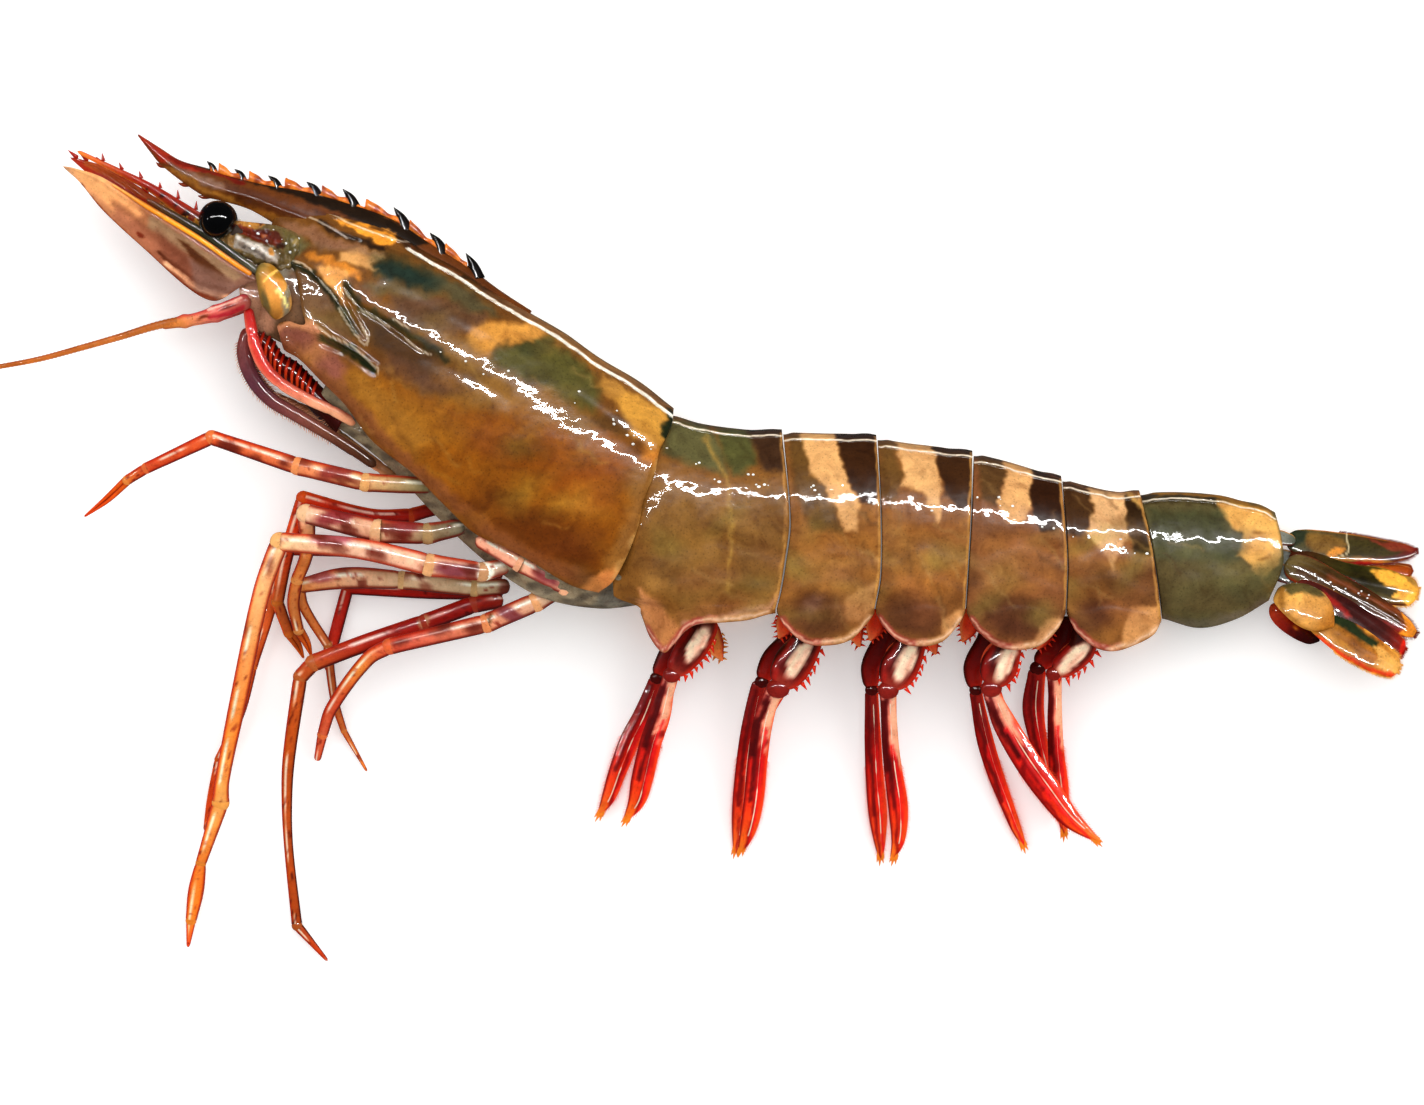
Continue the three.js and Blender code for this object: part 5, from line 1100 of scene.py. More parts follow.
# ---------------------------------------------------------------- tail fan
FAN = {
    "telson": {
        "thickness": 1.8, "tones": ["7a6a44", "5a4420", "4a3414", "5c3016", "b8641e"],
        "path": [[109.6, -13.4, 8.4, 3.6], [113, -14.6, 8.6, 4.6], [118, -17.4, 8.8, 4.6],
                 [124, -20.6, 8.6, 4.2], [129, -23.6, 8.2, 2.8], [131, -24.9, 8.0, 1.0]],
        "upper": "9c3a1c", "lower": "8c1c1c",
        "ridges": [(0.02, 0.05, 0.3), (-0.4, 0.04, 0.2), (0.45, 0.04, 0.2)],
        "marks": [
            stroke([(112, -14.6), (116.6, -16.4), (120.5, -18.3), (124.4, -20.8), (127.4, -22.8)], 0.8,
                   "5a3a18", 0.8, 0.8),
            stroke([(116.6, -15.4), (120.5, -17.4), (124.4, -19.6), (128, -21.3)], 0.4, "93502a", 0.8, 0.6),
            stroke([(118, -19.3), (122, -21.3), (125.4, -23), (128.4, -24.2)], 0.45, "8c1c20", 0.8, 0.6),
            patch([(128, -20.6), (129.8, -20.2), (131, -24.5), (130, -25.7), (127.8, -24.6), (129, -23.3)],
                  "ea9a30", 0.98, 0.35),
        ],
    },
    "exopod_right": {
        "thickness": 1.2, "tones": ["454a30", "6a5a38", "54452a", "5a3418", "7a1c10"],
        "path": [[109.8, -9.4, 5.2, 2.6], [113, -10.2, 5.0, 4.4], [119, -10.9, 4.6, 4.6],
                 [125, -11.4, 4.2, 3.7], [129, -11.5, 3.9, 2.4], [131.2, -11.3, 3.8, 0.7]],
        "upper": "6a2010", "lower": "d88a28",
        "ridges": [(0.1, 0.05, 0.25)],
        "marks": [
            patch([(109, -7.8), (113, -7.9), (113, -9.7), (110.6, -11), (109.3, -10.2)], "39402e", 0.95,
                  0.5),
            patch([(113, -8.4), (116, -8.6), (119, -9.4), (119.6, -10.2), (117.5, -11.6), (114.6, -11.8),
                   (113, -10.5)], "8a6833", 0.9, 0.6),
            patch([(116.3, -11.7), (118, -10.8), (119.2, -10.9), (118.9, -11.7), (117.8, -12.3)],
                  "d8943f", 0.95, 0.3),
            patch([(119.8, -9.5), (123, -9.7), (125.4, -10.2), (130, -11.2), (128, -11.9), (123, -12.4),
                   (119.8, -12.2)], "4a4220", 0.9, 0.5),
            patch([(123, -9.5), (128, -10), (130.3, -11), (130, -11.7), (127.4, -11.4)], "93402c", 0.8,
                  0.4),
            stroke([(119.5, -8.6), (119.8, -10.4), (119.4, -11.8), (118.2, -12.5)], 0.12, "d8c8a4", 0.85,
                   0.15),
            stroke([(110.6, -12.4), (115.6, -13.4), (120.5, -13.7), (125, -13.2)], 0.5, "a81c10", 0.9, 0.5),
            stroke([(116, -12.7), (120.5, -12.7), (124.4, -13), (130.3, -13.4)], 0.35, "c08a35", 0.8, 0.5),
        ],
    },
    "endopod_right": {
        "thickness": 1.2, "tones": ["5a2a14", "4a3a10", "3a3a10", "5a4a14", "dca858"],
        "path": [[110.4, -12.0, 6.4, 2.2], [114, -13.2, 6.7, 3.6], [119.5, -15.6, 6.8, 4.8],
                 [125.5, -16.9, 6.4, 5.4], [130, -17.9, 5.8, 4.2], [131.4, -18.3, 5.6, 1.8]],
        "upper": "5a2410", "lower": "e0982c",
        "ridges": [(0.0, 0.05, 0.3)],
        "marks": [
            patch([(118, -14.4), (123, -14.4), (125.4, -16.4), (128, -17.7), (127, -18.8), (123, -17.4),
                   (119.5, -15.4)], "3a320c", 0.9, 0.5),
            patch([(123.3, -14.3), (125.4, -14.2), (128.6, -15.3), (131, -17.4), (131.8, -20.6),
                   (129.8, -20.6),
                   (128, -19.2), (126.8, -18.6), (128, -17.6), (125, -16.4)], "ecb04a", 0.98, 0.35),
            spot(122.2, -15.9, 0.9, 0.5, -20, "201a06", 0.8, 0.7),
        ],
    },
    "endopod_left": {
        "thickness": 1.2, "tones": ["6a2a20", "52201c", "4a1c18", "52201c", "b02a14"],
        "path": [[111.6, -16.4, 10.4, 2.2], [115.4, -18.6, 10.8, 3.4], [120, -21.6, 10.8, 4.4],
                 [125.0, -25.1, 10.4, 4.6], [127.9, -27.1, 9.8, 3.6], [128.9, -27.8, 9.6, 1.6]],
        # the pale grey upper edge is a painted highlight
        "upper": "a8a0a8", "lower": "f0b03c",
        "ridges": [(-0.1, 0.05, 0.3), (0.5, 0.05, 0.3)],
        "marks": [
            patch([(115.6, -17.6), (118, -19.3), (120.5, -21.8), (119.5, -22), (116.8, -19.8)],
                  "a2291f", 0.9, 0.4),
            patch([(127.5, -28.6), (128.6, -25.6), (130, -26.4), (129, -29.4)], "d62a10", 0.98, 0.3),
            stroke([(123.7, -25.6), (125.4, -26.8), (127.4, -28.2), (128.6, -29)], 0.4, "eab252", 0.95,
                   0.5),
        ],
    },
    "exopod_left": {
        "thickness": 1.3, "tones": ["a8702c", "b07a2e", "9a6426", "b87828", "dca456"],
        "path": [[113.0, -21.0, 12.0, 3.0], [116.0, -23.0, 12.6, 4.6], [120, -25.6, 12.8, 5.6],
                 [124.2, -28.2, 12.4, 5.0], [127.2, -29.8, 11.8, 3.6], [128.2, -30.3, 11.6, 1.6]],
        "upper": "e0a03c", "lower": "d83a14",
        "ridges": [(-0.05, 0.05, 0.3)],
        "marks": [
            patch([(116, -20.4), (118.5, -21.3), (124.4, -26), (123.7, -27), (121, -25), (117, -22.8)],
                  "2c3a20", 0.95, 0.4),
            patch([(114, -24.2), (116.6, -24.5), (119.5, -26.2), (122, -28.4), (118, -27.4), (115.6, -26)],
                  "bf8838", 0.9, 0.5),
            patch([(123.3, -26.3), (125.4, -27), (128.4, -29.9), (127.8, -31.1), (125.4, -30.6),
                   (123.9, -29), (124.7, -28.2)], "dfaa5c", 0.98, 0.3),
            stroke([(114.6, -25.1), (119.5, -28.5), (123, -30.2), (127, -31.4)], 0.35, "d2481f", 0.95, 0.5),
            stroke([(122.6, -23.7), (125.4, -25.9), (128.8, -28.6)], 0.3, "f0b048", 0.95, 0.25),
        ],
    },
}
# the courses of the highlights on the telson, beside which pale droplets are strewn
TELSON_HIGHLIGHT_COURSES = [[(113.6, -15.2), (117, -16.2), (121, -18), (126.6, -20.6)],
              [(115.6, -17.2), (118.4, -19.6), (122, -22.6)]]
# the grey skin that joins the last segment to the fan, and the red fringe under the upper blade
FAN_EXTRAS = {
    "exopod_right": [
        ([[105.8, -9.4, 6.6, 2.0], [108.6, -9.2, 6.6, 2.8], [111.4, -9.8, 6.2, 1.8]], 0.5,
         ["6c706c", "a0a096", "5c6054"]),
        ([[107, -12.2, 6.2, 2.6], [110, -12.6, 6.0, 3.2], [112.6, -13.6, 5.8, 1.6]], 0.5,
         ["5c6060", "8a8c86", "4c4c40"]),
        ([[111, -12.2, 3.6, 1.6], [117, -13.3, 3.2, 2.2], [124, -14.0, 2.8, 2.8],
          [130.4, -14.6, 2.6, 2.4]], 0.9,
         ["c82a10", "d8300e", "a84014", "c07020", "8a3c10"]),
    ],
    "telson": [
        ([[106.8, -14.6, 8.2, 2.4], [109.6, -15, 8.6, 3.4], [112.4, -16.6, 8.8, 2.0]], 0.7,
         ["5c6060", "7e8480", "585c50"]),
    ],
    "endopod_right": [
        ([[118, -13.4, 5.4, 1.2], [124, -13.9, 4.8, 2.4], [130, -14.9, 4.4, 2.2]], 0.8,
         ["7a2c0c", "b8641a", "a04a12"]),
    ],
}
UROPOD_BASES = {
    "uropod_base_left": {
        "tones": ["8a6a3a", "cf9c50", "dfaa60", "cc9650", "c8822c"],
        "path": [[108.8, -17.2, 9.6, 3.0], [110.6, -18.4, 12.4, 6.4], [113.6, -20.6, 13.6, 7.6],
                 [116.2, -22.4, 13.6, 5.4], [117.4, -23.4, 13.4, 2.4]],
        "marks": [
            patch([(108.4, -14.6), (112.4, -15.2), (114.6, -16.6), (116, -18.6), (114, -18.6),
                   (112.2, -17.8), (110.2, -18.4), (109, -17.4)], "5d5431", 0.9, 0.5),
            stroke([(108.7, -17.6), (109.2, -20.8), (111.6, -23.3), (114.6, -24.4), (117, -23.8)],
                   0.4, "9a6a2a", 0.7, 0.6),
        ],
    },
    "uropod_base_right": {
        "tones": ["c0502c", "9c2a14", "5a0e06", "300500"],
        "path": [[107.4, -20.0, 5.4, 2.4], [109.2, -21.7, 5.0, 4.0], [111.8, -23.6, 4.6, 4.2],
                 [114.2, -25.2, 4.4, 3.0], [115.3, -25.8, 4.4, 1.2]],
        "marks": [spot(111.4, -23.6, 0.5, 0.3, -20, "d98a2a", 0.9, 0.6)],
    },
}


# ---------------------------------------------------------------- head
head_half = profile([(-68, 3.4), (-62, 4.6), (-56, 5.4), (-50, 5.8)])
soft_section = profile([(0, 0), (0.06, 0.55), (0.22, 0.88), (0.5, 1), (0.8, 0.85), (1, 0.4)])
head_front = profile([(0, -68), (0.4, -66.6), (0.75, -64.6), (1, -60.5)])
HEAD_MARKS = [
    patch([(-58.4, 42.4), (-55, 42), (-51, 41), (-50, 38), (-54, 38.6), (-57.6, 40)], "b8864a", 0.9, 0.8),
    patch([(-57.6, 40.4), (-52, 39.6), (-49.6, 37), (-52, 36.6), (-56.6, 38)], "6a2a1a", 0.9, 0.6),
    patch([(-62.4, 38.4), (-57, 38.6), (-52, 36.4), (-52.6, 34.4), (-58, 34.6), (-62, 36)], "a0988a", 0.8,
          0.8),
    patch([(-58.4, 32), (-54.4, 33), (-52, 30), (-52, 24), (-56.4, 23.2), (-58.4, 27)], "b8866a", 0.9, 0.8),
    stroke([(-55, 40.9), (-52, 40), (-49.8, 38.4)], 0.35, "dca868", 0.9, 0.4),
    spot(-50.6, 34.6, 1.4, 2.4, 10, "8a8474", 0.8, 0.8),
]


def head_capsule(body):
    """The soft head under the horn, and the knobbly mass beside the eye."""
    def along(u, v):
        return mix(head_front(v), -51.0, u)

    def at(u, v):
        return tilted(along(u, v), mix(10.8, -3.6, v))

    points, faces = two_sided(
        at, lambda u, v: head_half(along(u, v)) * soft_section(v), midline,
        np.linspace(0, 1, 60), np.linspace(0, 1, 60),
        raised=lambda p: 0.3 * wander(p.reshape(-1, 3), 4.0, 8).reshape(p.shape[:-1]) - 0.25)
    body.add(points, faces, painted(points, "7a5a40", HEAD_MARKS, 41, 0.25))
    # the wet, knobbly mass between the eye, the scale and the carapace
    path = follow([(-70.5, 44.4, 12.8, 1.2), (-66, 42, 13.4, 2.6), (-61.6, 39.6, 14.0, 4.6),
                   (-57, 38.2, 14.6, 6.4), (-52.6, 37, 15.0, 7.6), (-48, 36, 15.0, 6.4)], 150)
    ring = tube(path, 96, 0.6, (0.2, 0.2))
    top = ring[..., 2] > path[:, None, 2]
    x, y = ring[..., 0], ring[..., 1]
    rise_by = 0.3 * wander(ring.reshape(-1, 3), 1.5, 52).reshape(x.shape)
    for a, b, wide, tall in HEAD_KNOBS:
        rise_by = rise_by + tall * np.exp(-((x - a) ** 2 + (y - b) ** 2) / wide ** 2)
    rise_by = rise_by + relief(ring, HEAD_FOLDS)
    ring[..., 2] += np.where(top, rise_by, 0)
    add_rings(body, ring, "74603a", HEAD_MASS_MARKS, 53, 0.2)


HEAD_KNOBS = [(-57.4, 42, 0.7, 0.9), (-56.2, 41.2, 0.6, 0.7), (-58, 40.8, 0.6, 0.6),
              (-54.8, 40.2, 0.6, 0.6),
              (-52.4, 38.8, 0.6, 0.7), (-51.2, 37.6, 0.8, 0.9), (-49.2, 38.6, 0.8, 0.7),
              (-48.4, 36.6, 0.9, 0.6),
              (-52.6, 36.2, 0.7, 0.5), (-63.4, 41, 0.6, 0.6), (-66, 42.2, 0.6, 0.5), (-68, 43.2, 0.5, 0.5)]
HEAD_FOLDS = [([(-57.8, 38.4), (-54.8, 37), (-51.8, 35.2)], 0.7, 0.8),
              ([(-57.4, 39.8), (-54.4, 38.6), (-51.6, 37)], 0.4, -0.7),
              ([(-60.4, 37), (-56.4, 35.2), (-53.4, 33.6)], 0.4, -0.6),
              ([(-58.6, 40.6), (-55, 40.6), (-52, 39)], 0.4, -0.4),
              ([(-50.4, 39.8), (-49.8, 37.8), (-49.6, 35.4)], 0.35, -0.6)]
HEAD_MASS_MARKS = [
    patch([(-71, 45), (-66, 43.4), (-63.6, 42), (-63.8, 40), (-66.4, 41), (-70.6, 43.4)], "c8862c", 0.9,
          0.4),
    patch([(-64, 41.6), (-58, 38.8), (-57, 36.6), (-60, 36.4), (-64, 38.8)], "a07a48", 0.9, 0.5),
    patch([(-58.4, 43), (-55, 42.4), (-53.6, 40.8), (-55.4, 40), (-58.2, 40.4)], "c88e44", 0.95, 0.4),
    patch([(-58, 40.8), (-54, 39.9), (-51.2, 38.4), (-50.8, 36.8), (-53.6, 37.8), (-57.6, 39.4)], "7a2a14",
          0.95, 0.4),
    patch([(-55.6, 40.4), (-51.8, 39.6), (-50.6, 38.2), (-52.6, 38.8), (-55, 39.6)], "5a1c10", 0.8, 0.3),
    patch([(-58, 39.2), (-54, 37.7), (-51.4, 36.2), (-51.6, 34.6), (-55, 35.6), (-58.4, 37.4)], "b8aca0",
          0.95, 0.35),
    # a painted highlight along the ridge of the grey glassy piece
    stroke([(-57.8, 38.6), (-54.8, 37.2), (-52, 35.6)], 0.28, "e4dcd2", 0.9, 0.2),
    stroke([(-57, 37.4), (-55, 36.5), (-53.4, 35.6)], 0.2, "7c7068", 0.8, 0.2),
    patch([(-50.8, 40.2), (-47.4, 38.4), (-45.6, 35.4), (-48.4, 34.6), (-50.4, 36.4)], "6e6036", 0.95, 0.5),
    spot(-51.2, 37.4, 0.7, 0.5, 0, "3a1c0c", 0.9, 0.3), spot(-48.6, 38, 0.6, 0.5, 0, "a08850", 0.8, 0.3),
    spot(-54.4, 41.2, 0.5, 0.3, -30, "5a2c12", 0.9, 0.2),
    spot(-56.8, 41.4, 0.4, 0.3, 0, "e8b468", 0.9, 0.2),
    spot(-52.4, 36.4, 0.5, 0.3, -30, "d8923c", 0.9, 0.2),
    spot(-53.4, 38.9, 0.35, 0.2, 0, "d07a3a", 0.9, 0.2),
    spot(-65.2, 41.6, 0.4, 0.3, 0, "7a3010", 0.9, 0.2), spot(-67, 42.6, 0.35, 0.3, 0, "8a3412", 0.9, 0.2),
]
# x, y of droplets of water that stand on the head, coloured near white as painted glints
HEAD_BEAD_GLINTS = [(-52, 36.6), (-51.2, 36.2), (-50.8, 38.4), (-50.2, 37.8), (-49.4, 36.4), (-48.2, 38.6),
              (-47.8, 37.2), (-53.2, 38.2), (-54.6, 39.4), (-56, 40.6), (-57.6, 41.6),
              (-49.8, 34.4), (-49.2, 33.9), (-55.4, 37), (-60.2, 38), (-63, 40.2), (-65.6, 41.2),
              (-48.6, 39.6), (-52.2, 40)]


def bead_glints(body, places, around, seed, small=0.1, big=0.25):
    """Droplets of water on a surface: small domes coloured near white as painted glints, standing where the
    given points are highest.
    """
    rng = np.random.default_rng(seed)
    for x, y in places:
        size = rng.uniform(small, big)
        near = around[(abs(around[:, 0] - x) < 0.9) & (abs(around[:, 1] - y) < 0.9)]
        if len(near):
            near = near[near[:, 2] > near[:, 2].max() - 2]
            close = near[np.argmin((near[:, 0] - x) ** 2 + (near[:, 1] - y) ** 2)]
            # near white: a painted glint on each droplet
            ball(body, (x, y, close[2]), (size * rng.uniform(1, 1.5), size, size * 0.7), "fbf6ec")


EYE = (-61.1, 41.6)  # x and y of its middle
EYE_RADIUS = 3.08
# how far the paired parts of the head stand from the middle plane
EYE_ASIDE, SCALE_ASIDE, SCALE_ROOT_ASIDE, SMALL_FEELER_ASIDE = 4.3, 4.6, 5.4, 1.7


def eyeball(body, side):
    """A stalked compound eye: a black glossy ball on a short grey stalk."""
    z = CARAPACE_MIDDLE + side * EYE_ASIDE
    u = np.linspace(0, math.pi, 40)
    v = angles(64)
    ring = np.stack([EYE[0] + EYE_RADIUS * np.sin(u)[:, None] * np.cos(v)[None],
                     EYE[1] + EYE_RADIUS * np.sin(u)[:, None] * np.sin(v)[None],
                     z + EYE_RADIUS * np.cos(u)[:, None] * np.ones(64)[None]], -1)
    add_rings(body, ring[1:-1], "08080a")
    path = follow([(-56.8, 38.4, z - side * 1.8, 2.5), (-58.2, 39.5, z - side * 1.0, 2.3),
                   (-60, 41, z - side * 0.4, 2.9)], 24)
    add_rings(body, tube(path, 20, 0.85), "4a3c34", kind=1)


SCALE_MARKS = {
    1: [
        patch([(-85, 50.4), (-81, 49.6), (-76, 46), (-73, 42.6), (-75.4, 41), (-80, 45), (-83.4, 47.8)],
              "e2aa78", 0.95, 1.2),
        patch([(-72, 42.6), (-64, 37.4), (-57, 32.6), (-58.4, 31.6), (-65, 35.2), (-72.4, 40.2)], "a08468",
              0.9, 0.8),
        stroke([(-77.6, 44.2), (-72, 39.6), (-66.4, 35.2), (-60, 31.2)], 0.5, "7a4a34", 0.5, 1.2),
        stroke([(-83, 47.2), (-79.5, 42.8), (-72.5, 36.4), (-65.5, 30.4), (-61.6, 28.8)], 0.25, "7a3418",
               0.8, 0.4),
        patch([(-77, 43.6), (-71, 38.8), (-66, 34.8), (-63.4, 31.6), (-66.8, 31.6), (-72, 36.4), (-78, 42)],
              "a87058", 0.7, 1.6),
        spot(-73.4, 39.2, 0.7, 0.35, -30, "7a3018", 0.8, 0.3),
        patch([(-67.4, 38.6), (-63.6, 36), (-58.8, 31.4), (-61.4, 31.8), (-65, 34.8)], "5e3418", 0.9, 0.5),
        stroke([(-69.4, 34.8), (-65.6, 31.6), (-62, 29.8), (-59.6, 29.4)], 0.4, "eec09a", 0.9, 0.3),
        stroke([(-70.4, 36.4), (-66, 32.8), (-62.4, 30.8), (-60, 30.6)], 0.3, "5a2a12", 0.85, 0.3),
        patch([(-71, 40), (-66, 36), (-63, 31), (-65.6, 31.4), (-70, 36.2)], "865440", 0.7, 1.6),
        patch([(-66, 35.6), (-60, 32.6), (-57.6, 31), (-61.4, 29), (-64.6, 30.6)], "8a6a5e", 0.8, 1.0),
    ],
    -1: [
        stroke([(-53.6, 33.7), (-59.8, 36.7), (-68.6, 43.1), (-73.4, 45.9), (-82, 50.7)], 0.6, "b06a34",
               0.8, 0.4),
    ],
}


def antennal_scale(body, side):
    """The long plate outside the feeler, with a stiff golden outer edge that ends in a spine."""
    dx, dy = (0, 0) if side > 0 else (1.0, 1.5)
    z = CARAPACE_MIDDLE + side * SCALE_ASIDE
    outer = follow([(-54.6, 32.2, 0), (-59, 35.4, 0), (-64, 38.9, 0), (-72.5, 44, 0), (-79.6, 48.4, 0),
                    (-84.2, 49.9, 0), (-85.9, 50.2, 0)], 110)
    inner = follow([(-57.5, 30.8, 0), (-61.5, 28.6, 0), (-65.5, 30.4, 0), (-72.5, 36.6, 0),
                    (-79.5, 43.1, 0), (-83.2, 47.6, 0), (-85.6, 49.8, 0)], 110)
    i = np.linspace(0, 6, 110)
    outer[:, 2] = z + side * (0.6 - i * 0.25)
    inner[:, 2] = z + side * (0.6 - 1.4 - i * 0.25)
    shift = np.array([dx, dy, 0])
    share = np.concatenate([np.linspace(0, 1, 31), np.linspace(1, 0, 31)[1:-1]])
    top = np.concatenate([np.ones(31), -np.ones(29)])
    swell = 0.55 * np.sqrt(np.clip(share * 3, 0, 1)) * (1 - 0.75 * share)
    swell = swell + 0.35 * np.exp(-((share - 0.16) / 0.07) ** 2)
    swell = swell - 0.1 * np.exp(-((share - 0.3) / 0.06) ** 2)
    ring = mix(outer[:, None], inner[:, None], share[None, :, None]) + shift
    taper = 1 - 0.75 * rise(np.linspace(0, 1, 110), 0.8, 1)
    ring[..., 2] += top[None] * (swell[None] + 0.05) * taper[:, None]
    tones = ["8e6c5c", "946650", "a87454", "b88460", "dcae88"] if side > 0 else [
        "7a3a2a", "8a3a28", "8a3020", "9c3422", "a84028"]
    add_rings(body, ring, graded(ring, tones), SCALE_MARKS[side], 51, 0.1)
    if side > 0:
        # the stiff golden rib along the outer edge, and the dark flange above it
        rib = follow(ring[4:92:8, 1] + [0.1, -0.1, 0.35], 120)
        wide = 0.85 * (1 - 0.5 * rise(np.linspace(0, 1, 120), 0.7, 1))
        rib_ring = tube(np.concatenate([rib, wide[:, None]], 1), 14, 0.8, (0.4, 0.4))
        add_rings(body, rib_ring, graded(rib_ring, ["d89030", "f8b03c", "f4a834", "eca040", "e8ac70"],
                                         "8a5418", "c07820", 0.6))
        flange = follow(ring[2:74:8, 0] + [0.45, 0.6, -0.35], 100)
        wide = 1.5 * np.sin(np.linspace(0.5, math.pi - 0.2, 100)) ** 0.5
        flange_ring = tube(np.concatenate([flange, wide[:, None]], 1), 14, 0.6, (0.4, 0.4))
        tones = ["6c6a58", "4a4a3a", "3c3c2e", "54442e", "7a4a28"]
        add_rings(body, flange_ring, graded(flange_ring, tones))
    if side < 0:
        rng = np.random.default_rng(6)
        for place in (0.5, 0.62, 0.74, 0.84, 0.92, 0.97):
            root = ring[int(place * 109), 0]
            tip = root + np.array([-1.6, 1.3 + rng.uniform(0, 0.5), rng.uniform(-0.4, 0.4)])
            path = follow([(*root, 0.9), (*mix(root, tip, 0.5), 0.55), (*tip, 0.1)], 10)
            add_rings(body, tube(path, 8, 0.8, (0.3, 0)), "a8301c")


SCALE_BASE = [(-54.2, 34.6, 2.6), (-52.6, 31.4, 4.6), (-51.6, 28.0, 4.8), (-51.8, 25.6, 2.2)]
SCALE_BASE_MARKS = [spot(-50, 28.6, 0.6, 3, -8, "8a8474", 0.9, 0.4),
                    spot(-53.4, 28, 0.6, 2.2, 10, "6a5c3c", 0.9, 0.5),
                    spot(-51.4, 33.4, 1.8, 1.2, -40, "9c7428", 0.8, 0.8),
                    # two painted highlights on the golden oval
                    stroke([(-51.6, 30.6), (-50.4, 29.2), (-50, 27.6)], 0.25, "ffdc98", 0.9, 0.2),
                    stroke([(-53.6, 31.6), (-52.6, 33), (-51, 33.6)], 0.2, "e8c070", 0.9, 0.2)]
FEELER = [[-55.8, 28.9, 16.2, 2.6], [-60.0, 27.2, 16.4, 2.5], [-64.2, 25.9, 16.0, 1.7],
          [-70.4, 24.8, 15.0, 1.3], [-76.8, 22.9, 13.6, 1.1], [-83.2, 21.1, 12.0, 1.0],
          [-89.6, 19.4, 10.2, 0.9], [-96.0, 18.2, 8.4, 0.8], [-104.0, 16.9, 6.2, 0.75],
          [-113.0, 15.2, 4.2, 0.7], [-122.0, 13.2, 2.6, 0.65], [-131.0, 10.8, 1.4, 0.55]]
FEELER_STUB = [[-55.8, 28.6, 7.8, 2.6], [-60.0, 27.0, 7.6, 2.5], [-64.2, 25.8, 7.4, 1.7],
               [-70.4, 24.7, 6.8, 1.2]]
ANTENNULE_SPOTS = [(-66.4, 42.4, 0.7), (-70.2, 45.4, 0.4), (-67.9, 44, 0.4), (-64.6, 41.2, 0.5),
                   (-72.4, 46.4, 0.3), (-62.4, 40.2, 0.4)]
ANTENNULE = [(-56.6, 36.6, 2.6), (-62.0, 40.0, 2.6), (-67.0, 43.4, 2.2), (-72.0, 46.8, 1.4),
             (-77.5, 49.6, 1.0), (-83.6, 52.6, 0.6)]


def feeler_limb(body, path):
    """The antenna: three thick joints and a tapering whip of fine rings."""
    base = follow([path[0], path[1], (*path[2][:3], 1.9), (*path[3][:3], 1.3)], 80)
    run = np.linspace(0, 1, 80)
    base[:, 3] *= 1 + 0.16 * np.exp(-((run - 0.4) / 0.05) ** 2) + 0.3 * np.exp(-((run - 0.74) / 0.05) ** 2)
    ring = tube(base, 22, 0.85, (0.4, 0.3))
    marks = [spot(-59.6, 27.5, 0.3, 1.3, -70, "5a1c18", 0.8, 0.3),
             spot(-63.4, 26, 0.25, 1.1, -70, "6a3018", 0.8, 0.3),
             # a painted highlight along the base
             stroke([(-57.6, 28.9), (-60.4, 27.9), (-62.6, 27.2)], 0.22, "f4d0c0", 0.8, 0.2),
             stroke([(-57, 27.4), (-60, 26.4), (-62.4, 25.9)], 0.35, "a82838", 0.8, 0.4)]
    add_rings(body, ring, graded(ring, ["8a5248", "c06a60", "cc7468", "d08a68", "c8864c", "b87038"],
                                 "b03040", None, 0.6), marks)
    whip = follow(path[2:], 420 if len(path) > 5 else 60)
    whip[:, 3] *= 1 + 0.05 * np.sin(np.arange(len(whip)) * 2 * math.pi / 4)
    ring = tube(whip, 12, 0.95, (0.5, 0.5))
    add_rings(body, ring, graded(ring, ["b0703c", "b8743a", "b06a30", "b06a30", "a05c2a"], "8a4a22",
                                 "c88a50", 0.5))


# ---------------------------------------------------------------- mouth
FEEDING = {
    "maxilliped_left": {
        "tones": ["c23230", "c43a34", "cc4a40", "c85a4c", "d0806a", "dc9c80", "e0a888", "d89a78"],
        "path": [[-56.3, 27.6, 15.2, 1.6], [-55.7, 24.2, 16.2, 1.9], [-55.0, 21.1, 16.8, 2.0],
                 [-53.6, 18.1, 17.0, 2.0], [-50.9, 15.4, 17.0, 1.9], [-46.9, 13.0, 16.6, 1.8],
                 [-42.6, 11.0, 16.0, 1.7], [-39.0, 9.0, 15.4, 1.6]],
    },
    "maxilliped_right": {
        "tones": ["8a5a42", "a87858", "c09a72", "b88a64", "a87a58", "8a6a4a"],
        "path": [[-52.4, 13.4, 9.4, 1.7], [-47.5, 11.2, 10.2, 1.8], [-44.2, 8.9, 11.0, 1.9],
                 [-39.5, 5.2, 12.0, 1.9], [-34.9, 1.8, 12.6, 1.8], [-31.6, -0.6, 13.0, 1.7]],
    },
    "mouth_lobe_left": {
        "tones": ["8a4a44", "7a4a4a", "6e4450", "7a4a4a", "8a5a50", "7a5040", "6a4634", "5c4030"],
        "path": [[-56.4, 24.4, 13.6, 1.8], [-56.9, 20.4, 13.8, 2.4], [-55.6, 16.4, 14.0, 2.4],
                 [-52.8, 13.0, 14.2, 2.3], [-48.9, 10.6, 14.4, 2.2], [-44.7, 8.1, 14.6, 2.0],
                 [-39.6, 4.9, 14.8, 1.8], [-35.8, 2.2, 14.8, 1.6]],
    },
    "mouth_lobe_right": {
        "tones": ["7a4040", "6e4450", "6a4048", "6e4450", "6a4438", "5c4030", "503828"],
        "path": [[-56.2, 24.4, 8.4, 1.8], [-56.7, 20.4, 8.0, 2.3], [-55.3, 16.4, 7.6, 2.3],
                 [-52.4, 13.0, 7.2, 2.2], [-48.3, 10.4, 7.0, 2.0], [-43.6, 7.4, 7.0, 1.9],
                 [-38.8, 4.2, 7.2, 1.7]],
    },
}


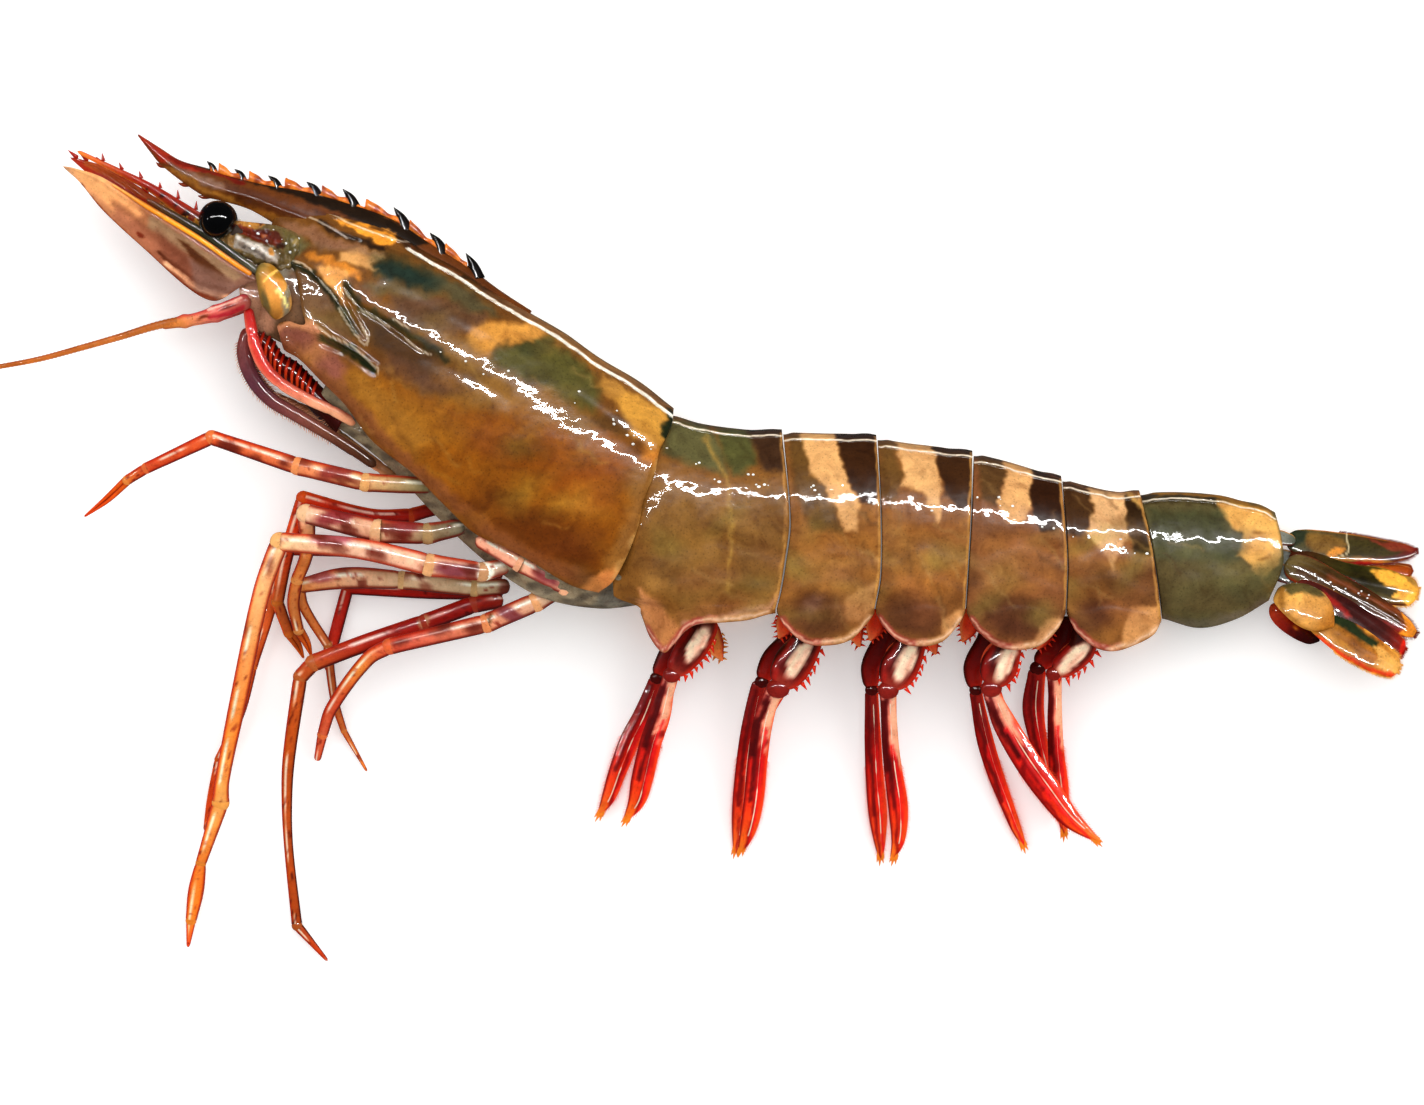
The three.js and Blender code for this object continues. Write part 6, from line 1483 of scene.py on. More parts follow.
def feeding_limb(body, name):
    """A mouth limb, or a fringed lobe of the mouth."""
    shape = FEEDING[name]
    ring = tube(follow(shape["path"], 120), 18, 0.8, (0.5, 0.5))
    joints = 1 - 0.12 * np.exp(-((np.linspace(0, 3.0, 120) % 1.0 - 0.5) / 0.05) ** 2)
    centre = ring.mean(1, keepdims=True)
    if "maxilliped" in name:
        ring = centre + (ring - centre) * joints[:, None, None]
    add_rings(body, ring, graded(ring, shape["tones"], "e8b090" if "maxilliped" in name else None,
                                 "9a3a34" if name == "maxilliped_left" else None, 0.5))
    if "lobe" in name:
        edges = [fringe_of(ring, 0.08, 0.75, side, 60, 0.2, seed) for side, seed in ((9, 7), (0, 8))]
        add_bristles(body, edges, "c8957a", 1.1, 0.12, 4)


def jaw_parts(body):
    """The dark mouth with its comb."""
    def along(u):
        return mix(-59.5, -41.0, u)

    def at(u, v):
        s = along(u)
        return tilted(s, mix(lower_edge(s) - 0.6, lower_edge(s) - mix(3.6, 5.2, u), v))

    points, faces = two_sided(at, lambda u, v: 3.6 * soft_section(v), midline,
                              np.linspace(0, 1, 50), np.linspace(0, 1, 36))
    body.add(points, faces, painted(points, "5c0c06", [
        spot(-45, 9, 6, 2, -35, "3a1a12", 0.8, 2), spot(-53, 18, 2, 3, 0, "7a1208", 0.7, 1)], 9, 0.3))
    # a comb of slender teeth across the mouth
    for i in range(11):
        s = mix(-58.6, -47.5, i / 10)
        x0, y0 = tilted(s, lower_edge(s) - 0.4)
        x1, y1 = tilted(s + 1.2, lower_edge(s) - 4.4)
        path = follow([(x0, y0, 14.6, 0.5), ((x0 + x1) / 2 - 0.3, (y0 + y1) / 2, 16.0, 0.55),
                       (x1, y1, 15.4, 0.3)], 18)
        ring = tube(path, 8, 0.9, (0.5, 0.5))
        add_rings(body, ring, graded(ring, ["7a1408", "b8401c", "c85a2c"]))


# ---------------------------------------------------------------- breast
breast_under = profile([(-48, -11.0), (-38, -12.0), (-30, -13.8), (-19.9, -17.3), (-9.5, -20.1),
                        (0, -21.0), (9.2, -18.4), (15.8, -14.2)])
breast_half = profile([(-48, 4.0), (-35, 5.6), (-20, 7.2), (0, 8.4), (10, 8.4), (16, 7.6)])
breast_section = profile([(0, 0), (0.04, 0.9), (0.3, 1), (0.6, 0.92), (0.85, 0.74), (1, 0.45)])


def breast_plates(body):
    """The grooved underside between the walking legs."""
    def along(u):
        return mix(-46.0, 15.5, u)

    def at(u, v):
        s = along(u)
        top = mix(back_line(s) - crest_height(s), lower_edge(s), CEILING) - 0.6
        return tilted(s, mix(top, breast_under(s), v))

    def raised(p):
        waves = 0.5 * np.sin(p[..., 0] * 2 * math.pi / 5.2 + 0.6 * p[..., 1])
        grain = wander(p.reshape(-1, 3), 2.4, 17).reshape(p.shape[:-1])
        return -0.35 + 0.3 * waves + 0.25 * grain

    points, faces = two_sided(at, lambda u, v: breast_half(along(u)) * breast_section(v), midline,
                              np.linspace(0, 1, 170), np.linspace(0, 1, 60), raised=raised)
    colour = painted(points, "94846a", [
        patch([(-36, -4), (-26, -10), (-16, -16), (-8, -18), (-12, -21), (-24, -16), (-36, -9)],
              "a89c86", 0.8, 2.0),
        patch([(2, -16), (10, -18), (12, -23), (4, -24), (-2, -22)], "6e6a60", 0.8, 2.0),
    ], 61, 0.4)
    dark = np.clip(wander(points, 3.0, 19) * 0.6, 0, 0.6)[:, None]
    body.add(points, faces, mix(colour, srgb("4c4238"), dark))


# ---------------------------------------------------------------- legs
LEG_SEED = 1028  # the first leg's; each further one has 9 more
LEGS = {
    "leg_1_left": {
        "chela": True, "joints": [2, 3, 4, 5],
        "pale": True, "upper": "b02c10", "lower": "6e140c", "knob": "e0b880",
        "tones": ["6a6a48", "94805a", "cc9c6c", "d0764c", "c84c1c", "b83810", "c8681c", "cc5016"],
        "path": [[-25.6, -1.0, 15.6, 2.4], [-32.0, -0.7, 17.4, 2.7], [-37.4, -0.4, 18.4, 2.8],
                 [-48.3, 2.2, 17.0, 2.7], [-62.1, 6.8, 14.0, 2.2], [-72.6, 1.9, 10.0, 1.7],
                 [-75.7, 0.0, 8.6, 1.5], [-82.7, -5.9, 5.0, 0.6]],
        "marks": [spot(-42, 1.4, 3.2, 1.2, 14, "8a3a34", 0.85, 0.8)],
    },
    "leg_2_left": {
        "chela": True, "joints": [1, 2, 3, 5],
        "pale": True, "upper": "9c2414", "lower": "6a1410", "knob": "d8b888",
        "tones": ["6c6858", "7a6448", "c89a80", "dcb49c", "c87838", "b86a2c", "a8602a", "b06428", "b85a20"],
        "path": [[-22.1, -7.5, 17.0, 2.7], [-27.5, -8.6, 18.0, 3.2], [-35.4, -8.2, 17.6, 3.6],
                 [-47.0, -5.4, 14.8, 2.9], [-46.9, -11.5, 12.0, 2.1], [-48.5, -16.0, 10.4, 1.9],
                 [-49.1, -19.8, 9.0, 1.9], [-48.3, -24.0, 7.0, 1.6], [-46.2, -28.3, 5.0, 0.6]],
        "marks": [spot(-42.4, -6, 3.2, 1.1, 8, "8a3438", 0.85, 0.8),
                  spot(-35.2, -7.8, 0.4, 1.8, 0, "5c4a20", 0.9, 0.3),
                  spot(-31.4, -7.6, 2.6, 0.9, 0, "8a3438", 0.8, 0.8)],
    },
    "leg_3_left": {
        "chela": False, "joints": [1, 2, 4, 8, 9, 11],
        "pale": True, "upper": "b83414", "lower": "9a2c14", "knob": "c8a060",
        "tones": ["a8a08c", "b48c80", "d8a890", "dcb098", "e0ae84", "e09c64", "dc8844", "dc7c28", "e09850",
                  "d0701c", "dc7014", "e07818", "cc3c10"],
        "path": [[-15.0, -13.8, 15.8, 2.6], [-18.9, -14.7, 17.4, 2.9], [-27.2, -13.6, 18.8, 3.4],
                 [-38.4, -11.0, 18.4, 3.2], [-51.2, -9.9, 15.6, 2.9], [-54.1, -17.9, 13.4, 2.7],
                 [-57.9, -35.2, 9.0, 2.6], [-60.5, -48.0, 6.4, 2.2], [-60.8, -51.7, 5.6, 2.6],
                 [-64.0, -61.4, 3.6, 1.6], [-64.8, -65.9, 2.8, 2.4], [-65.6, -70.6, 2.0, 1.6],
                 [-66.1, -74.9, 1.0, 0.5]],
        "marks": [spot(-42.4, -9.4, 3.6, 1.0, 5, "a8606a", 0.85, 0.8),
                  spot(-27.6, -13.4, 0.4, 1.8, 0, "5c3e20", 0.9, 0.3),
                  spot(-23, -14.4, 3.4, 1.1, -6, "80404a", 0.85, 0.8),
                  spot(-18.4, -14.6, 1.5, 1.6, 0, "e8ead8", 0.9, 0.6)],
    },
    "leg_4_left": {
        "chela": False, "joints": [1, 2, 3, 6],
        "pale": True, "upper": "a82814", "lower": "6c180c", "knob": "dca060",
        "tones": ["a89880", "c8a088", "cc8468", "b8402c", "d07c2c", "b43c1a", "c05030", "b84422"],
        "path": [[-6.4, -17.3, 13.6, 2.9], [-10.2, -19.5, 13.8, 3.0], [-18.1, -22.9, 13.6, 2.9],
                 [-33.6, -26.6, 12.2, 2.5], [-37.1, -28.6, 10.6, 2.2], [-43.0, -36.5, 6.0, 1.9],
                 [-44.5, -40.8, 4.0, 1.6], [-45.4, -45.0, 2.0, 1.1]],
        "marks": [spot(-14.4, -21.4, 2.4, 1.0, -24, "80404a", 0.8, 0.8),
                  spot(-17.8, -22.8, 0.35, 1.6, -20, "5c4020", 0.9, 0.3)],
    },
    "leg_5_left": {
        "chela": False, "joints": [1, 2],
        "pale": True, "upper": "a02818", "lower": "741c14", "knob": "e0b890",
        "tones": ["b06050", "d49c84", "d89c84", "d89880"],
        "path": [[-0.6, -17.9, 15.4, 2.6], [-5.4, -17.0, 17.0, 2.9], [-12.8, -13.3, 18.0, 2.7],
                 [-19.8, -9.3, 18.6, 2.4]],
        "marks": [spot(-8.6, -15.6, 2.4, 0.9, -26, "8a4048", 0.8, 0.8),
                  spot(-12.6, -13.6, 0.35, 1.4, -26, "5c4020", 0.9, 0.3)],
    },
    "leg_1_right": {
        "chela": True, "joints": [1, 3, 5],
        "pale": False, "upper": "c85a24", "lower": "5a0c0a", "knob": "c87c34",
        "tones": ["7a2018", "8c1c16", "9a1e16", "b83c18", "c04a20", "a86a34", "a05a28", "b86020"],
        "path": [[-24.5, -4.0, 8.6, 2.2], [-30.1, -5.6, 8.6, 2.1], [-36.6, -5.6, 8.6, 2.0],
                 [-47.5, -2.9, 8.8, 2.2], [-50.2, -12.0, 7.0, 2.1], [-51.7, -19.5, 5.6, 1.9],
                 [-49.9, -24.5, 4.6, 1.6], [-47.5, -28.6, 3.4, 0.6]],
    },
    "leg_2_right": {
        "chela": False, "joints": [1, 2, 4, 6, 8],
        "pale": True, "upper": "a03018", "lower": "6e1c10", "knob": "c8a068",
        "tones": ["9c8c74", "a89478", "c0a688", "c89c7e", "c07438", "b46428", "a85420", "a04c1c", "b0541c",
                  "d07018"],
        "path": [[-14.9, -17.0, 9.6, 2.6], [-20.0, -17.3, 9.8, 2.7], [-31.7, -16.0, 9.4, 2.7],
                 [-40.8, -15.7, 8.6, 3.3], [-48.3, -17.0, 7.0, 2.1], [-47.5, -20.2, 5.6, 1.6],
                 [-43.7, -26.4, 3.8, 1.4], [-42.6, -35.2, 2.2, 1.3], [-41.1, -40.2, 1.5, 1.0],
                 [-37.4, -46.7, 0.7, 0.4]],
        "marks": [spot(-44.6, -15.6, 2, 0.9, 4, "a0585a", 0.8, 0.8)],
    },
    "leg_3_right": {
        "chela": False, "joints": [1, 3, 5, 7],
        "pale": False, "upper": "c8641e", "lower": "801c10", "knob": "c87830",
        "tones": ["7a1c14", "8a1c16", "a0281c", "b85024", "c06c34", "b8602c", "b85a24", "b4501c", "b84c18",
                  "c05818"],
        "path": [[-16.0, -15.0, 5.6, 2.4], [-20.8, -14.7, 5.0, 2.2], [-35.2, -11.7, 4.2, 2.1],
                 [-50.7, -10.9, 3.6, 2.1], [-52.5, -19.2, 3.0, 1.8], [-55.8, -29.9, 2.8, 1.6],
                 [-57.6, -37.1, 2.6, 1.4], [-61.1, -44.8, 2.0, 1.4], [-62.4, -51.2, 1.4, 1.3],
                 [-63.4, -56.3, 0.8, 0.6]],
    },
    "leg_4_right": {
        "chela": False, "joints": [1, 2, 4, 5, 9],
        "pale": False, "upper": "a8301e", "lower": "4a0a0a", "knob": "b87a50",
        "tones": ["7a2820", "841a18", "8c1c1a", "9c2c20", "a85a28", "b0602a", "a85818", "a4541a", "a05018",
                  "9a4c14", "b8420e"],
        "path": [[-16.0, -19.2, 9.4, 2.7], [-20.0, -19.8, 9.4, 2.7], [-28.0, -22.8, 9.0, 2.6],
                 [-38.4, -26.4, 8.4, 2.7], [-45.9, -29.3, 8.0, 2.6], [-48.0, -31.5, 7.4, 2.2],
                 [-49.9, -44.8, 5.4, 1.9], [-50.2, -52.0, 4.4, 1.6], [-49.9, -59.2, 3.4, 1.4],
                 [-48.6, -71.4, 2.0, 1.6], [-43.7, -77.1, 0.9, 0.5]],
        "marks": [spot(-28.2, -22.7, 0.8, 1.2, -20, "c09a78", 0.8, 0.5)],
    },
    "leg_5_right": {
        "chela": False, "joints": [1, 3],
        "pale": False, "upper": "a82a1c", "lower": "4a0808", "knob": "b06a40",
        "tones": ["5a1410", "7c1614", "a02018", "a8241a", "a8281a", "b03a1c"],
        "path": [[-16.0, -17.9, 5.6, 2.4], [-20.0, -17.9, 4.6, 2.4], [-27.2, -17.9, 3.4, 2.2],
                 [-40.5, -17.3, 1.9, 1.9], [-42.9, -26.4, 1.4, 1.8], [-43.8, -30.7, 1.1, 1.1]],
    },
}


def ball(body, centre, radii, colour):
    """A small ellipsoid, lying along the axes."""
    u = np.linspace(0.12, math.pi - 0.12, 10)
    v = angles(16)
    ring = np.stack([np.sin(u)[:, None] * np.cos(v)[None], np.sin(u)[:, None] * np.sin(v)[None],
                     np.cos(u)[:, None] * np.ones(16)[None]], -1)
    add_rings(body, np.asarray(centre) + ring * np.asarray(radii), colour)


def freckles(path, per_mm, size, colour, seed):
    """Marks scattered along a limb's path."""
    rng = np.random.default_rng(seed)
    path = follow(path, 200)
    count = int(strides(path).sum() * per_mm)
    made = []
    for i in rng.integers(0, 200, count):
        x, y, _, wide = path[i]
        turn = math.degrees(math.atan2(*(path[min(i + 1, 199), 1::-1] - path[max(i - 1, 0), 1::-1])))
        made.append(spot(x + rng.normal(0, 0.18) * wide, y + rng.normal(0, 0.18) * wide,
                         size * rng.uniform(0.8, 2.2), size * rng.uniform(0.5, 0.9), turn, colour,
                         rng.uniform(0.35, 0.8), 0.5 * size + 0.1))
    return made


def jointed_leg(body, shape, seed):
    """A walking leg: a cuffed tube from each joint to the next, with a knuckle between them."""
    path = np.asarray(shape["path"], float)
    path[1:-1, 3] *= 1.06
    last = len(path) - 1
    tones = shape["tones"] + shape["tones"][-1:] * (last + 1 - len(shape["tones"]))
    marks = list(shape.get("marks", ()))
    # the second colour is a painted sheen for the middle of the upper face
    dots, light = ("7a2418", "f0dcc0") if shape["pale"] else ("4a0c08", "e06a48")
    if shape["pale"]:
        marks += freckles(path[:len(path) // 2 + 1], 0.2, 0.95, "6a2a1e", seed)
    marks += freckles(path, 0.55, 0.2, dots, seed + 1)
    stops = [0, *shape["joints"], last - 1 if shape["chela"] else last]
    for i, j in zip(stops, stops[1:]):
        first, final = i == 0, j == last
        part = path[i:j + 1].copy()
        begin, end = unit(part[1, :3] - part[0, :3]), unit(part[-1, :3] - part[-2, :3])
        part[0, :3] -= begin * 0.2 * part[0, 3]
        if not final:
            part[-1, :3] += end * 0.12 * part[-1, 3]
        line = follow(part, 20 + 12 * (j - i))
        length = strides(line).sum()
        t = np.linspace(0, 1, len(line))
        near, far = part[0, 3] / length, part[-1, 3] / length
        line[:, 3] *= 1 - 0.16 * (1 - rise(t, 0, 0.7 * near)) + (
            0 if final else 0.08 * np.exp(-((1 - t) / (0.4 * far)) ** 2))
        ring = tube(line, 20, 0.86, (0.25, 0.4 if final else 0.25))
        colour = graded(ring, tones[i:j + 1], shape["upper"], shape["lower"], 0.95, 0.56)
        around = angles(20)
        # painted sheen: the middle of the limb's upper face is paler
        top_sheen = np.maximum(np.sin(around), 0) ** 3
        colour = mix(colour, srgb(light), 0.22 * top_sheen[None, :, None])
        # a painted highlight: a pale line along the limb, broken in places
        highlight_at = np.exp(-((around - math.radians(108)) / 0.15) ** 2)
        broken = rise(wander(line[:, :3], 8.0, seed + 3), -0.35, 0.45)
        colour = mix(colour, srgb("fff6ea"), 0.7 * (highlight_at[None] * broken[:, None])[..., None])
        cuff = (0 if final else 0.4) * np.exp(-((1 - t) / (0.3 * far)) ** 2)
        colour = mix(colour, srgb(shape["knob"]), cuff[:, None, None])
        seam = (0 if first else 0.75) * (1 - rise(t, 0, 0.25 * near))
        colour = mix(colour, srgb(dots), seam[:, None, None])
        add_rings(body, ring, colour, marks, seed + i, 0.1)
        if not final:
            x, y, z, wide = path[j]
            tone = mix(srgb(tones[j]), srgb(shape["knob"]), 0.45)
            ball(body, (x, y, max(z, wide / 2)), (wide * 0.53, wide * 0.53, wide * 0.45), tone)
    if shape["chela"]:
        palm, tip = path[last - 1], path[last]
        way = unit(np.array([tip[0] - palm[0], tip[1] - palm[1], 0]))
        aside = np.array([-way[1], way[0], 0])
        for side in (1, -1):
            foot = palm[:3] + aside * side * 0.24 * palm[3] - way * 0.3
            middle = mix(palm[:3], tip[:3], 0.5) + aside * (side * 0.2 + 0.14) * palm[3]
            finger = follow([(*foot, palm[3] * 0.56), (*middle, palm[3] * 0.4),
                             (*(tip[:3] + aside * side * 0.06), 0.2)], 30)
            ring = tube(finger, 14, 0.85, (0.4, 0.3))
            add_rings(body, ring, graded(ring, [tones[last - 1], tones[last]], shape["upper"],
                                         shape["lower"], 0.7, 0.5))


# ---------------------------------------------------------------- swimming legs
SWIMMERS = [
    {"left": {"lobes": [(17.6, -24.0, 2.0, -5.0, "c88a48")],
              "thigh": [[16.3, -24.0, 4.8], [14.4, -27.2, 5.1], [11.5, -31.2, 3.2]],
              "blade": [[11.0, -32.3, 2.4], [9.6, -37.6, 3.4], [8.0, -42.4, 3.5], [6.7, -48.0, 3.5],
                        [5.8, -51.5, 2.7], [3.8, -54.7, 0.5]], "heights": [14.8, 14.6, 9.4]},
     "right": {"thigh": [[14.4, -24.3, 4.2], [11.5, -27.5, 3.8], [9.1, -31.7, 2.6]],
               "blade": [[8.6, -33.0, 2.4], [6.7, -37.8, 3.0], [4.8, -41.6, 3.2], [2.9, -46.4, 2.9],
                         [1.3, -50.9, 2.2], [-0.3, -53.8, 0.5]], "heights": [6.4, 5.4, 2.4]}},
    {"left": {"lobes": [(30.2, -21.4, -1.6, -4.0, "d84a24"), (40.2, -21.4, 1.4, -5.4, "c8401c")],
              "thigh": [[33.0, -25.9, 5.1], [30.7, -29.6, 6.2], [28.5, -33.3, 4.2]],
              "blade": [[27.5, -34.6, 2.9], [26.1, -38.7, 3.2], [25.3, -44.0, 3.2], [24.6, -51.2, 3.2],
                        [23.7, -56.0, 2.6], [22.4, -59.7, 0.8]], "heights": [14.8, 14.6, 9.4]},
     "right": {"thigh": [[30.7, -25.6, 4.2], [27.5, -28.8, 3.5], [25.9, -32.3, 2.6]],
               "blade": [[25.3, -33.6, 2.6], [24.0, -40.0, 2.9], [23.2, -45.6, 2.9], [22.6, -52.0, 2.9],
                         [22.2, -56.3, 2.2], [21.6, -60.0, 0.6]], "heights": [6.4, 5.4, 2.4]}},
    {"left": {"lobes": [(44.4, -21.6, -1.2, -4.2, "d84a24"), (52.2, -22.4, 1.6, -5.6, "c03018")],
              "thigh": [[49.6, -26.4, 5.1], [47.8, -30.1, 6.2], [46.1, -33.6, 3.8]],
              "blade": [[46.1, -34.7, 2.7], [46.4, -41.6, 2.7], [46.9, -46.4, 2.9], [47.7, -52.5, 3.2],
                        [47.7, -57.6, 2.2], [46.6, -61.0, 0.5]], "heights": [14.6, 14.4, 9.4]},
     "right": {"thigh": [[45.8, -25.6, 4.2], [43.4, -29.8, 3.2], [43.5, -33.6, 2.4]],
               "blade": [[43.5, -34.6, 2.2], [43.7, -41.6, 2.7], [44.0, -48.0, 2.9], [44.5, -53.6, 3.0],
                         [44.8, -57.9, 1.9], [45.0, -61.0, 0.5]], "heights": [6.2, 5.2, 2.4]}},
    {"left": {"lobes": [(59.6, -21.4, -1.6, -4.6, "d84a24")],
              "thigh": [[65.3, -26.4, 4.5], [63.8, -29.9, 6.0], [62.6, -33.3, 3.8]],
              "blade": [[62.9, -34.7, 2.9], [64.6, -38.7, 3.8], [67.8, -44.2, 4.2], [71.4, -49.3, 4.2],
                        [75.2, -54.1, 3.2], [80.2, -58.1, 0.5]], "heights": [14.2, 14.2, 12.0]},
     "right": {"thigh": [[62.4, -25.6, 4.2], [59.8, -29.9, 3.2], [60.2, -33.6, 2.4]],
               "blade": [[60.3, -34.7, 2.1], [61.6, -41.3, 2.7], [63.2, -46.7, 2.6], [65.0, -51.5, 2.2],
                         [66.9, -56.3, 1.6], [68.2, -58.9, 0.5]], "heights": [6.0, 5.0, 2.2]}},
    {"left": {"lobes": [(71.4, -23, -1.4, -4.2, "c83a20")],
              "thigh": [[77.1, -26.9, 4.5], [74.6, -29.4, 4.2], [72.6, -31.0, 2.9]],
              "blade": [[72.8, -32.3, 2.2], [72.8, -38.4, 2.4], [73.0, -43.5, 2.6], [73.6, -49.6, 2.9],
                        [74.1, -54.1, 1.8], [74.4, -57.1, 0.5]], "heights": [12.4, 11.6, 6.6]},
     "right": {"thigh": [[74.2, -26.4, 4.5], [71.7, -28.2, 3.8], [70.1, -30.1, 2.9]],
               "blade": [[69.9, -31.4, 2.9], [69.4, -36.5, 3.5], [70.2, -41.6, 2.9], [71.4, -46.4, 2.6],
                         [72.5, -50.9, 1.6], [73.3, -53.6, 0.5]], "heights": [5.8, 4.6, 2.0]}},
]


def swimming_leg(body, shape, near, seed):
    """A thigh and two blades, the short one inside the long one, with spines down the edges."""
    z_root, z_knee, z_tip = shape["heights"]
    thigh = shape["thigh"]
    first, _, knee = thigh
    upper = [[first[0] + 0.8, -21.8, z_root, first[2] * 0.9]] + [
        [x, y, z_root if i == 0 else z_knee, width] for i, (x, y, width) in enumerate(thigh)]
    stations = [knee] + shape["blade"]
    outer = [[x, y, mix(z_knee, z_tip, i / len(shape["blade"])), width]
             for i, (x, y, width) in enumerate(stations)]
    inner = [[x, y, z - 1.5, width * (0.3 if i == 3 else 0.72)]
             for i, (x, y, z, width) in enumerate([outer[0], outer[2], outer[4], outer[5]])]
    ring = tube(follow(upper, 60), 32, 0.55, (0.2, 0.35))
    x, y, wide = knee
    ball(body, (x, y, z_knee), (wide * 0.46, wide * 0.4, wide * 0.3), "8a2c24" if near else "5a1410")
    middle = thigh[1]
    marks = []
    if near:
        lean = math.degrees(math.atan2(first[1] - middle[1], first[0] - middle[0]))
        marks = [spot(middle[0] + 1.1, middle[1] + 0.9, 3.4, 1.25, lean, "ecd0b8", 0.97, 0.55),
                 spot(middle[0] + 1.5, middle[1] + 0.6, 2.0, 0.4, lean, "c8907c", 0.5, 0.5),
                 stroke([(first[0] - 2.2, first[1]), (middle[0] - 2.4, middle[1]),
                         (knee[0] - 1.2, knee[1])],
                        0.5, "a82c24", 0.7, 0.6)]
    tones = (["6e3022", "4a1a14", "501a16", "6a1e1a", "a84c3c"] if near
             else ["5a201a", "601412", "7e1812", "a82c1c"])
    add_rings(body, ring, graded(ring, tones, "3c0a0a", "c83a20", 0.8, 0.55), marks, seed)
    long_ring = leaf(outer, 1.2, ridges=[(-0.25, 0.1, 0.5), (0.35, 0.07, 0.4)], ends=(0.3, 0.25),
                     plate=2)
    tones = (["ecb0a0", "e07864", "cc3024", "c4261c", "dc3c1e", "ee5a22", "f88a30"] if near
             else ["a0342a", "98201e", "b8241c", "d83a22", "ea5826", "f68436"])
    marks = []
    if near:
        (x0, y0, _), (x1, y1, _), (x2, y2, _) = stations[1], stations[2], stations[3]
        marks = [patch([(x0 + 0.2, y0 + 0.4), (x0 + 1.3, y0), (x1 + 1.5, y1), (x2 + 1.3, y2),
                        (x2 + 0.2, y2 + 1.5), (x1 - 0.1, y1)], "eab094", 0.9, 0.9),
                 stroke([(x0 - 1.0, y0 - 1), (x1 - 1.0, y1), (x2 - 0.9, y2)], 0.55, "5a0c0c", 0.9, 0.7),
                 stroke([(x1 + 0.5, y1 - 3), (x2 + 0.3, y2 + 1), (x2, y2 - 3)], 0.4, "7c1010", 0.7, 0.6)]
    long_run = [(x, y) for x, y, _ in stations[1:]]
    marks += [stroke([(x - 0.5, y) for x, y in long_run[:4]], 0.34, "5a0c12" if near else "6a0e10", 0.75,
                     0.5),
              stroke([(x + 0.45, y - 1) for x, y in long_run[1:]], 0.26, "d4242a", 0.8, 0.4),
              stroke([(x - 0.15, y - 2) for x, y in long_run[2:]], 0.2, "8a1214", 0.8, 0.4)]
    add_rings(body, long_ring, graded(long_ring, tones, "74100e", "e85a2c", 0.85, 0.6), marks, seed + 1)
    short_ring = leaf(inner, 1.1, rows=50, ridges=[(0.0, 0.14, 0.5)], ends=(0.3, 0.4))
    tones = ["9a2820", "b01c16", "c82c16", "e4602a"]
    add_rings(body, short_ring, graded(short_ring, tones, "640a0a", "dc4420", 0.8, 0.5))
    for x, y, dx, dy, code in shape.get("lobes", ()):
        lobe = leaf([[x, y + 1, 9.5, 2.6], [x + 0.4 * dx, y + 0.5 * dy, 9.2, 3.0],
                     [x + dx, y + dy, 8.8, 0.4]], 0.7, rows=40, sides=20, ends=(0.3, 0.1))
        add_rings(body, lobe, graded(lobe, [code, code, "f08a5a"], "f4a878", "8a1c14", 0.7, 0.4))
        for side in (0, 10):
            add_bristles(body, [fringe_of(lobe, 0.3, 0.95, side, 6, 0.1, seed)], code, 0.9, 0.5, seed)
    if near:
        # the thin lobe at the root of the inner blade
        x, y = first[0] - 2.6, first[1] - 1.4
        lobe = leaf([[x + 1.6, y + 2.2, z_root - 2, 1.6], [x, y, z_root - 2.4, 2.6],
                     [x - 1.6, y - 2.4, z_root - 3, 1.2]], 0.7, rows=24, sides=16, ends=(0.3, 0.5))
        add_rings(body, lobe, graded(lobe, ["b8603c", "c8381c", "d8502a"], "e0805a", "8a1c14", 0.6))
    # thin pale lines down the blades: painted highlights
    for rings, place in ((long_ring, 6), (short_ring, 8)):
        glint_line = rings[6:-8, place] + [0, 0, 0.03]
        whole = rise(wander(glint_line, 6.5, seed + place), 0.05, 0.3)
        glint_line = np.concatenate([glint_line, (0.02 + 0.16 * whole)[:, None]], 1)
        add_rings(body, tube(glint_line, 6, 0.4, (0, 0)), "f0c4b0")
    # the feathered ends of the blades
    for rings in (long_ring, short_ring):
        root, way = rings[-6].mean(0), unit(rings[-6].mean(0) - rings[-16].mean(0))
        aside = np.cross(UP, way)
        for turn, reach in ((-0.32, 2.2), (-0.1, 2.8), (0.16, 2.4), (0.36, 1.6)):
            tip = root + (way + aside * turn) * reach
            tip[2] = max(tip[2], 0.3)
            feather = follow([(*(root - way * 0.8), 0.9), (*mix(root, tip, 0.5), 0.6), (*tip, 0.08)], 8)
            add_rings(body, tube(feather, 8, 0.4, (0.3, 0)), "f08a34")
    # the stiff hairs that fringe the blades, and spines down the thigh's rear edge
    edges = [fringe_of(rings, 0.45, 0.985, side, 46, 0.05, seed)
             for rings in (long_ring, short_ring) for side in (0, 14)]
    add_bristles(body, edges, "d8502c", 0.75, 0.13, seed)
    add_bristles(body, [fringe_of(ring, 0.25, 0.97, 0, 9, 0.16, seed)], "d03c1c", 1.5, 0.85, seed, 0.5)


# ---------------------------------------------------------------- properties
class StageSettings(bpy.types.PropertyGroup):
    """What the stage operator reads."""

    ground_glow: bpy.props.FloatProperty(name="Ground glow", description="Light that the ground gives off",
                                         default=0.2, min=0.0, max=1.0, subtype="FACTOR")
    room_light: bpy.props.FloatProperty(name="Room light", description="Brightness of the white tent",
                                        default=0.82, min=0.0, max=2.0, subtype="FACTOR")
    lens: bpy.props.FloatProperty(name="Lens", description="Focal length of the camera in millimetres",
                                  default=800.0, min=50.0, unit="CAMERA")


# ---------------------------------------------------------------- operators
VIEW_CENTRE = (17.92, -11.6, 12)  # mm
HALF_VIEW = 0.11392  # half the width of the view, in metres
SENSOR = 36  # the camera's sensor, in mm
MIRRORED_ROOM = 0.04  # brightness of the room that the wet film mirrors
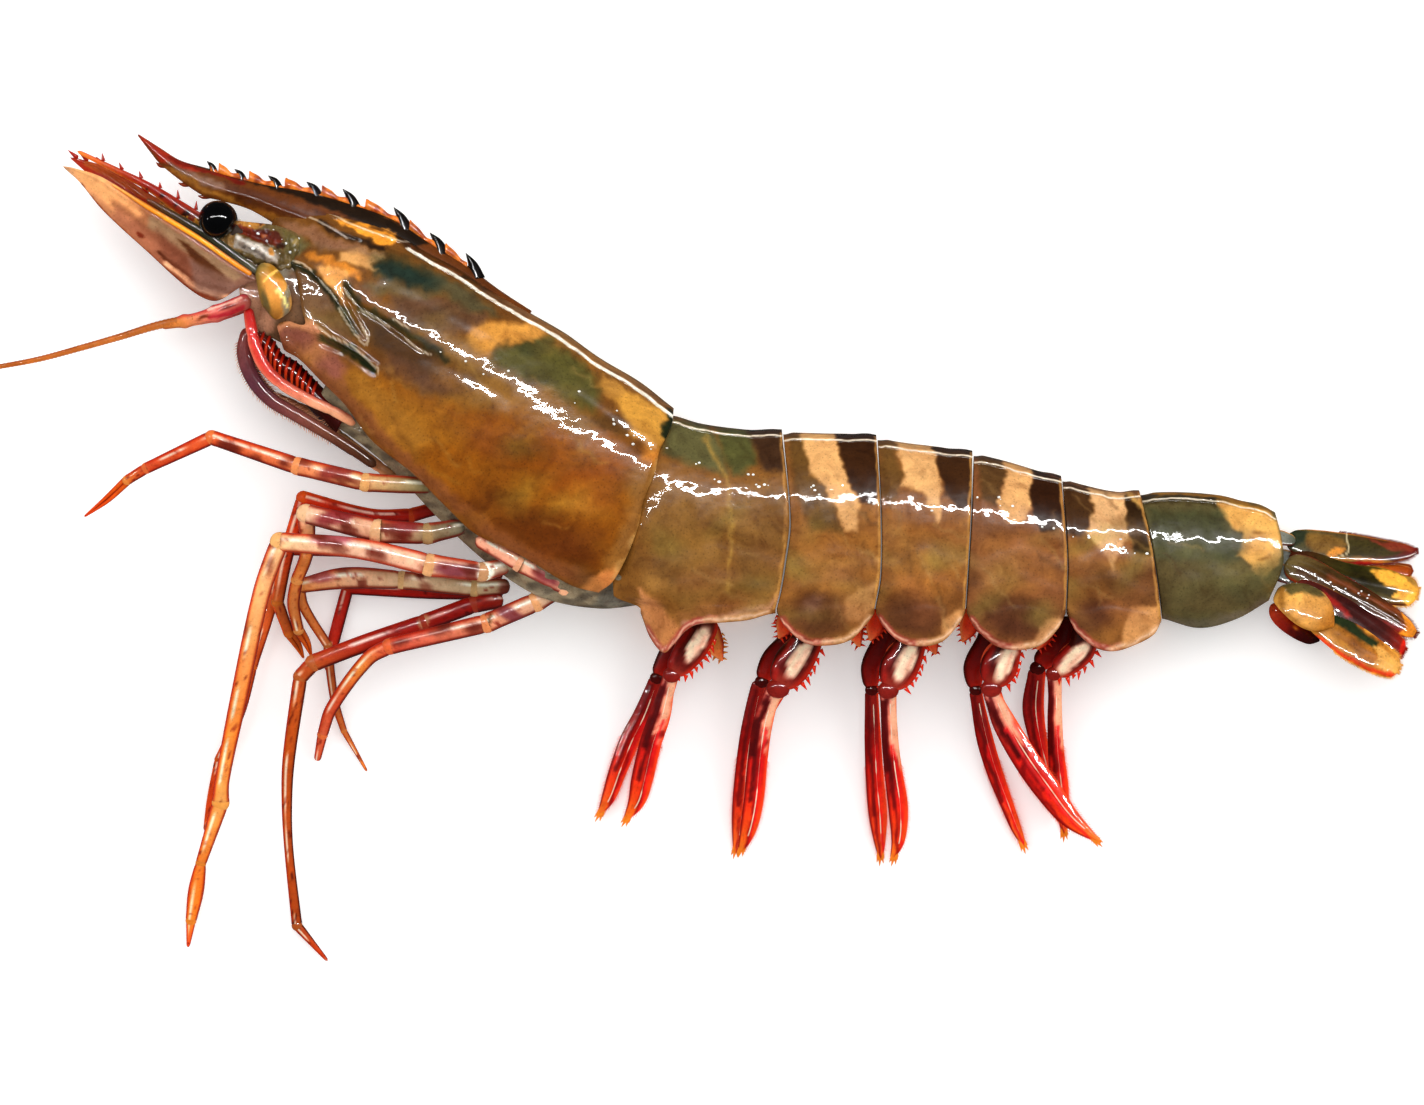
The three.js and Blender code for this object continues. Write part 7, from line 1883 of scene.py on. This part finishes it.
# a broad soft source, and strips that only the wet film mirrors: place, aim, size, power
LAMPS = [
    ("Soft box", (0.1, 0.55, 1.1), (0.02, -0.02, 0), (1.8, 1.4), 11, "matt"),
    ("Flank strip", (0.385, 0.27, 0.6), (0.385, -0.01, 0.02), (0.77, 0.024), 11.3, "gloss"),
    ("Front strip", (-0.365, 0.27, 0.6), (-0.365, -0.01, 0.02), (0.73, 0.01), 4.5, "gloss"),
    ("Head strip", (-0.72, 0.14, 0.36), (-0.02, 0.0, 0.02), (0.014, 0.07), 0.5, "gloss"),
]


def area_light(name, place, aim, size, power, lights):
    """A lamp aimed at a point, which lights matt or glossy surfaces only."""
    light = bpy.data.lights.new(name, "AREA")
    light.shape = "RECTANGLE"
    light.size, light.size_y = size
    light.energy = power
    lamp = bpy.data.objects.new(name, light)
    bpy.context.scene.collection.objects.link(lamp)
    lamp.location = place
    lamp.rotation_euler = Vector(np.subtract(aim, place)).to_track_quat("-Z", "Y").to_euler()
    lamp.visible_camera = False
    lamp.visible_glossy = lights != "matt"
    lamp.visible_diffuse = lights != "gloss"


class PRAWN_OT_stage(bpy.types.Operator):
    """Sets the ground, the lights and the camera"""

    bl_idname = "prawn.stage"
    bl_label = "Stage"

    def execute(self, context):
        scene = context.scene
        settings = scene.prawn_stage
        scene.view_settings.view_transform = "Standard"
        world = bpy.data.worlds.new("Studio")
        world.use_nodes = True
        backdrop = world.node_tree.nodes["Background"]
        backdrop.inputs["Color"].default_value = (1, 1, 1, 1)
        # the white tent lights the prawn evenly, but its wet film mirrors a darker room
        ray = add_node(world.node_tree, "ShaderNodeLightPath")
        room = add_node(world.node_tree, "ShaderNodeMapRange",
                        {"To Min": settings.room_light, "To Max": MIRRORED_ROOM},
                        {"Value": ray.outputs["Is Glossy Ray"]})
        world.node_tree.links.new(room.outputs[0], backdrop.inputs["Strength"])
        scene.world = world

        ground = bpy.data.meshes.new("Ground")
        ground.from_pydata([(-3, -3, 0), (3, -3, 0), (3, 3, 0), (-3, 3, 0)], [], [(0, 1, 2, 3)])
        ground.materials.append(plain_surface("Lit white acrylic", "fdfdfc", 0.9, settings.ground_glow))
        floor = bpy.data.objects.new("Ground", ground)
        scene.collection.objects.link(floor)
        floor.visible_glossy = False

        for lamp in LAMPS:
            area_light(*lamp)
        camera = bpy.data.cameras.new("Camera")
        camera.lens, camera.sensor_width = settings.lens, SENSOR
        camera.clip_start, camera.clip_end = 0.5, 60
        looking = bpy.data.objects.new("Camera", camera)
        scene.collection.objects.link(looking)
        x, y, z = VIEW_CENTRE
        looking.location = (x * MM, y * MM, z * MM + HALF_VIEW / (SENSOR / 2 / settings.lens))
        scene.camera = looking
        return {"FINISHED"}


class PRAWN_OT_carapace(bpy.types.Operator):
    """Builds the carapace with its toothed horn"""

    bl_idname = "prawn.carapace"
    bl_label = "Carapace"

    def execute(self, context):
        body = Body()
        carapace_shell(body)
        rostrum(body)
        for tip in BACK_TEETH:
            rostrum_tooth(body, tip, back_line, 1)
        for tip in UNDER_TEETH:
            rostrum_tooth(body, tip, rostrum_under, -1)
        crest_web(body)
        finish_piece("carapace_shell", body, [material("shell")], ["carapace"])
        return {"FINISHED"}


class PRAWN_OT_tail(bpy.types.Operator):
    """Builds the six segments of the tail"""

    bl_idname = "prawn.tail"
    bl_label = "Tail segments"

    def execute(self, context):
        for number in range(1, 7):
            body = Body()
            tail_segment(body, number)
            finish_piece(f"tail_segment_{number}", body, [material("shell")], [f"abdomen_{number}"])
        return {"FINISHED"}


class PRAWN_OT_fan(bpy.types.Operator):
    """Builds the tail fan"""

    bl_idname = "prawn.fan"
    bl_label = "Tail fan"

    def execute(self, context):
        for i, (name, shape) in enumerate(FAN.items()):
            body = Body()
            path = [[x - 0.012 * max(x - 118, 0), y, z, 1.2 * wide] for x, y, z, wide in shape["path"]]
            ring = leaf(path, shape["thickness"], FAN_ROLL, 110, 40, (0.3, 0.16), shape["ridges"], 18)
            add_rings(body, ring, graded(ring, shape["tones"], shape["upper"], shape["lower"], 0.9, 0.84),
                      shape["marks"], 80 + i)
            for extra, thick, tones in FAN_EXTRAS.get(name, ()):
                part = leaf(extra, thick, FAN_ROLL, 50, 24, (0.3, 0.3), (), 6)
                add_rings(body, part, graded(part, tones, "5a1208", "e09a4a", 0.8, 0.7), (), 70 + i)
            if name == "telson":
                bead_glints(body, scattered(TELSON_HIGHLIGHT_COURSES, 0.9, 0.45, 23), body.all_points(), 24, 0.08, 0.17)
            edges = [fringe_of(ring, 0.4, 0.99, side, 110, 0.03, i) for side in (0, 20)]
            across = np.repeat(ring[-3, 1:19], 4, 0)
            ahead = (ring[-4].mean(0) - ring[-12].mean(0)) / 3
            edges.append((across, ahead + np.random.default_rng(i).normal(0, 0.1, across.shape)))
            tip = "8a3a1c" if name == "telson" else shape["tones"][-1]
            add_bristles(body, edges, tip, 0.7, 0.12, i + 1)
            finish_piece(name + "_blade", body, [material("fan")], [name])
        for i, (name, shape) in enumerate(UROPOD_BASES.items()):
            body = Body()
            ring = leaf(shape["path"], 2.6, FAN_ROLL, 70, 40, (0.3, 0.4))
            add_rings(body, ring, graded(ring, shape["tones"]), shape["marks"], 90 + i)
            finish_piece(name + "_joint", body, [material("fan")], [name])
        return {"FINISHED"}


class PRAWN_OT_head(bpy.types.Operator):
    """Builds the head capsule, the eyes, the antennal scales and the feelers"""

    bl_idname = "prawn.head"
    bl_label = "Head, eyes and feelers"

    def execute(self, context):
        body = Body()
        head_capsule(body)
        bead_glints(body, HEAD_BEAD_GLINTS, body.all_points(), 54)
        finish_piece("head_capsule", body, [material("flesh")], ["head"])
        for word, side in (("left", 1), ("right", -1)):
            body = Body()
            eyeball(body, side)
            finish_piece(f"eyeball_{word}", body, [material("eye"), material("limb")], [f"eye_{word}"])
            body = Body()
            z = CARAPACE_MIDDLE + side * SCALE_ROOT_ASIDE
            ring = tube(follow([(x, y, z, w) for x, y, w in SCALE_BASE], 60), 32, 0.8, (0.3, 0.35))
            tones = ["847444", "c89450", "dca05a", "c08c48", "9a7038"]
            add_rings(body, ring, graded(ring, tones, "6a6030", "e4b468", 0.6), SCALE_BASE_MARKS)
            finish_piece(f"scale_root_{word}", body, [material("limb")], [f"scale_base_{word}"])
            body = Body()
            antennal_scale(body, side)
            finish_piece(f"antennal_scale_{word}", body, [material("limb")], [f"scale_{word}"])
            body = Body()
            feeler_limb(body, FEELER if side > 0 else FEELER_STUB)
            finish_piece(f"feeler_{word}", body, [material("limb")], [f"antenna_{word}"])
            body = Body()
            z = CARAPACE_MIDDLE + side * SMALL_FEELER_ASIDE
            path = follow([(x, y, z, w) for x, y, w in ANTENNULE], 90)
            ring = tube(path, 18, 0.8, (0.3, 0.3))
            spots = [spot(x, y, size, 0.7 * size, 40, "34180c", 0.9, 0.25)
                     for x, y, size in ANTENNULE_SPOTS]
            tones = ["6a4a2c", "7c4426", "8c3822", "9c3420", "b85a28", "dc8840"]
            add_rings(body, ring, graded(ring, tones, "a82c1c", "c8882c", 0.9, 0.6), spots, 52)
            add_bristles(body, [fringe_of(ring, 0.12, 0.86, 9, 8, 0.1, 53)], "a83420", 1.5, 0.7, 53, 0.4)
            finish_piece(f"small_feeler_{word}", body, [material("limb")], [f"antennule_{word}"])
        return {"FINISHED"}


class PRAWN_OT_mouth(bpy.types.Operator):
    """Builds the feeding limbs, the jaws and the breast"""

    bl_idname = "prawn.mouth"
    bl_label = "Mouth and breast"

    def execute(self, context):
        slots = {"maxilliped_left": "mouth_coral", "maxilliped_right": "scale_tan",
                 "mouth_lobe_left": "mouth_plum", "mouth_lobe_right": "mouth_plum"}
        for name, slot in slots.items():
            body = Body()
            feeding_limb(body, name)
            finish_piece(name + "_limb", body, [material("limb")], [name])
        body = Body()
        jaw_parts(body)
        finish_piece("jaw_comb", body, [material("limb")], ["jaws"])
        body = Body()
        breast_plates(body)
        finish_piece("breast_plates", body, [material("flesh")], ["breast"])
        return {"FINISHED"}


class PRAWN_OT_legs(bpy.types.Operator):
    """Builds the ten walking legs"""

    bl_idname = "prawn.legs"
    bl_label = "Walking legs"

    def execute(self, context):
        for i, (name, shape) in enumerate(LEGS.items()):
            body = Body()
            jointed_leg(body, shape, LEG_SEED + 9 * i)
            finish_piece("walking_" + name, body, [material("limb")], [name])
        return {"FINISHED"}


class PRAWN_OT_swimmers(bpy.types.Operator):
    """Builds the ten swimming legs"""

    bl_idname = "prawn.swimmers"
    bl_label = "Swimming legs"

    def execute(self, context):
        for i, pair in enumerate(SWIMMERS):
            for word in ("left", "right"):
                body = Body()
                swimming_leg(body, pair[word], word == "left", 100 + 7 * i + (word == "right"))
                finish_piece(f"paddle_{i + 1}_{word}", body, [material("limb")],
                             [f"swimmer_{i + 1}_{word}"])
        return {"FINISHED"}


OPERATORS = [PRAWN_OT_stage, PRAWN_OT_carapace, PRAWN_OT_tail, PRAWN_OT_fan, PRAWN_OT_head,
             PRAWN_OT_mouth, PRAWN_OT_legs, PRAWN_OT_swimmers]


class PRAWN_PT_sidebar(bpy.types.Panel):
    """Shows the stage settings and a button for each builder"""

    bl_idname = "PRAWN_PT_sidebar"
    bl_label = "Prawn"
    bl_space_type = "VIEW_3D"
    bl_region_type = "UI"
    bl_category = "Prawn"

    def draw(self, context):
        settings = context.scene.prawn_stage
        for name in ("ground_glow", "room_light", "lens"):
            self.layout.prop(settings, name)
        for operator in OPERATORS:
            self.layout.operator(operator.bl_idname)


def register():
    for cls in (StageSettings, *OPERATORS, PRAWN_PT_sidebar):
        bpy.utils.register_class(cls)
    bpy.types.Scene.prawn_stage = bpy.props.PointerProperty(type=StageSettings)


def unregister():
    del bpy.types.Scene.prawn_stage
    for cls in (PRAWN_PT_sidebar, *reversed(OPERATORS), StageSettings):
        bpy.utils.unregister_class(cls)


def main():
    register()
    for operator in OPERATORS:
        group, _, action = operator.bl_idname.partition(".")
        getattr(getattr(bpy.ops, group), action)()


if __name__ == "__main__":
    main()
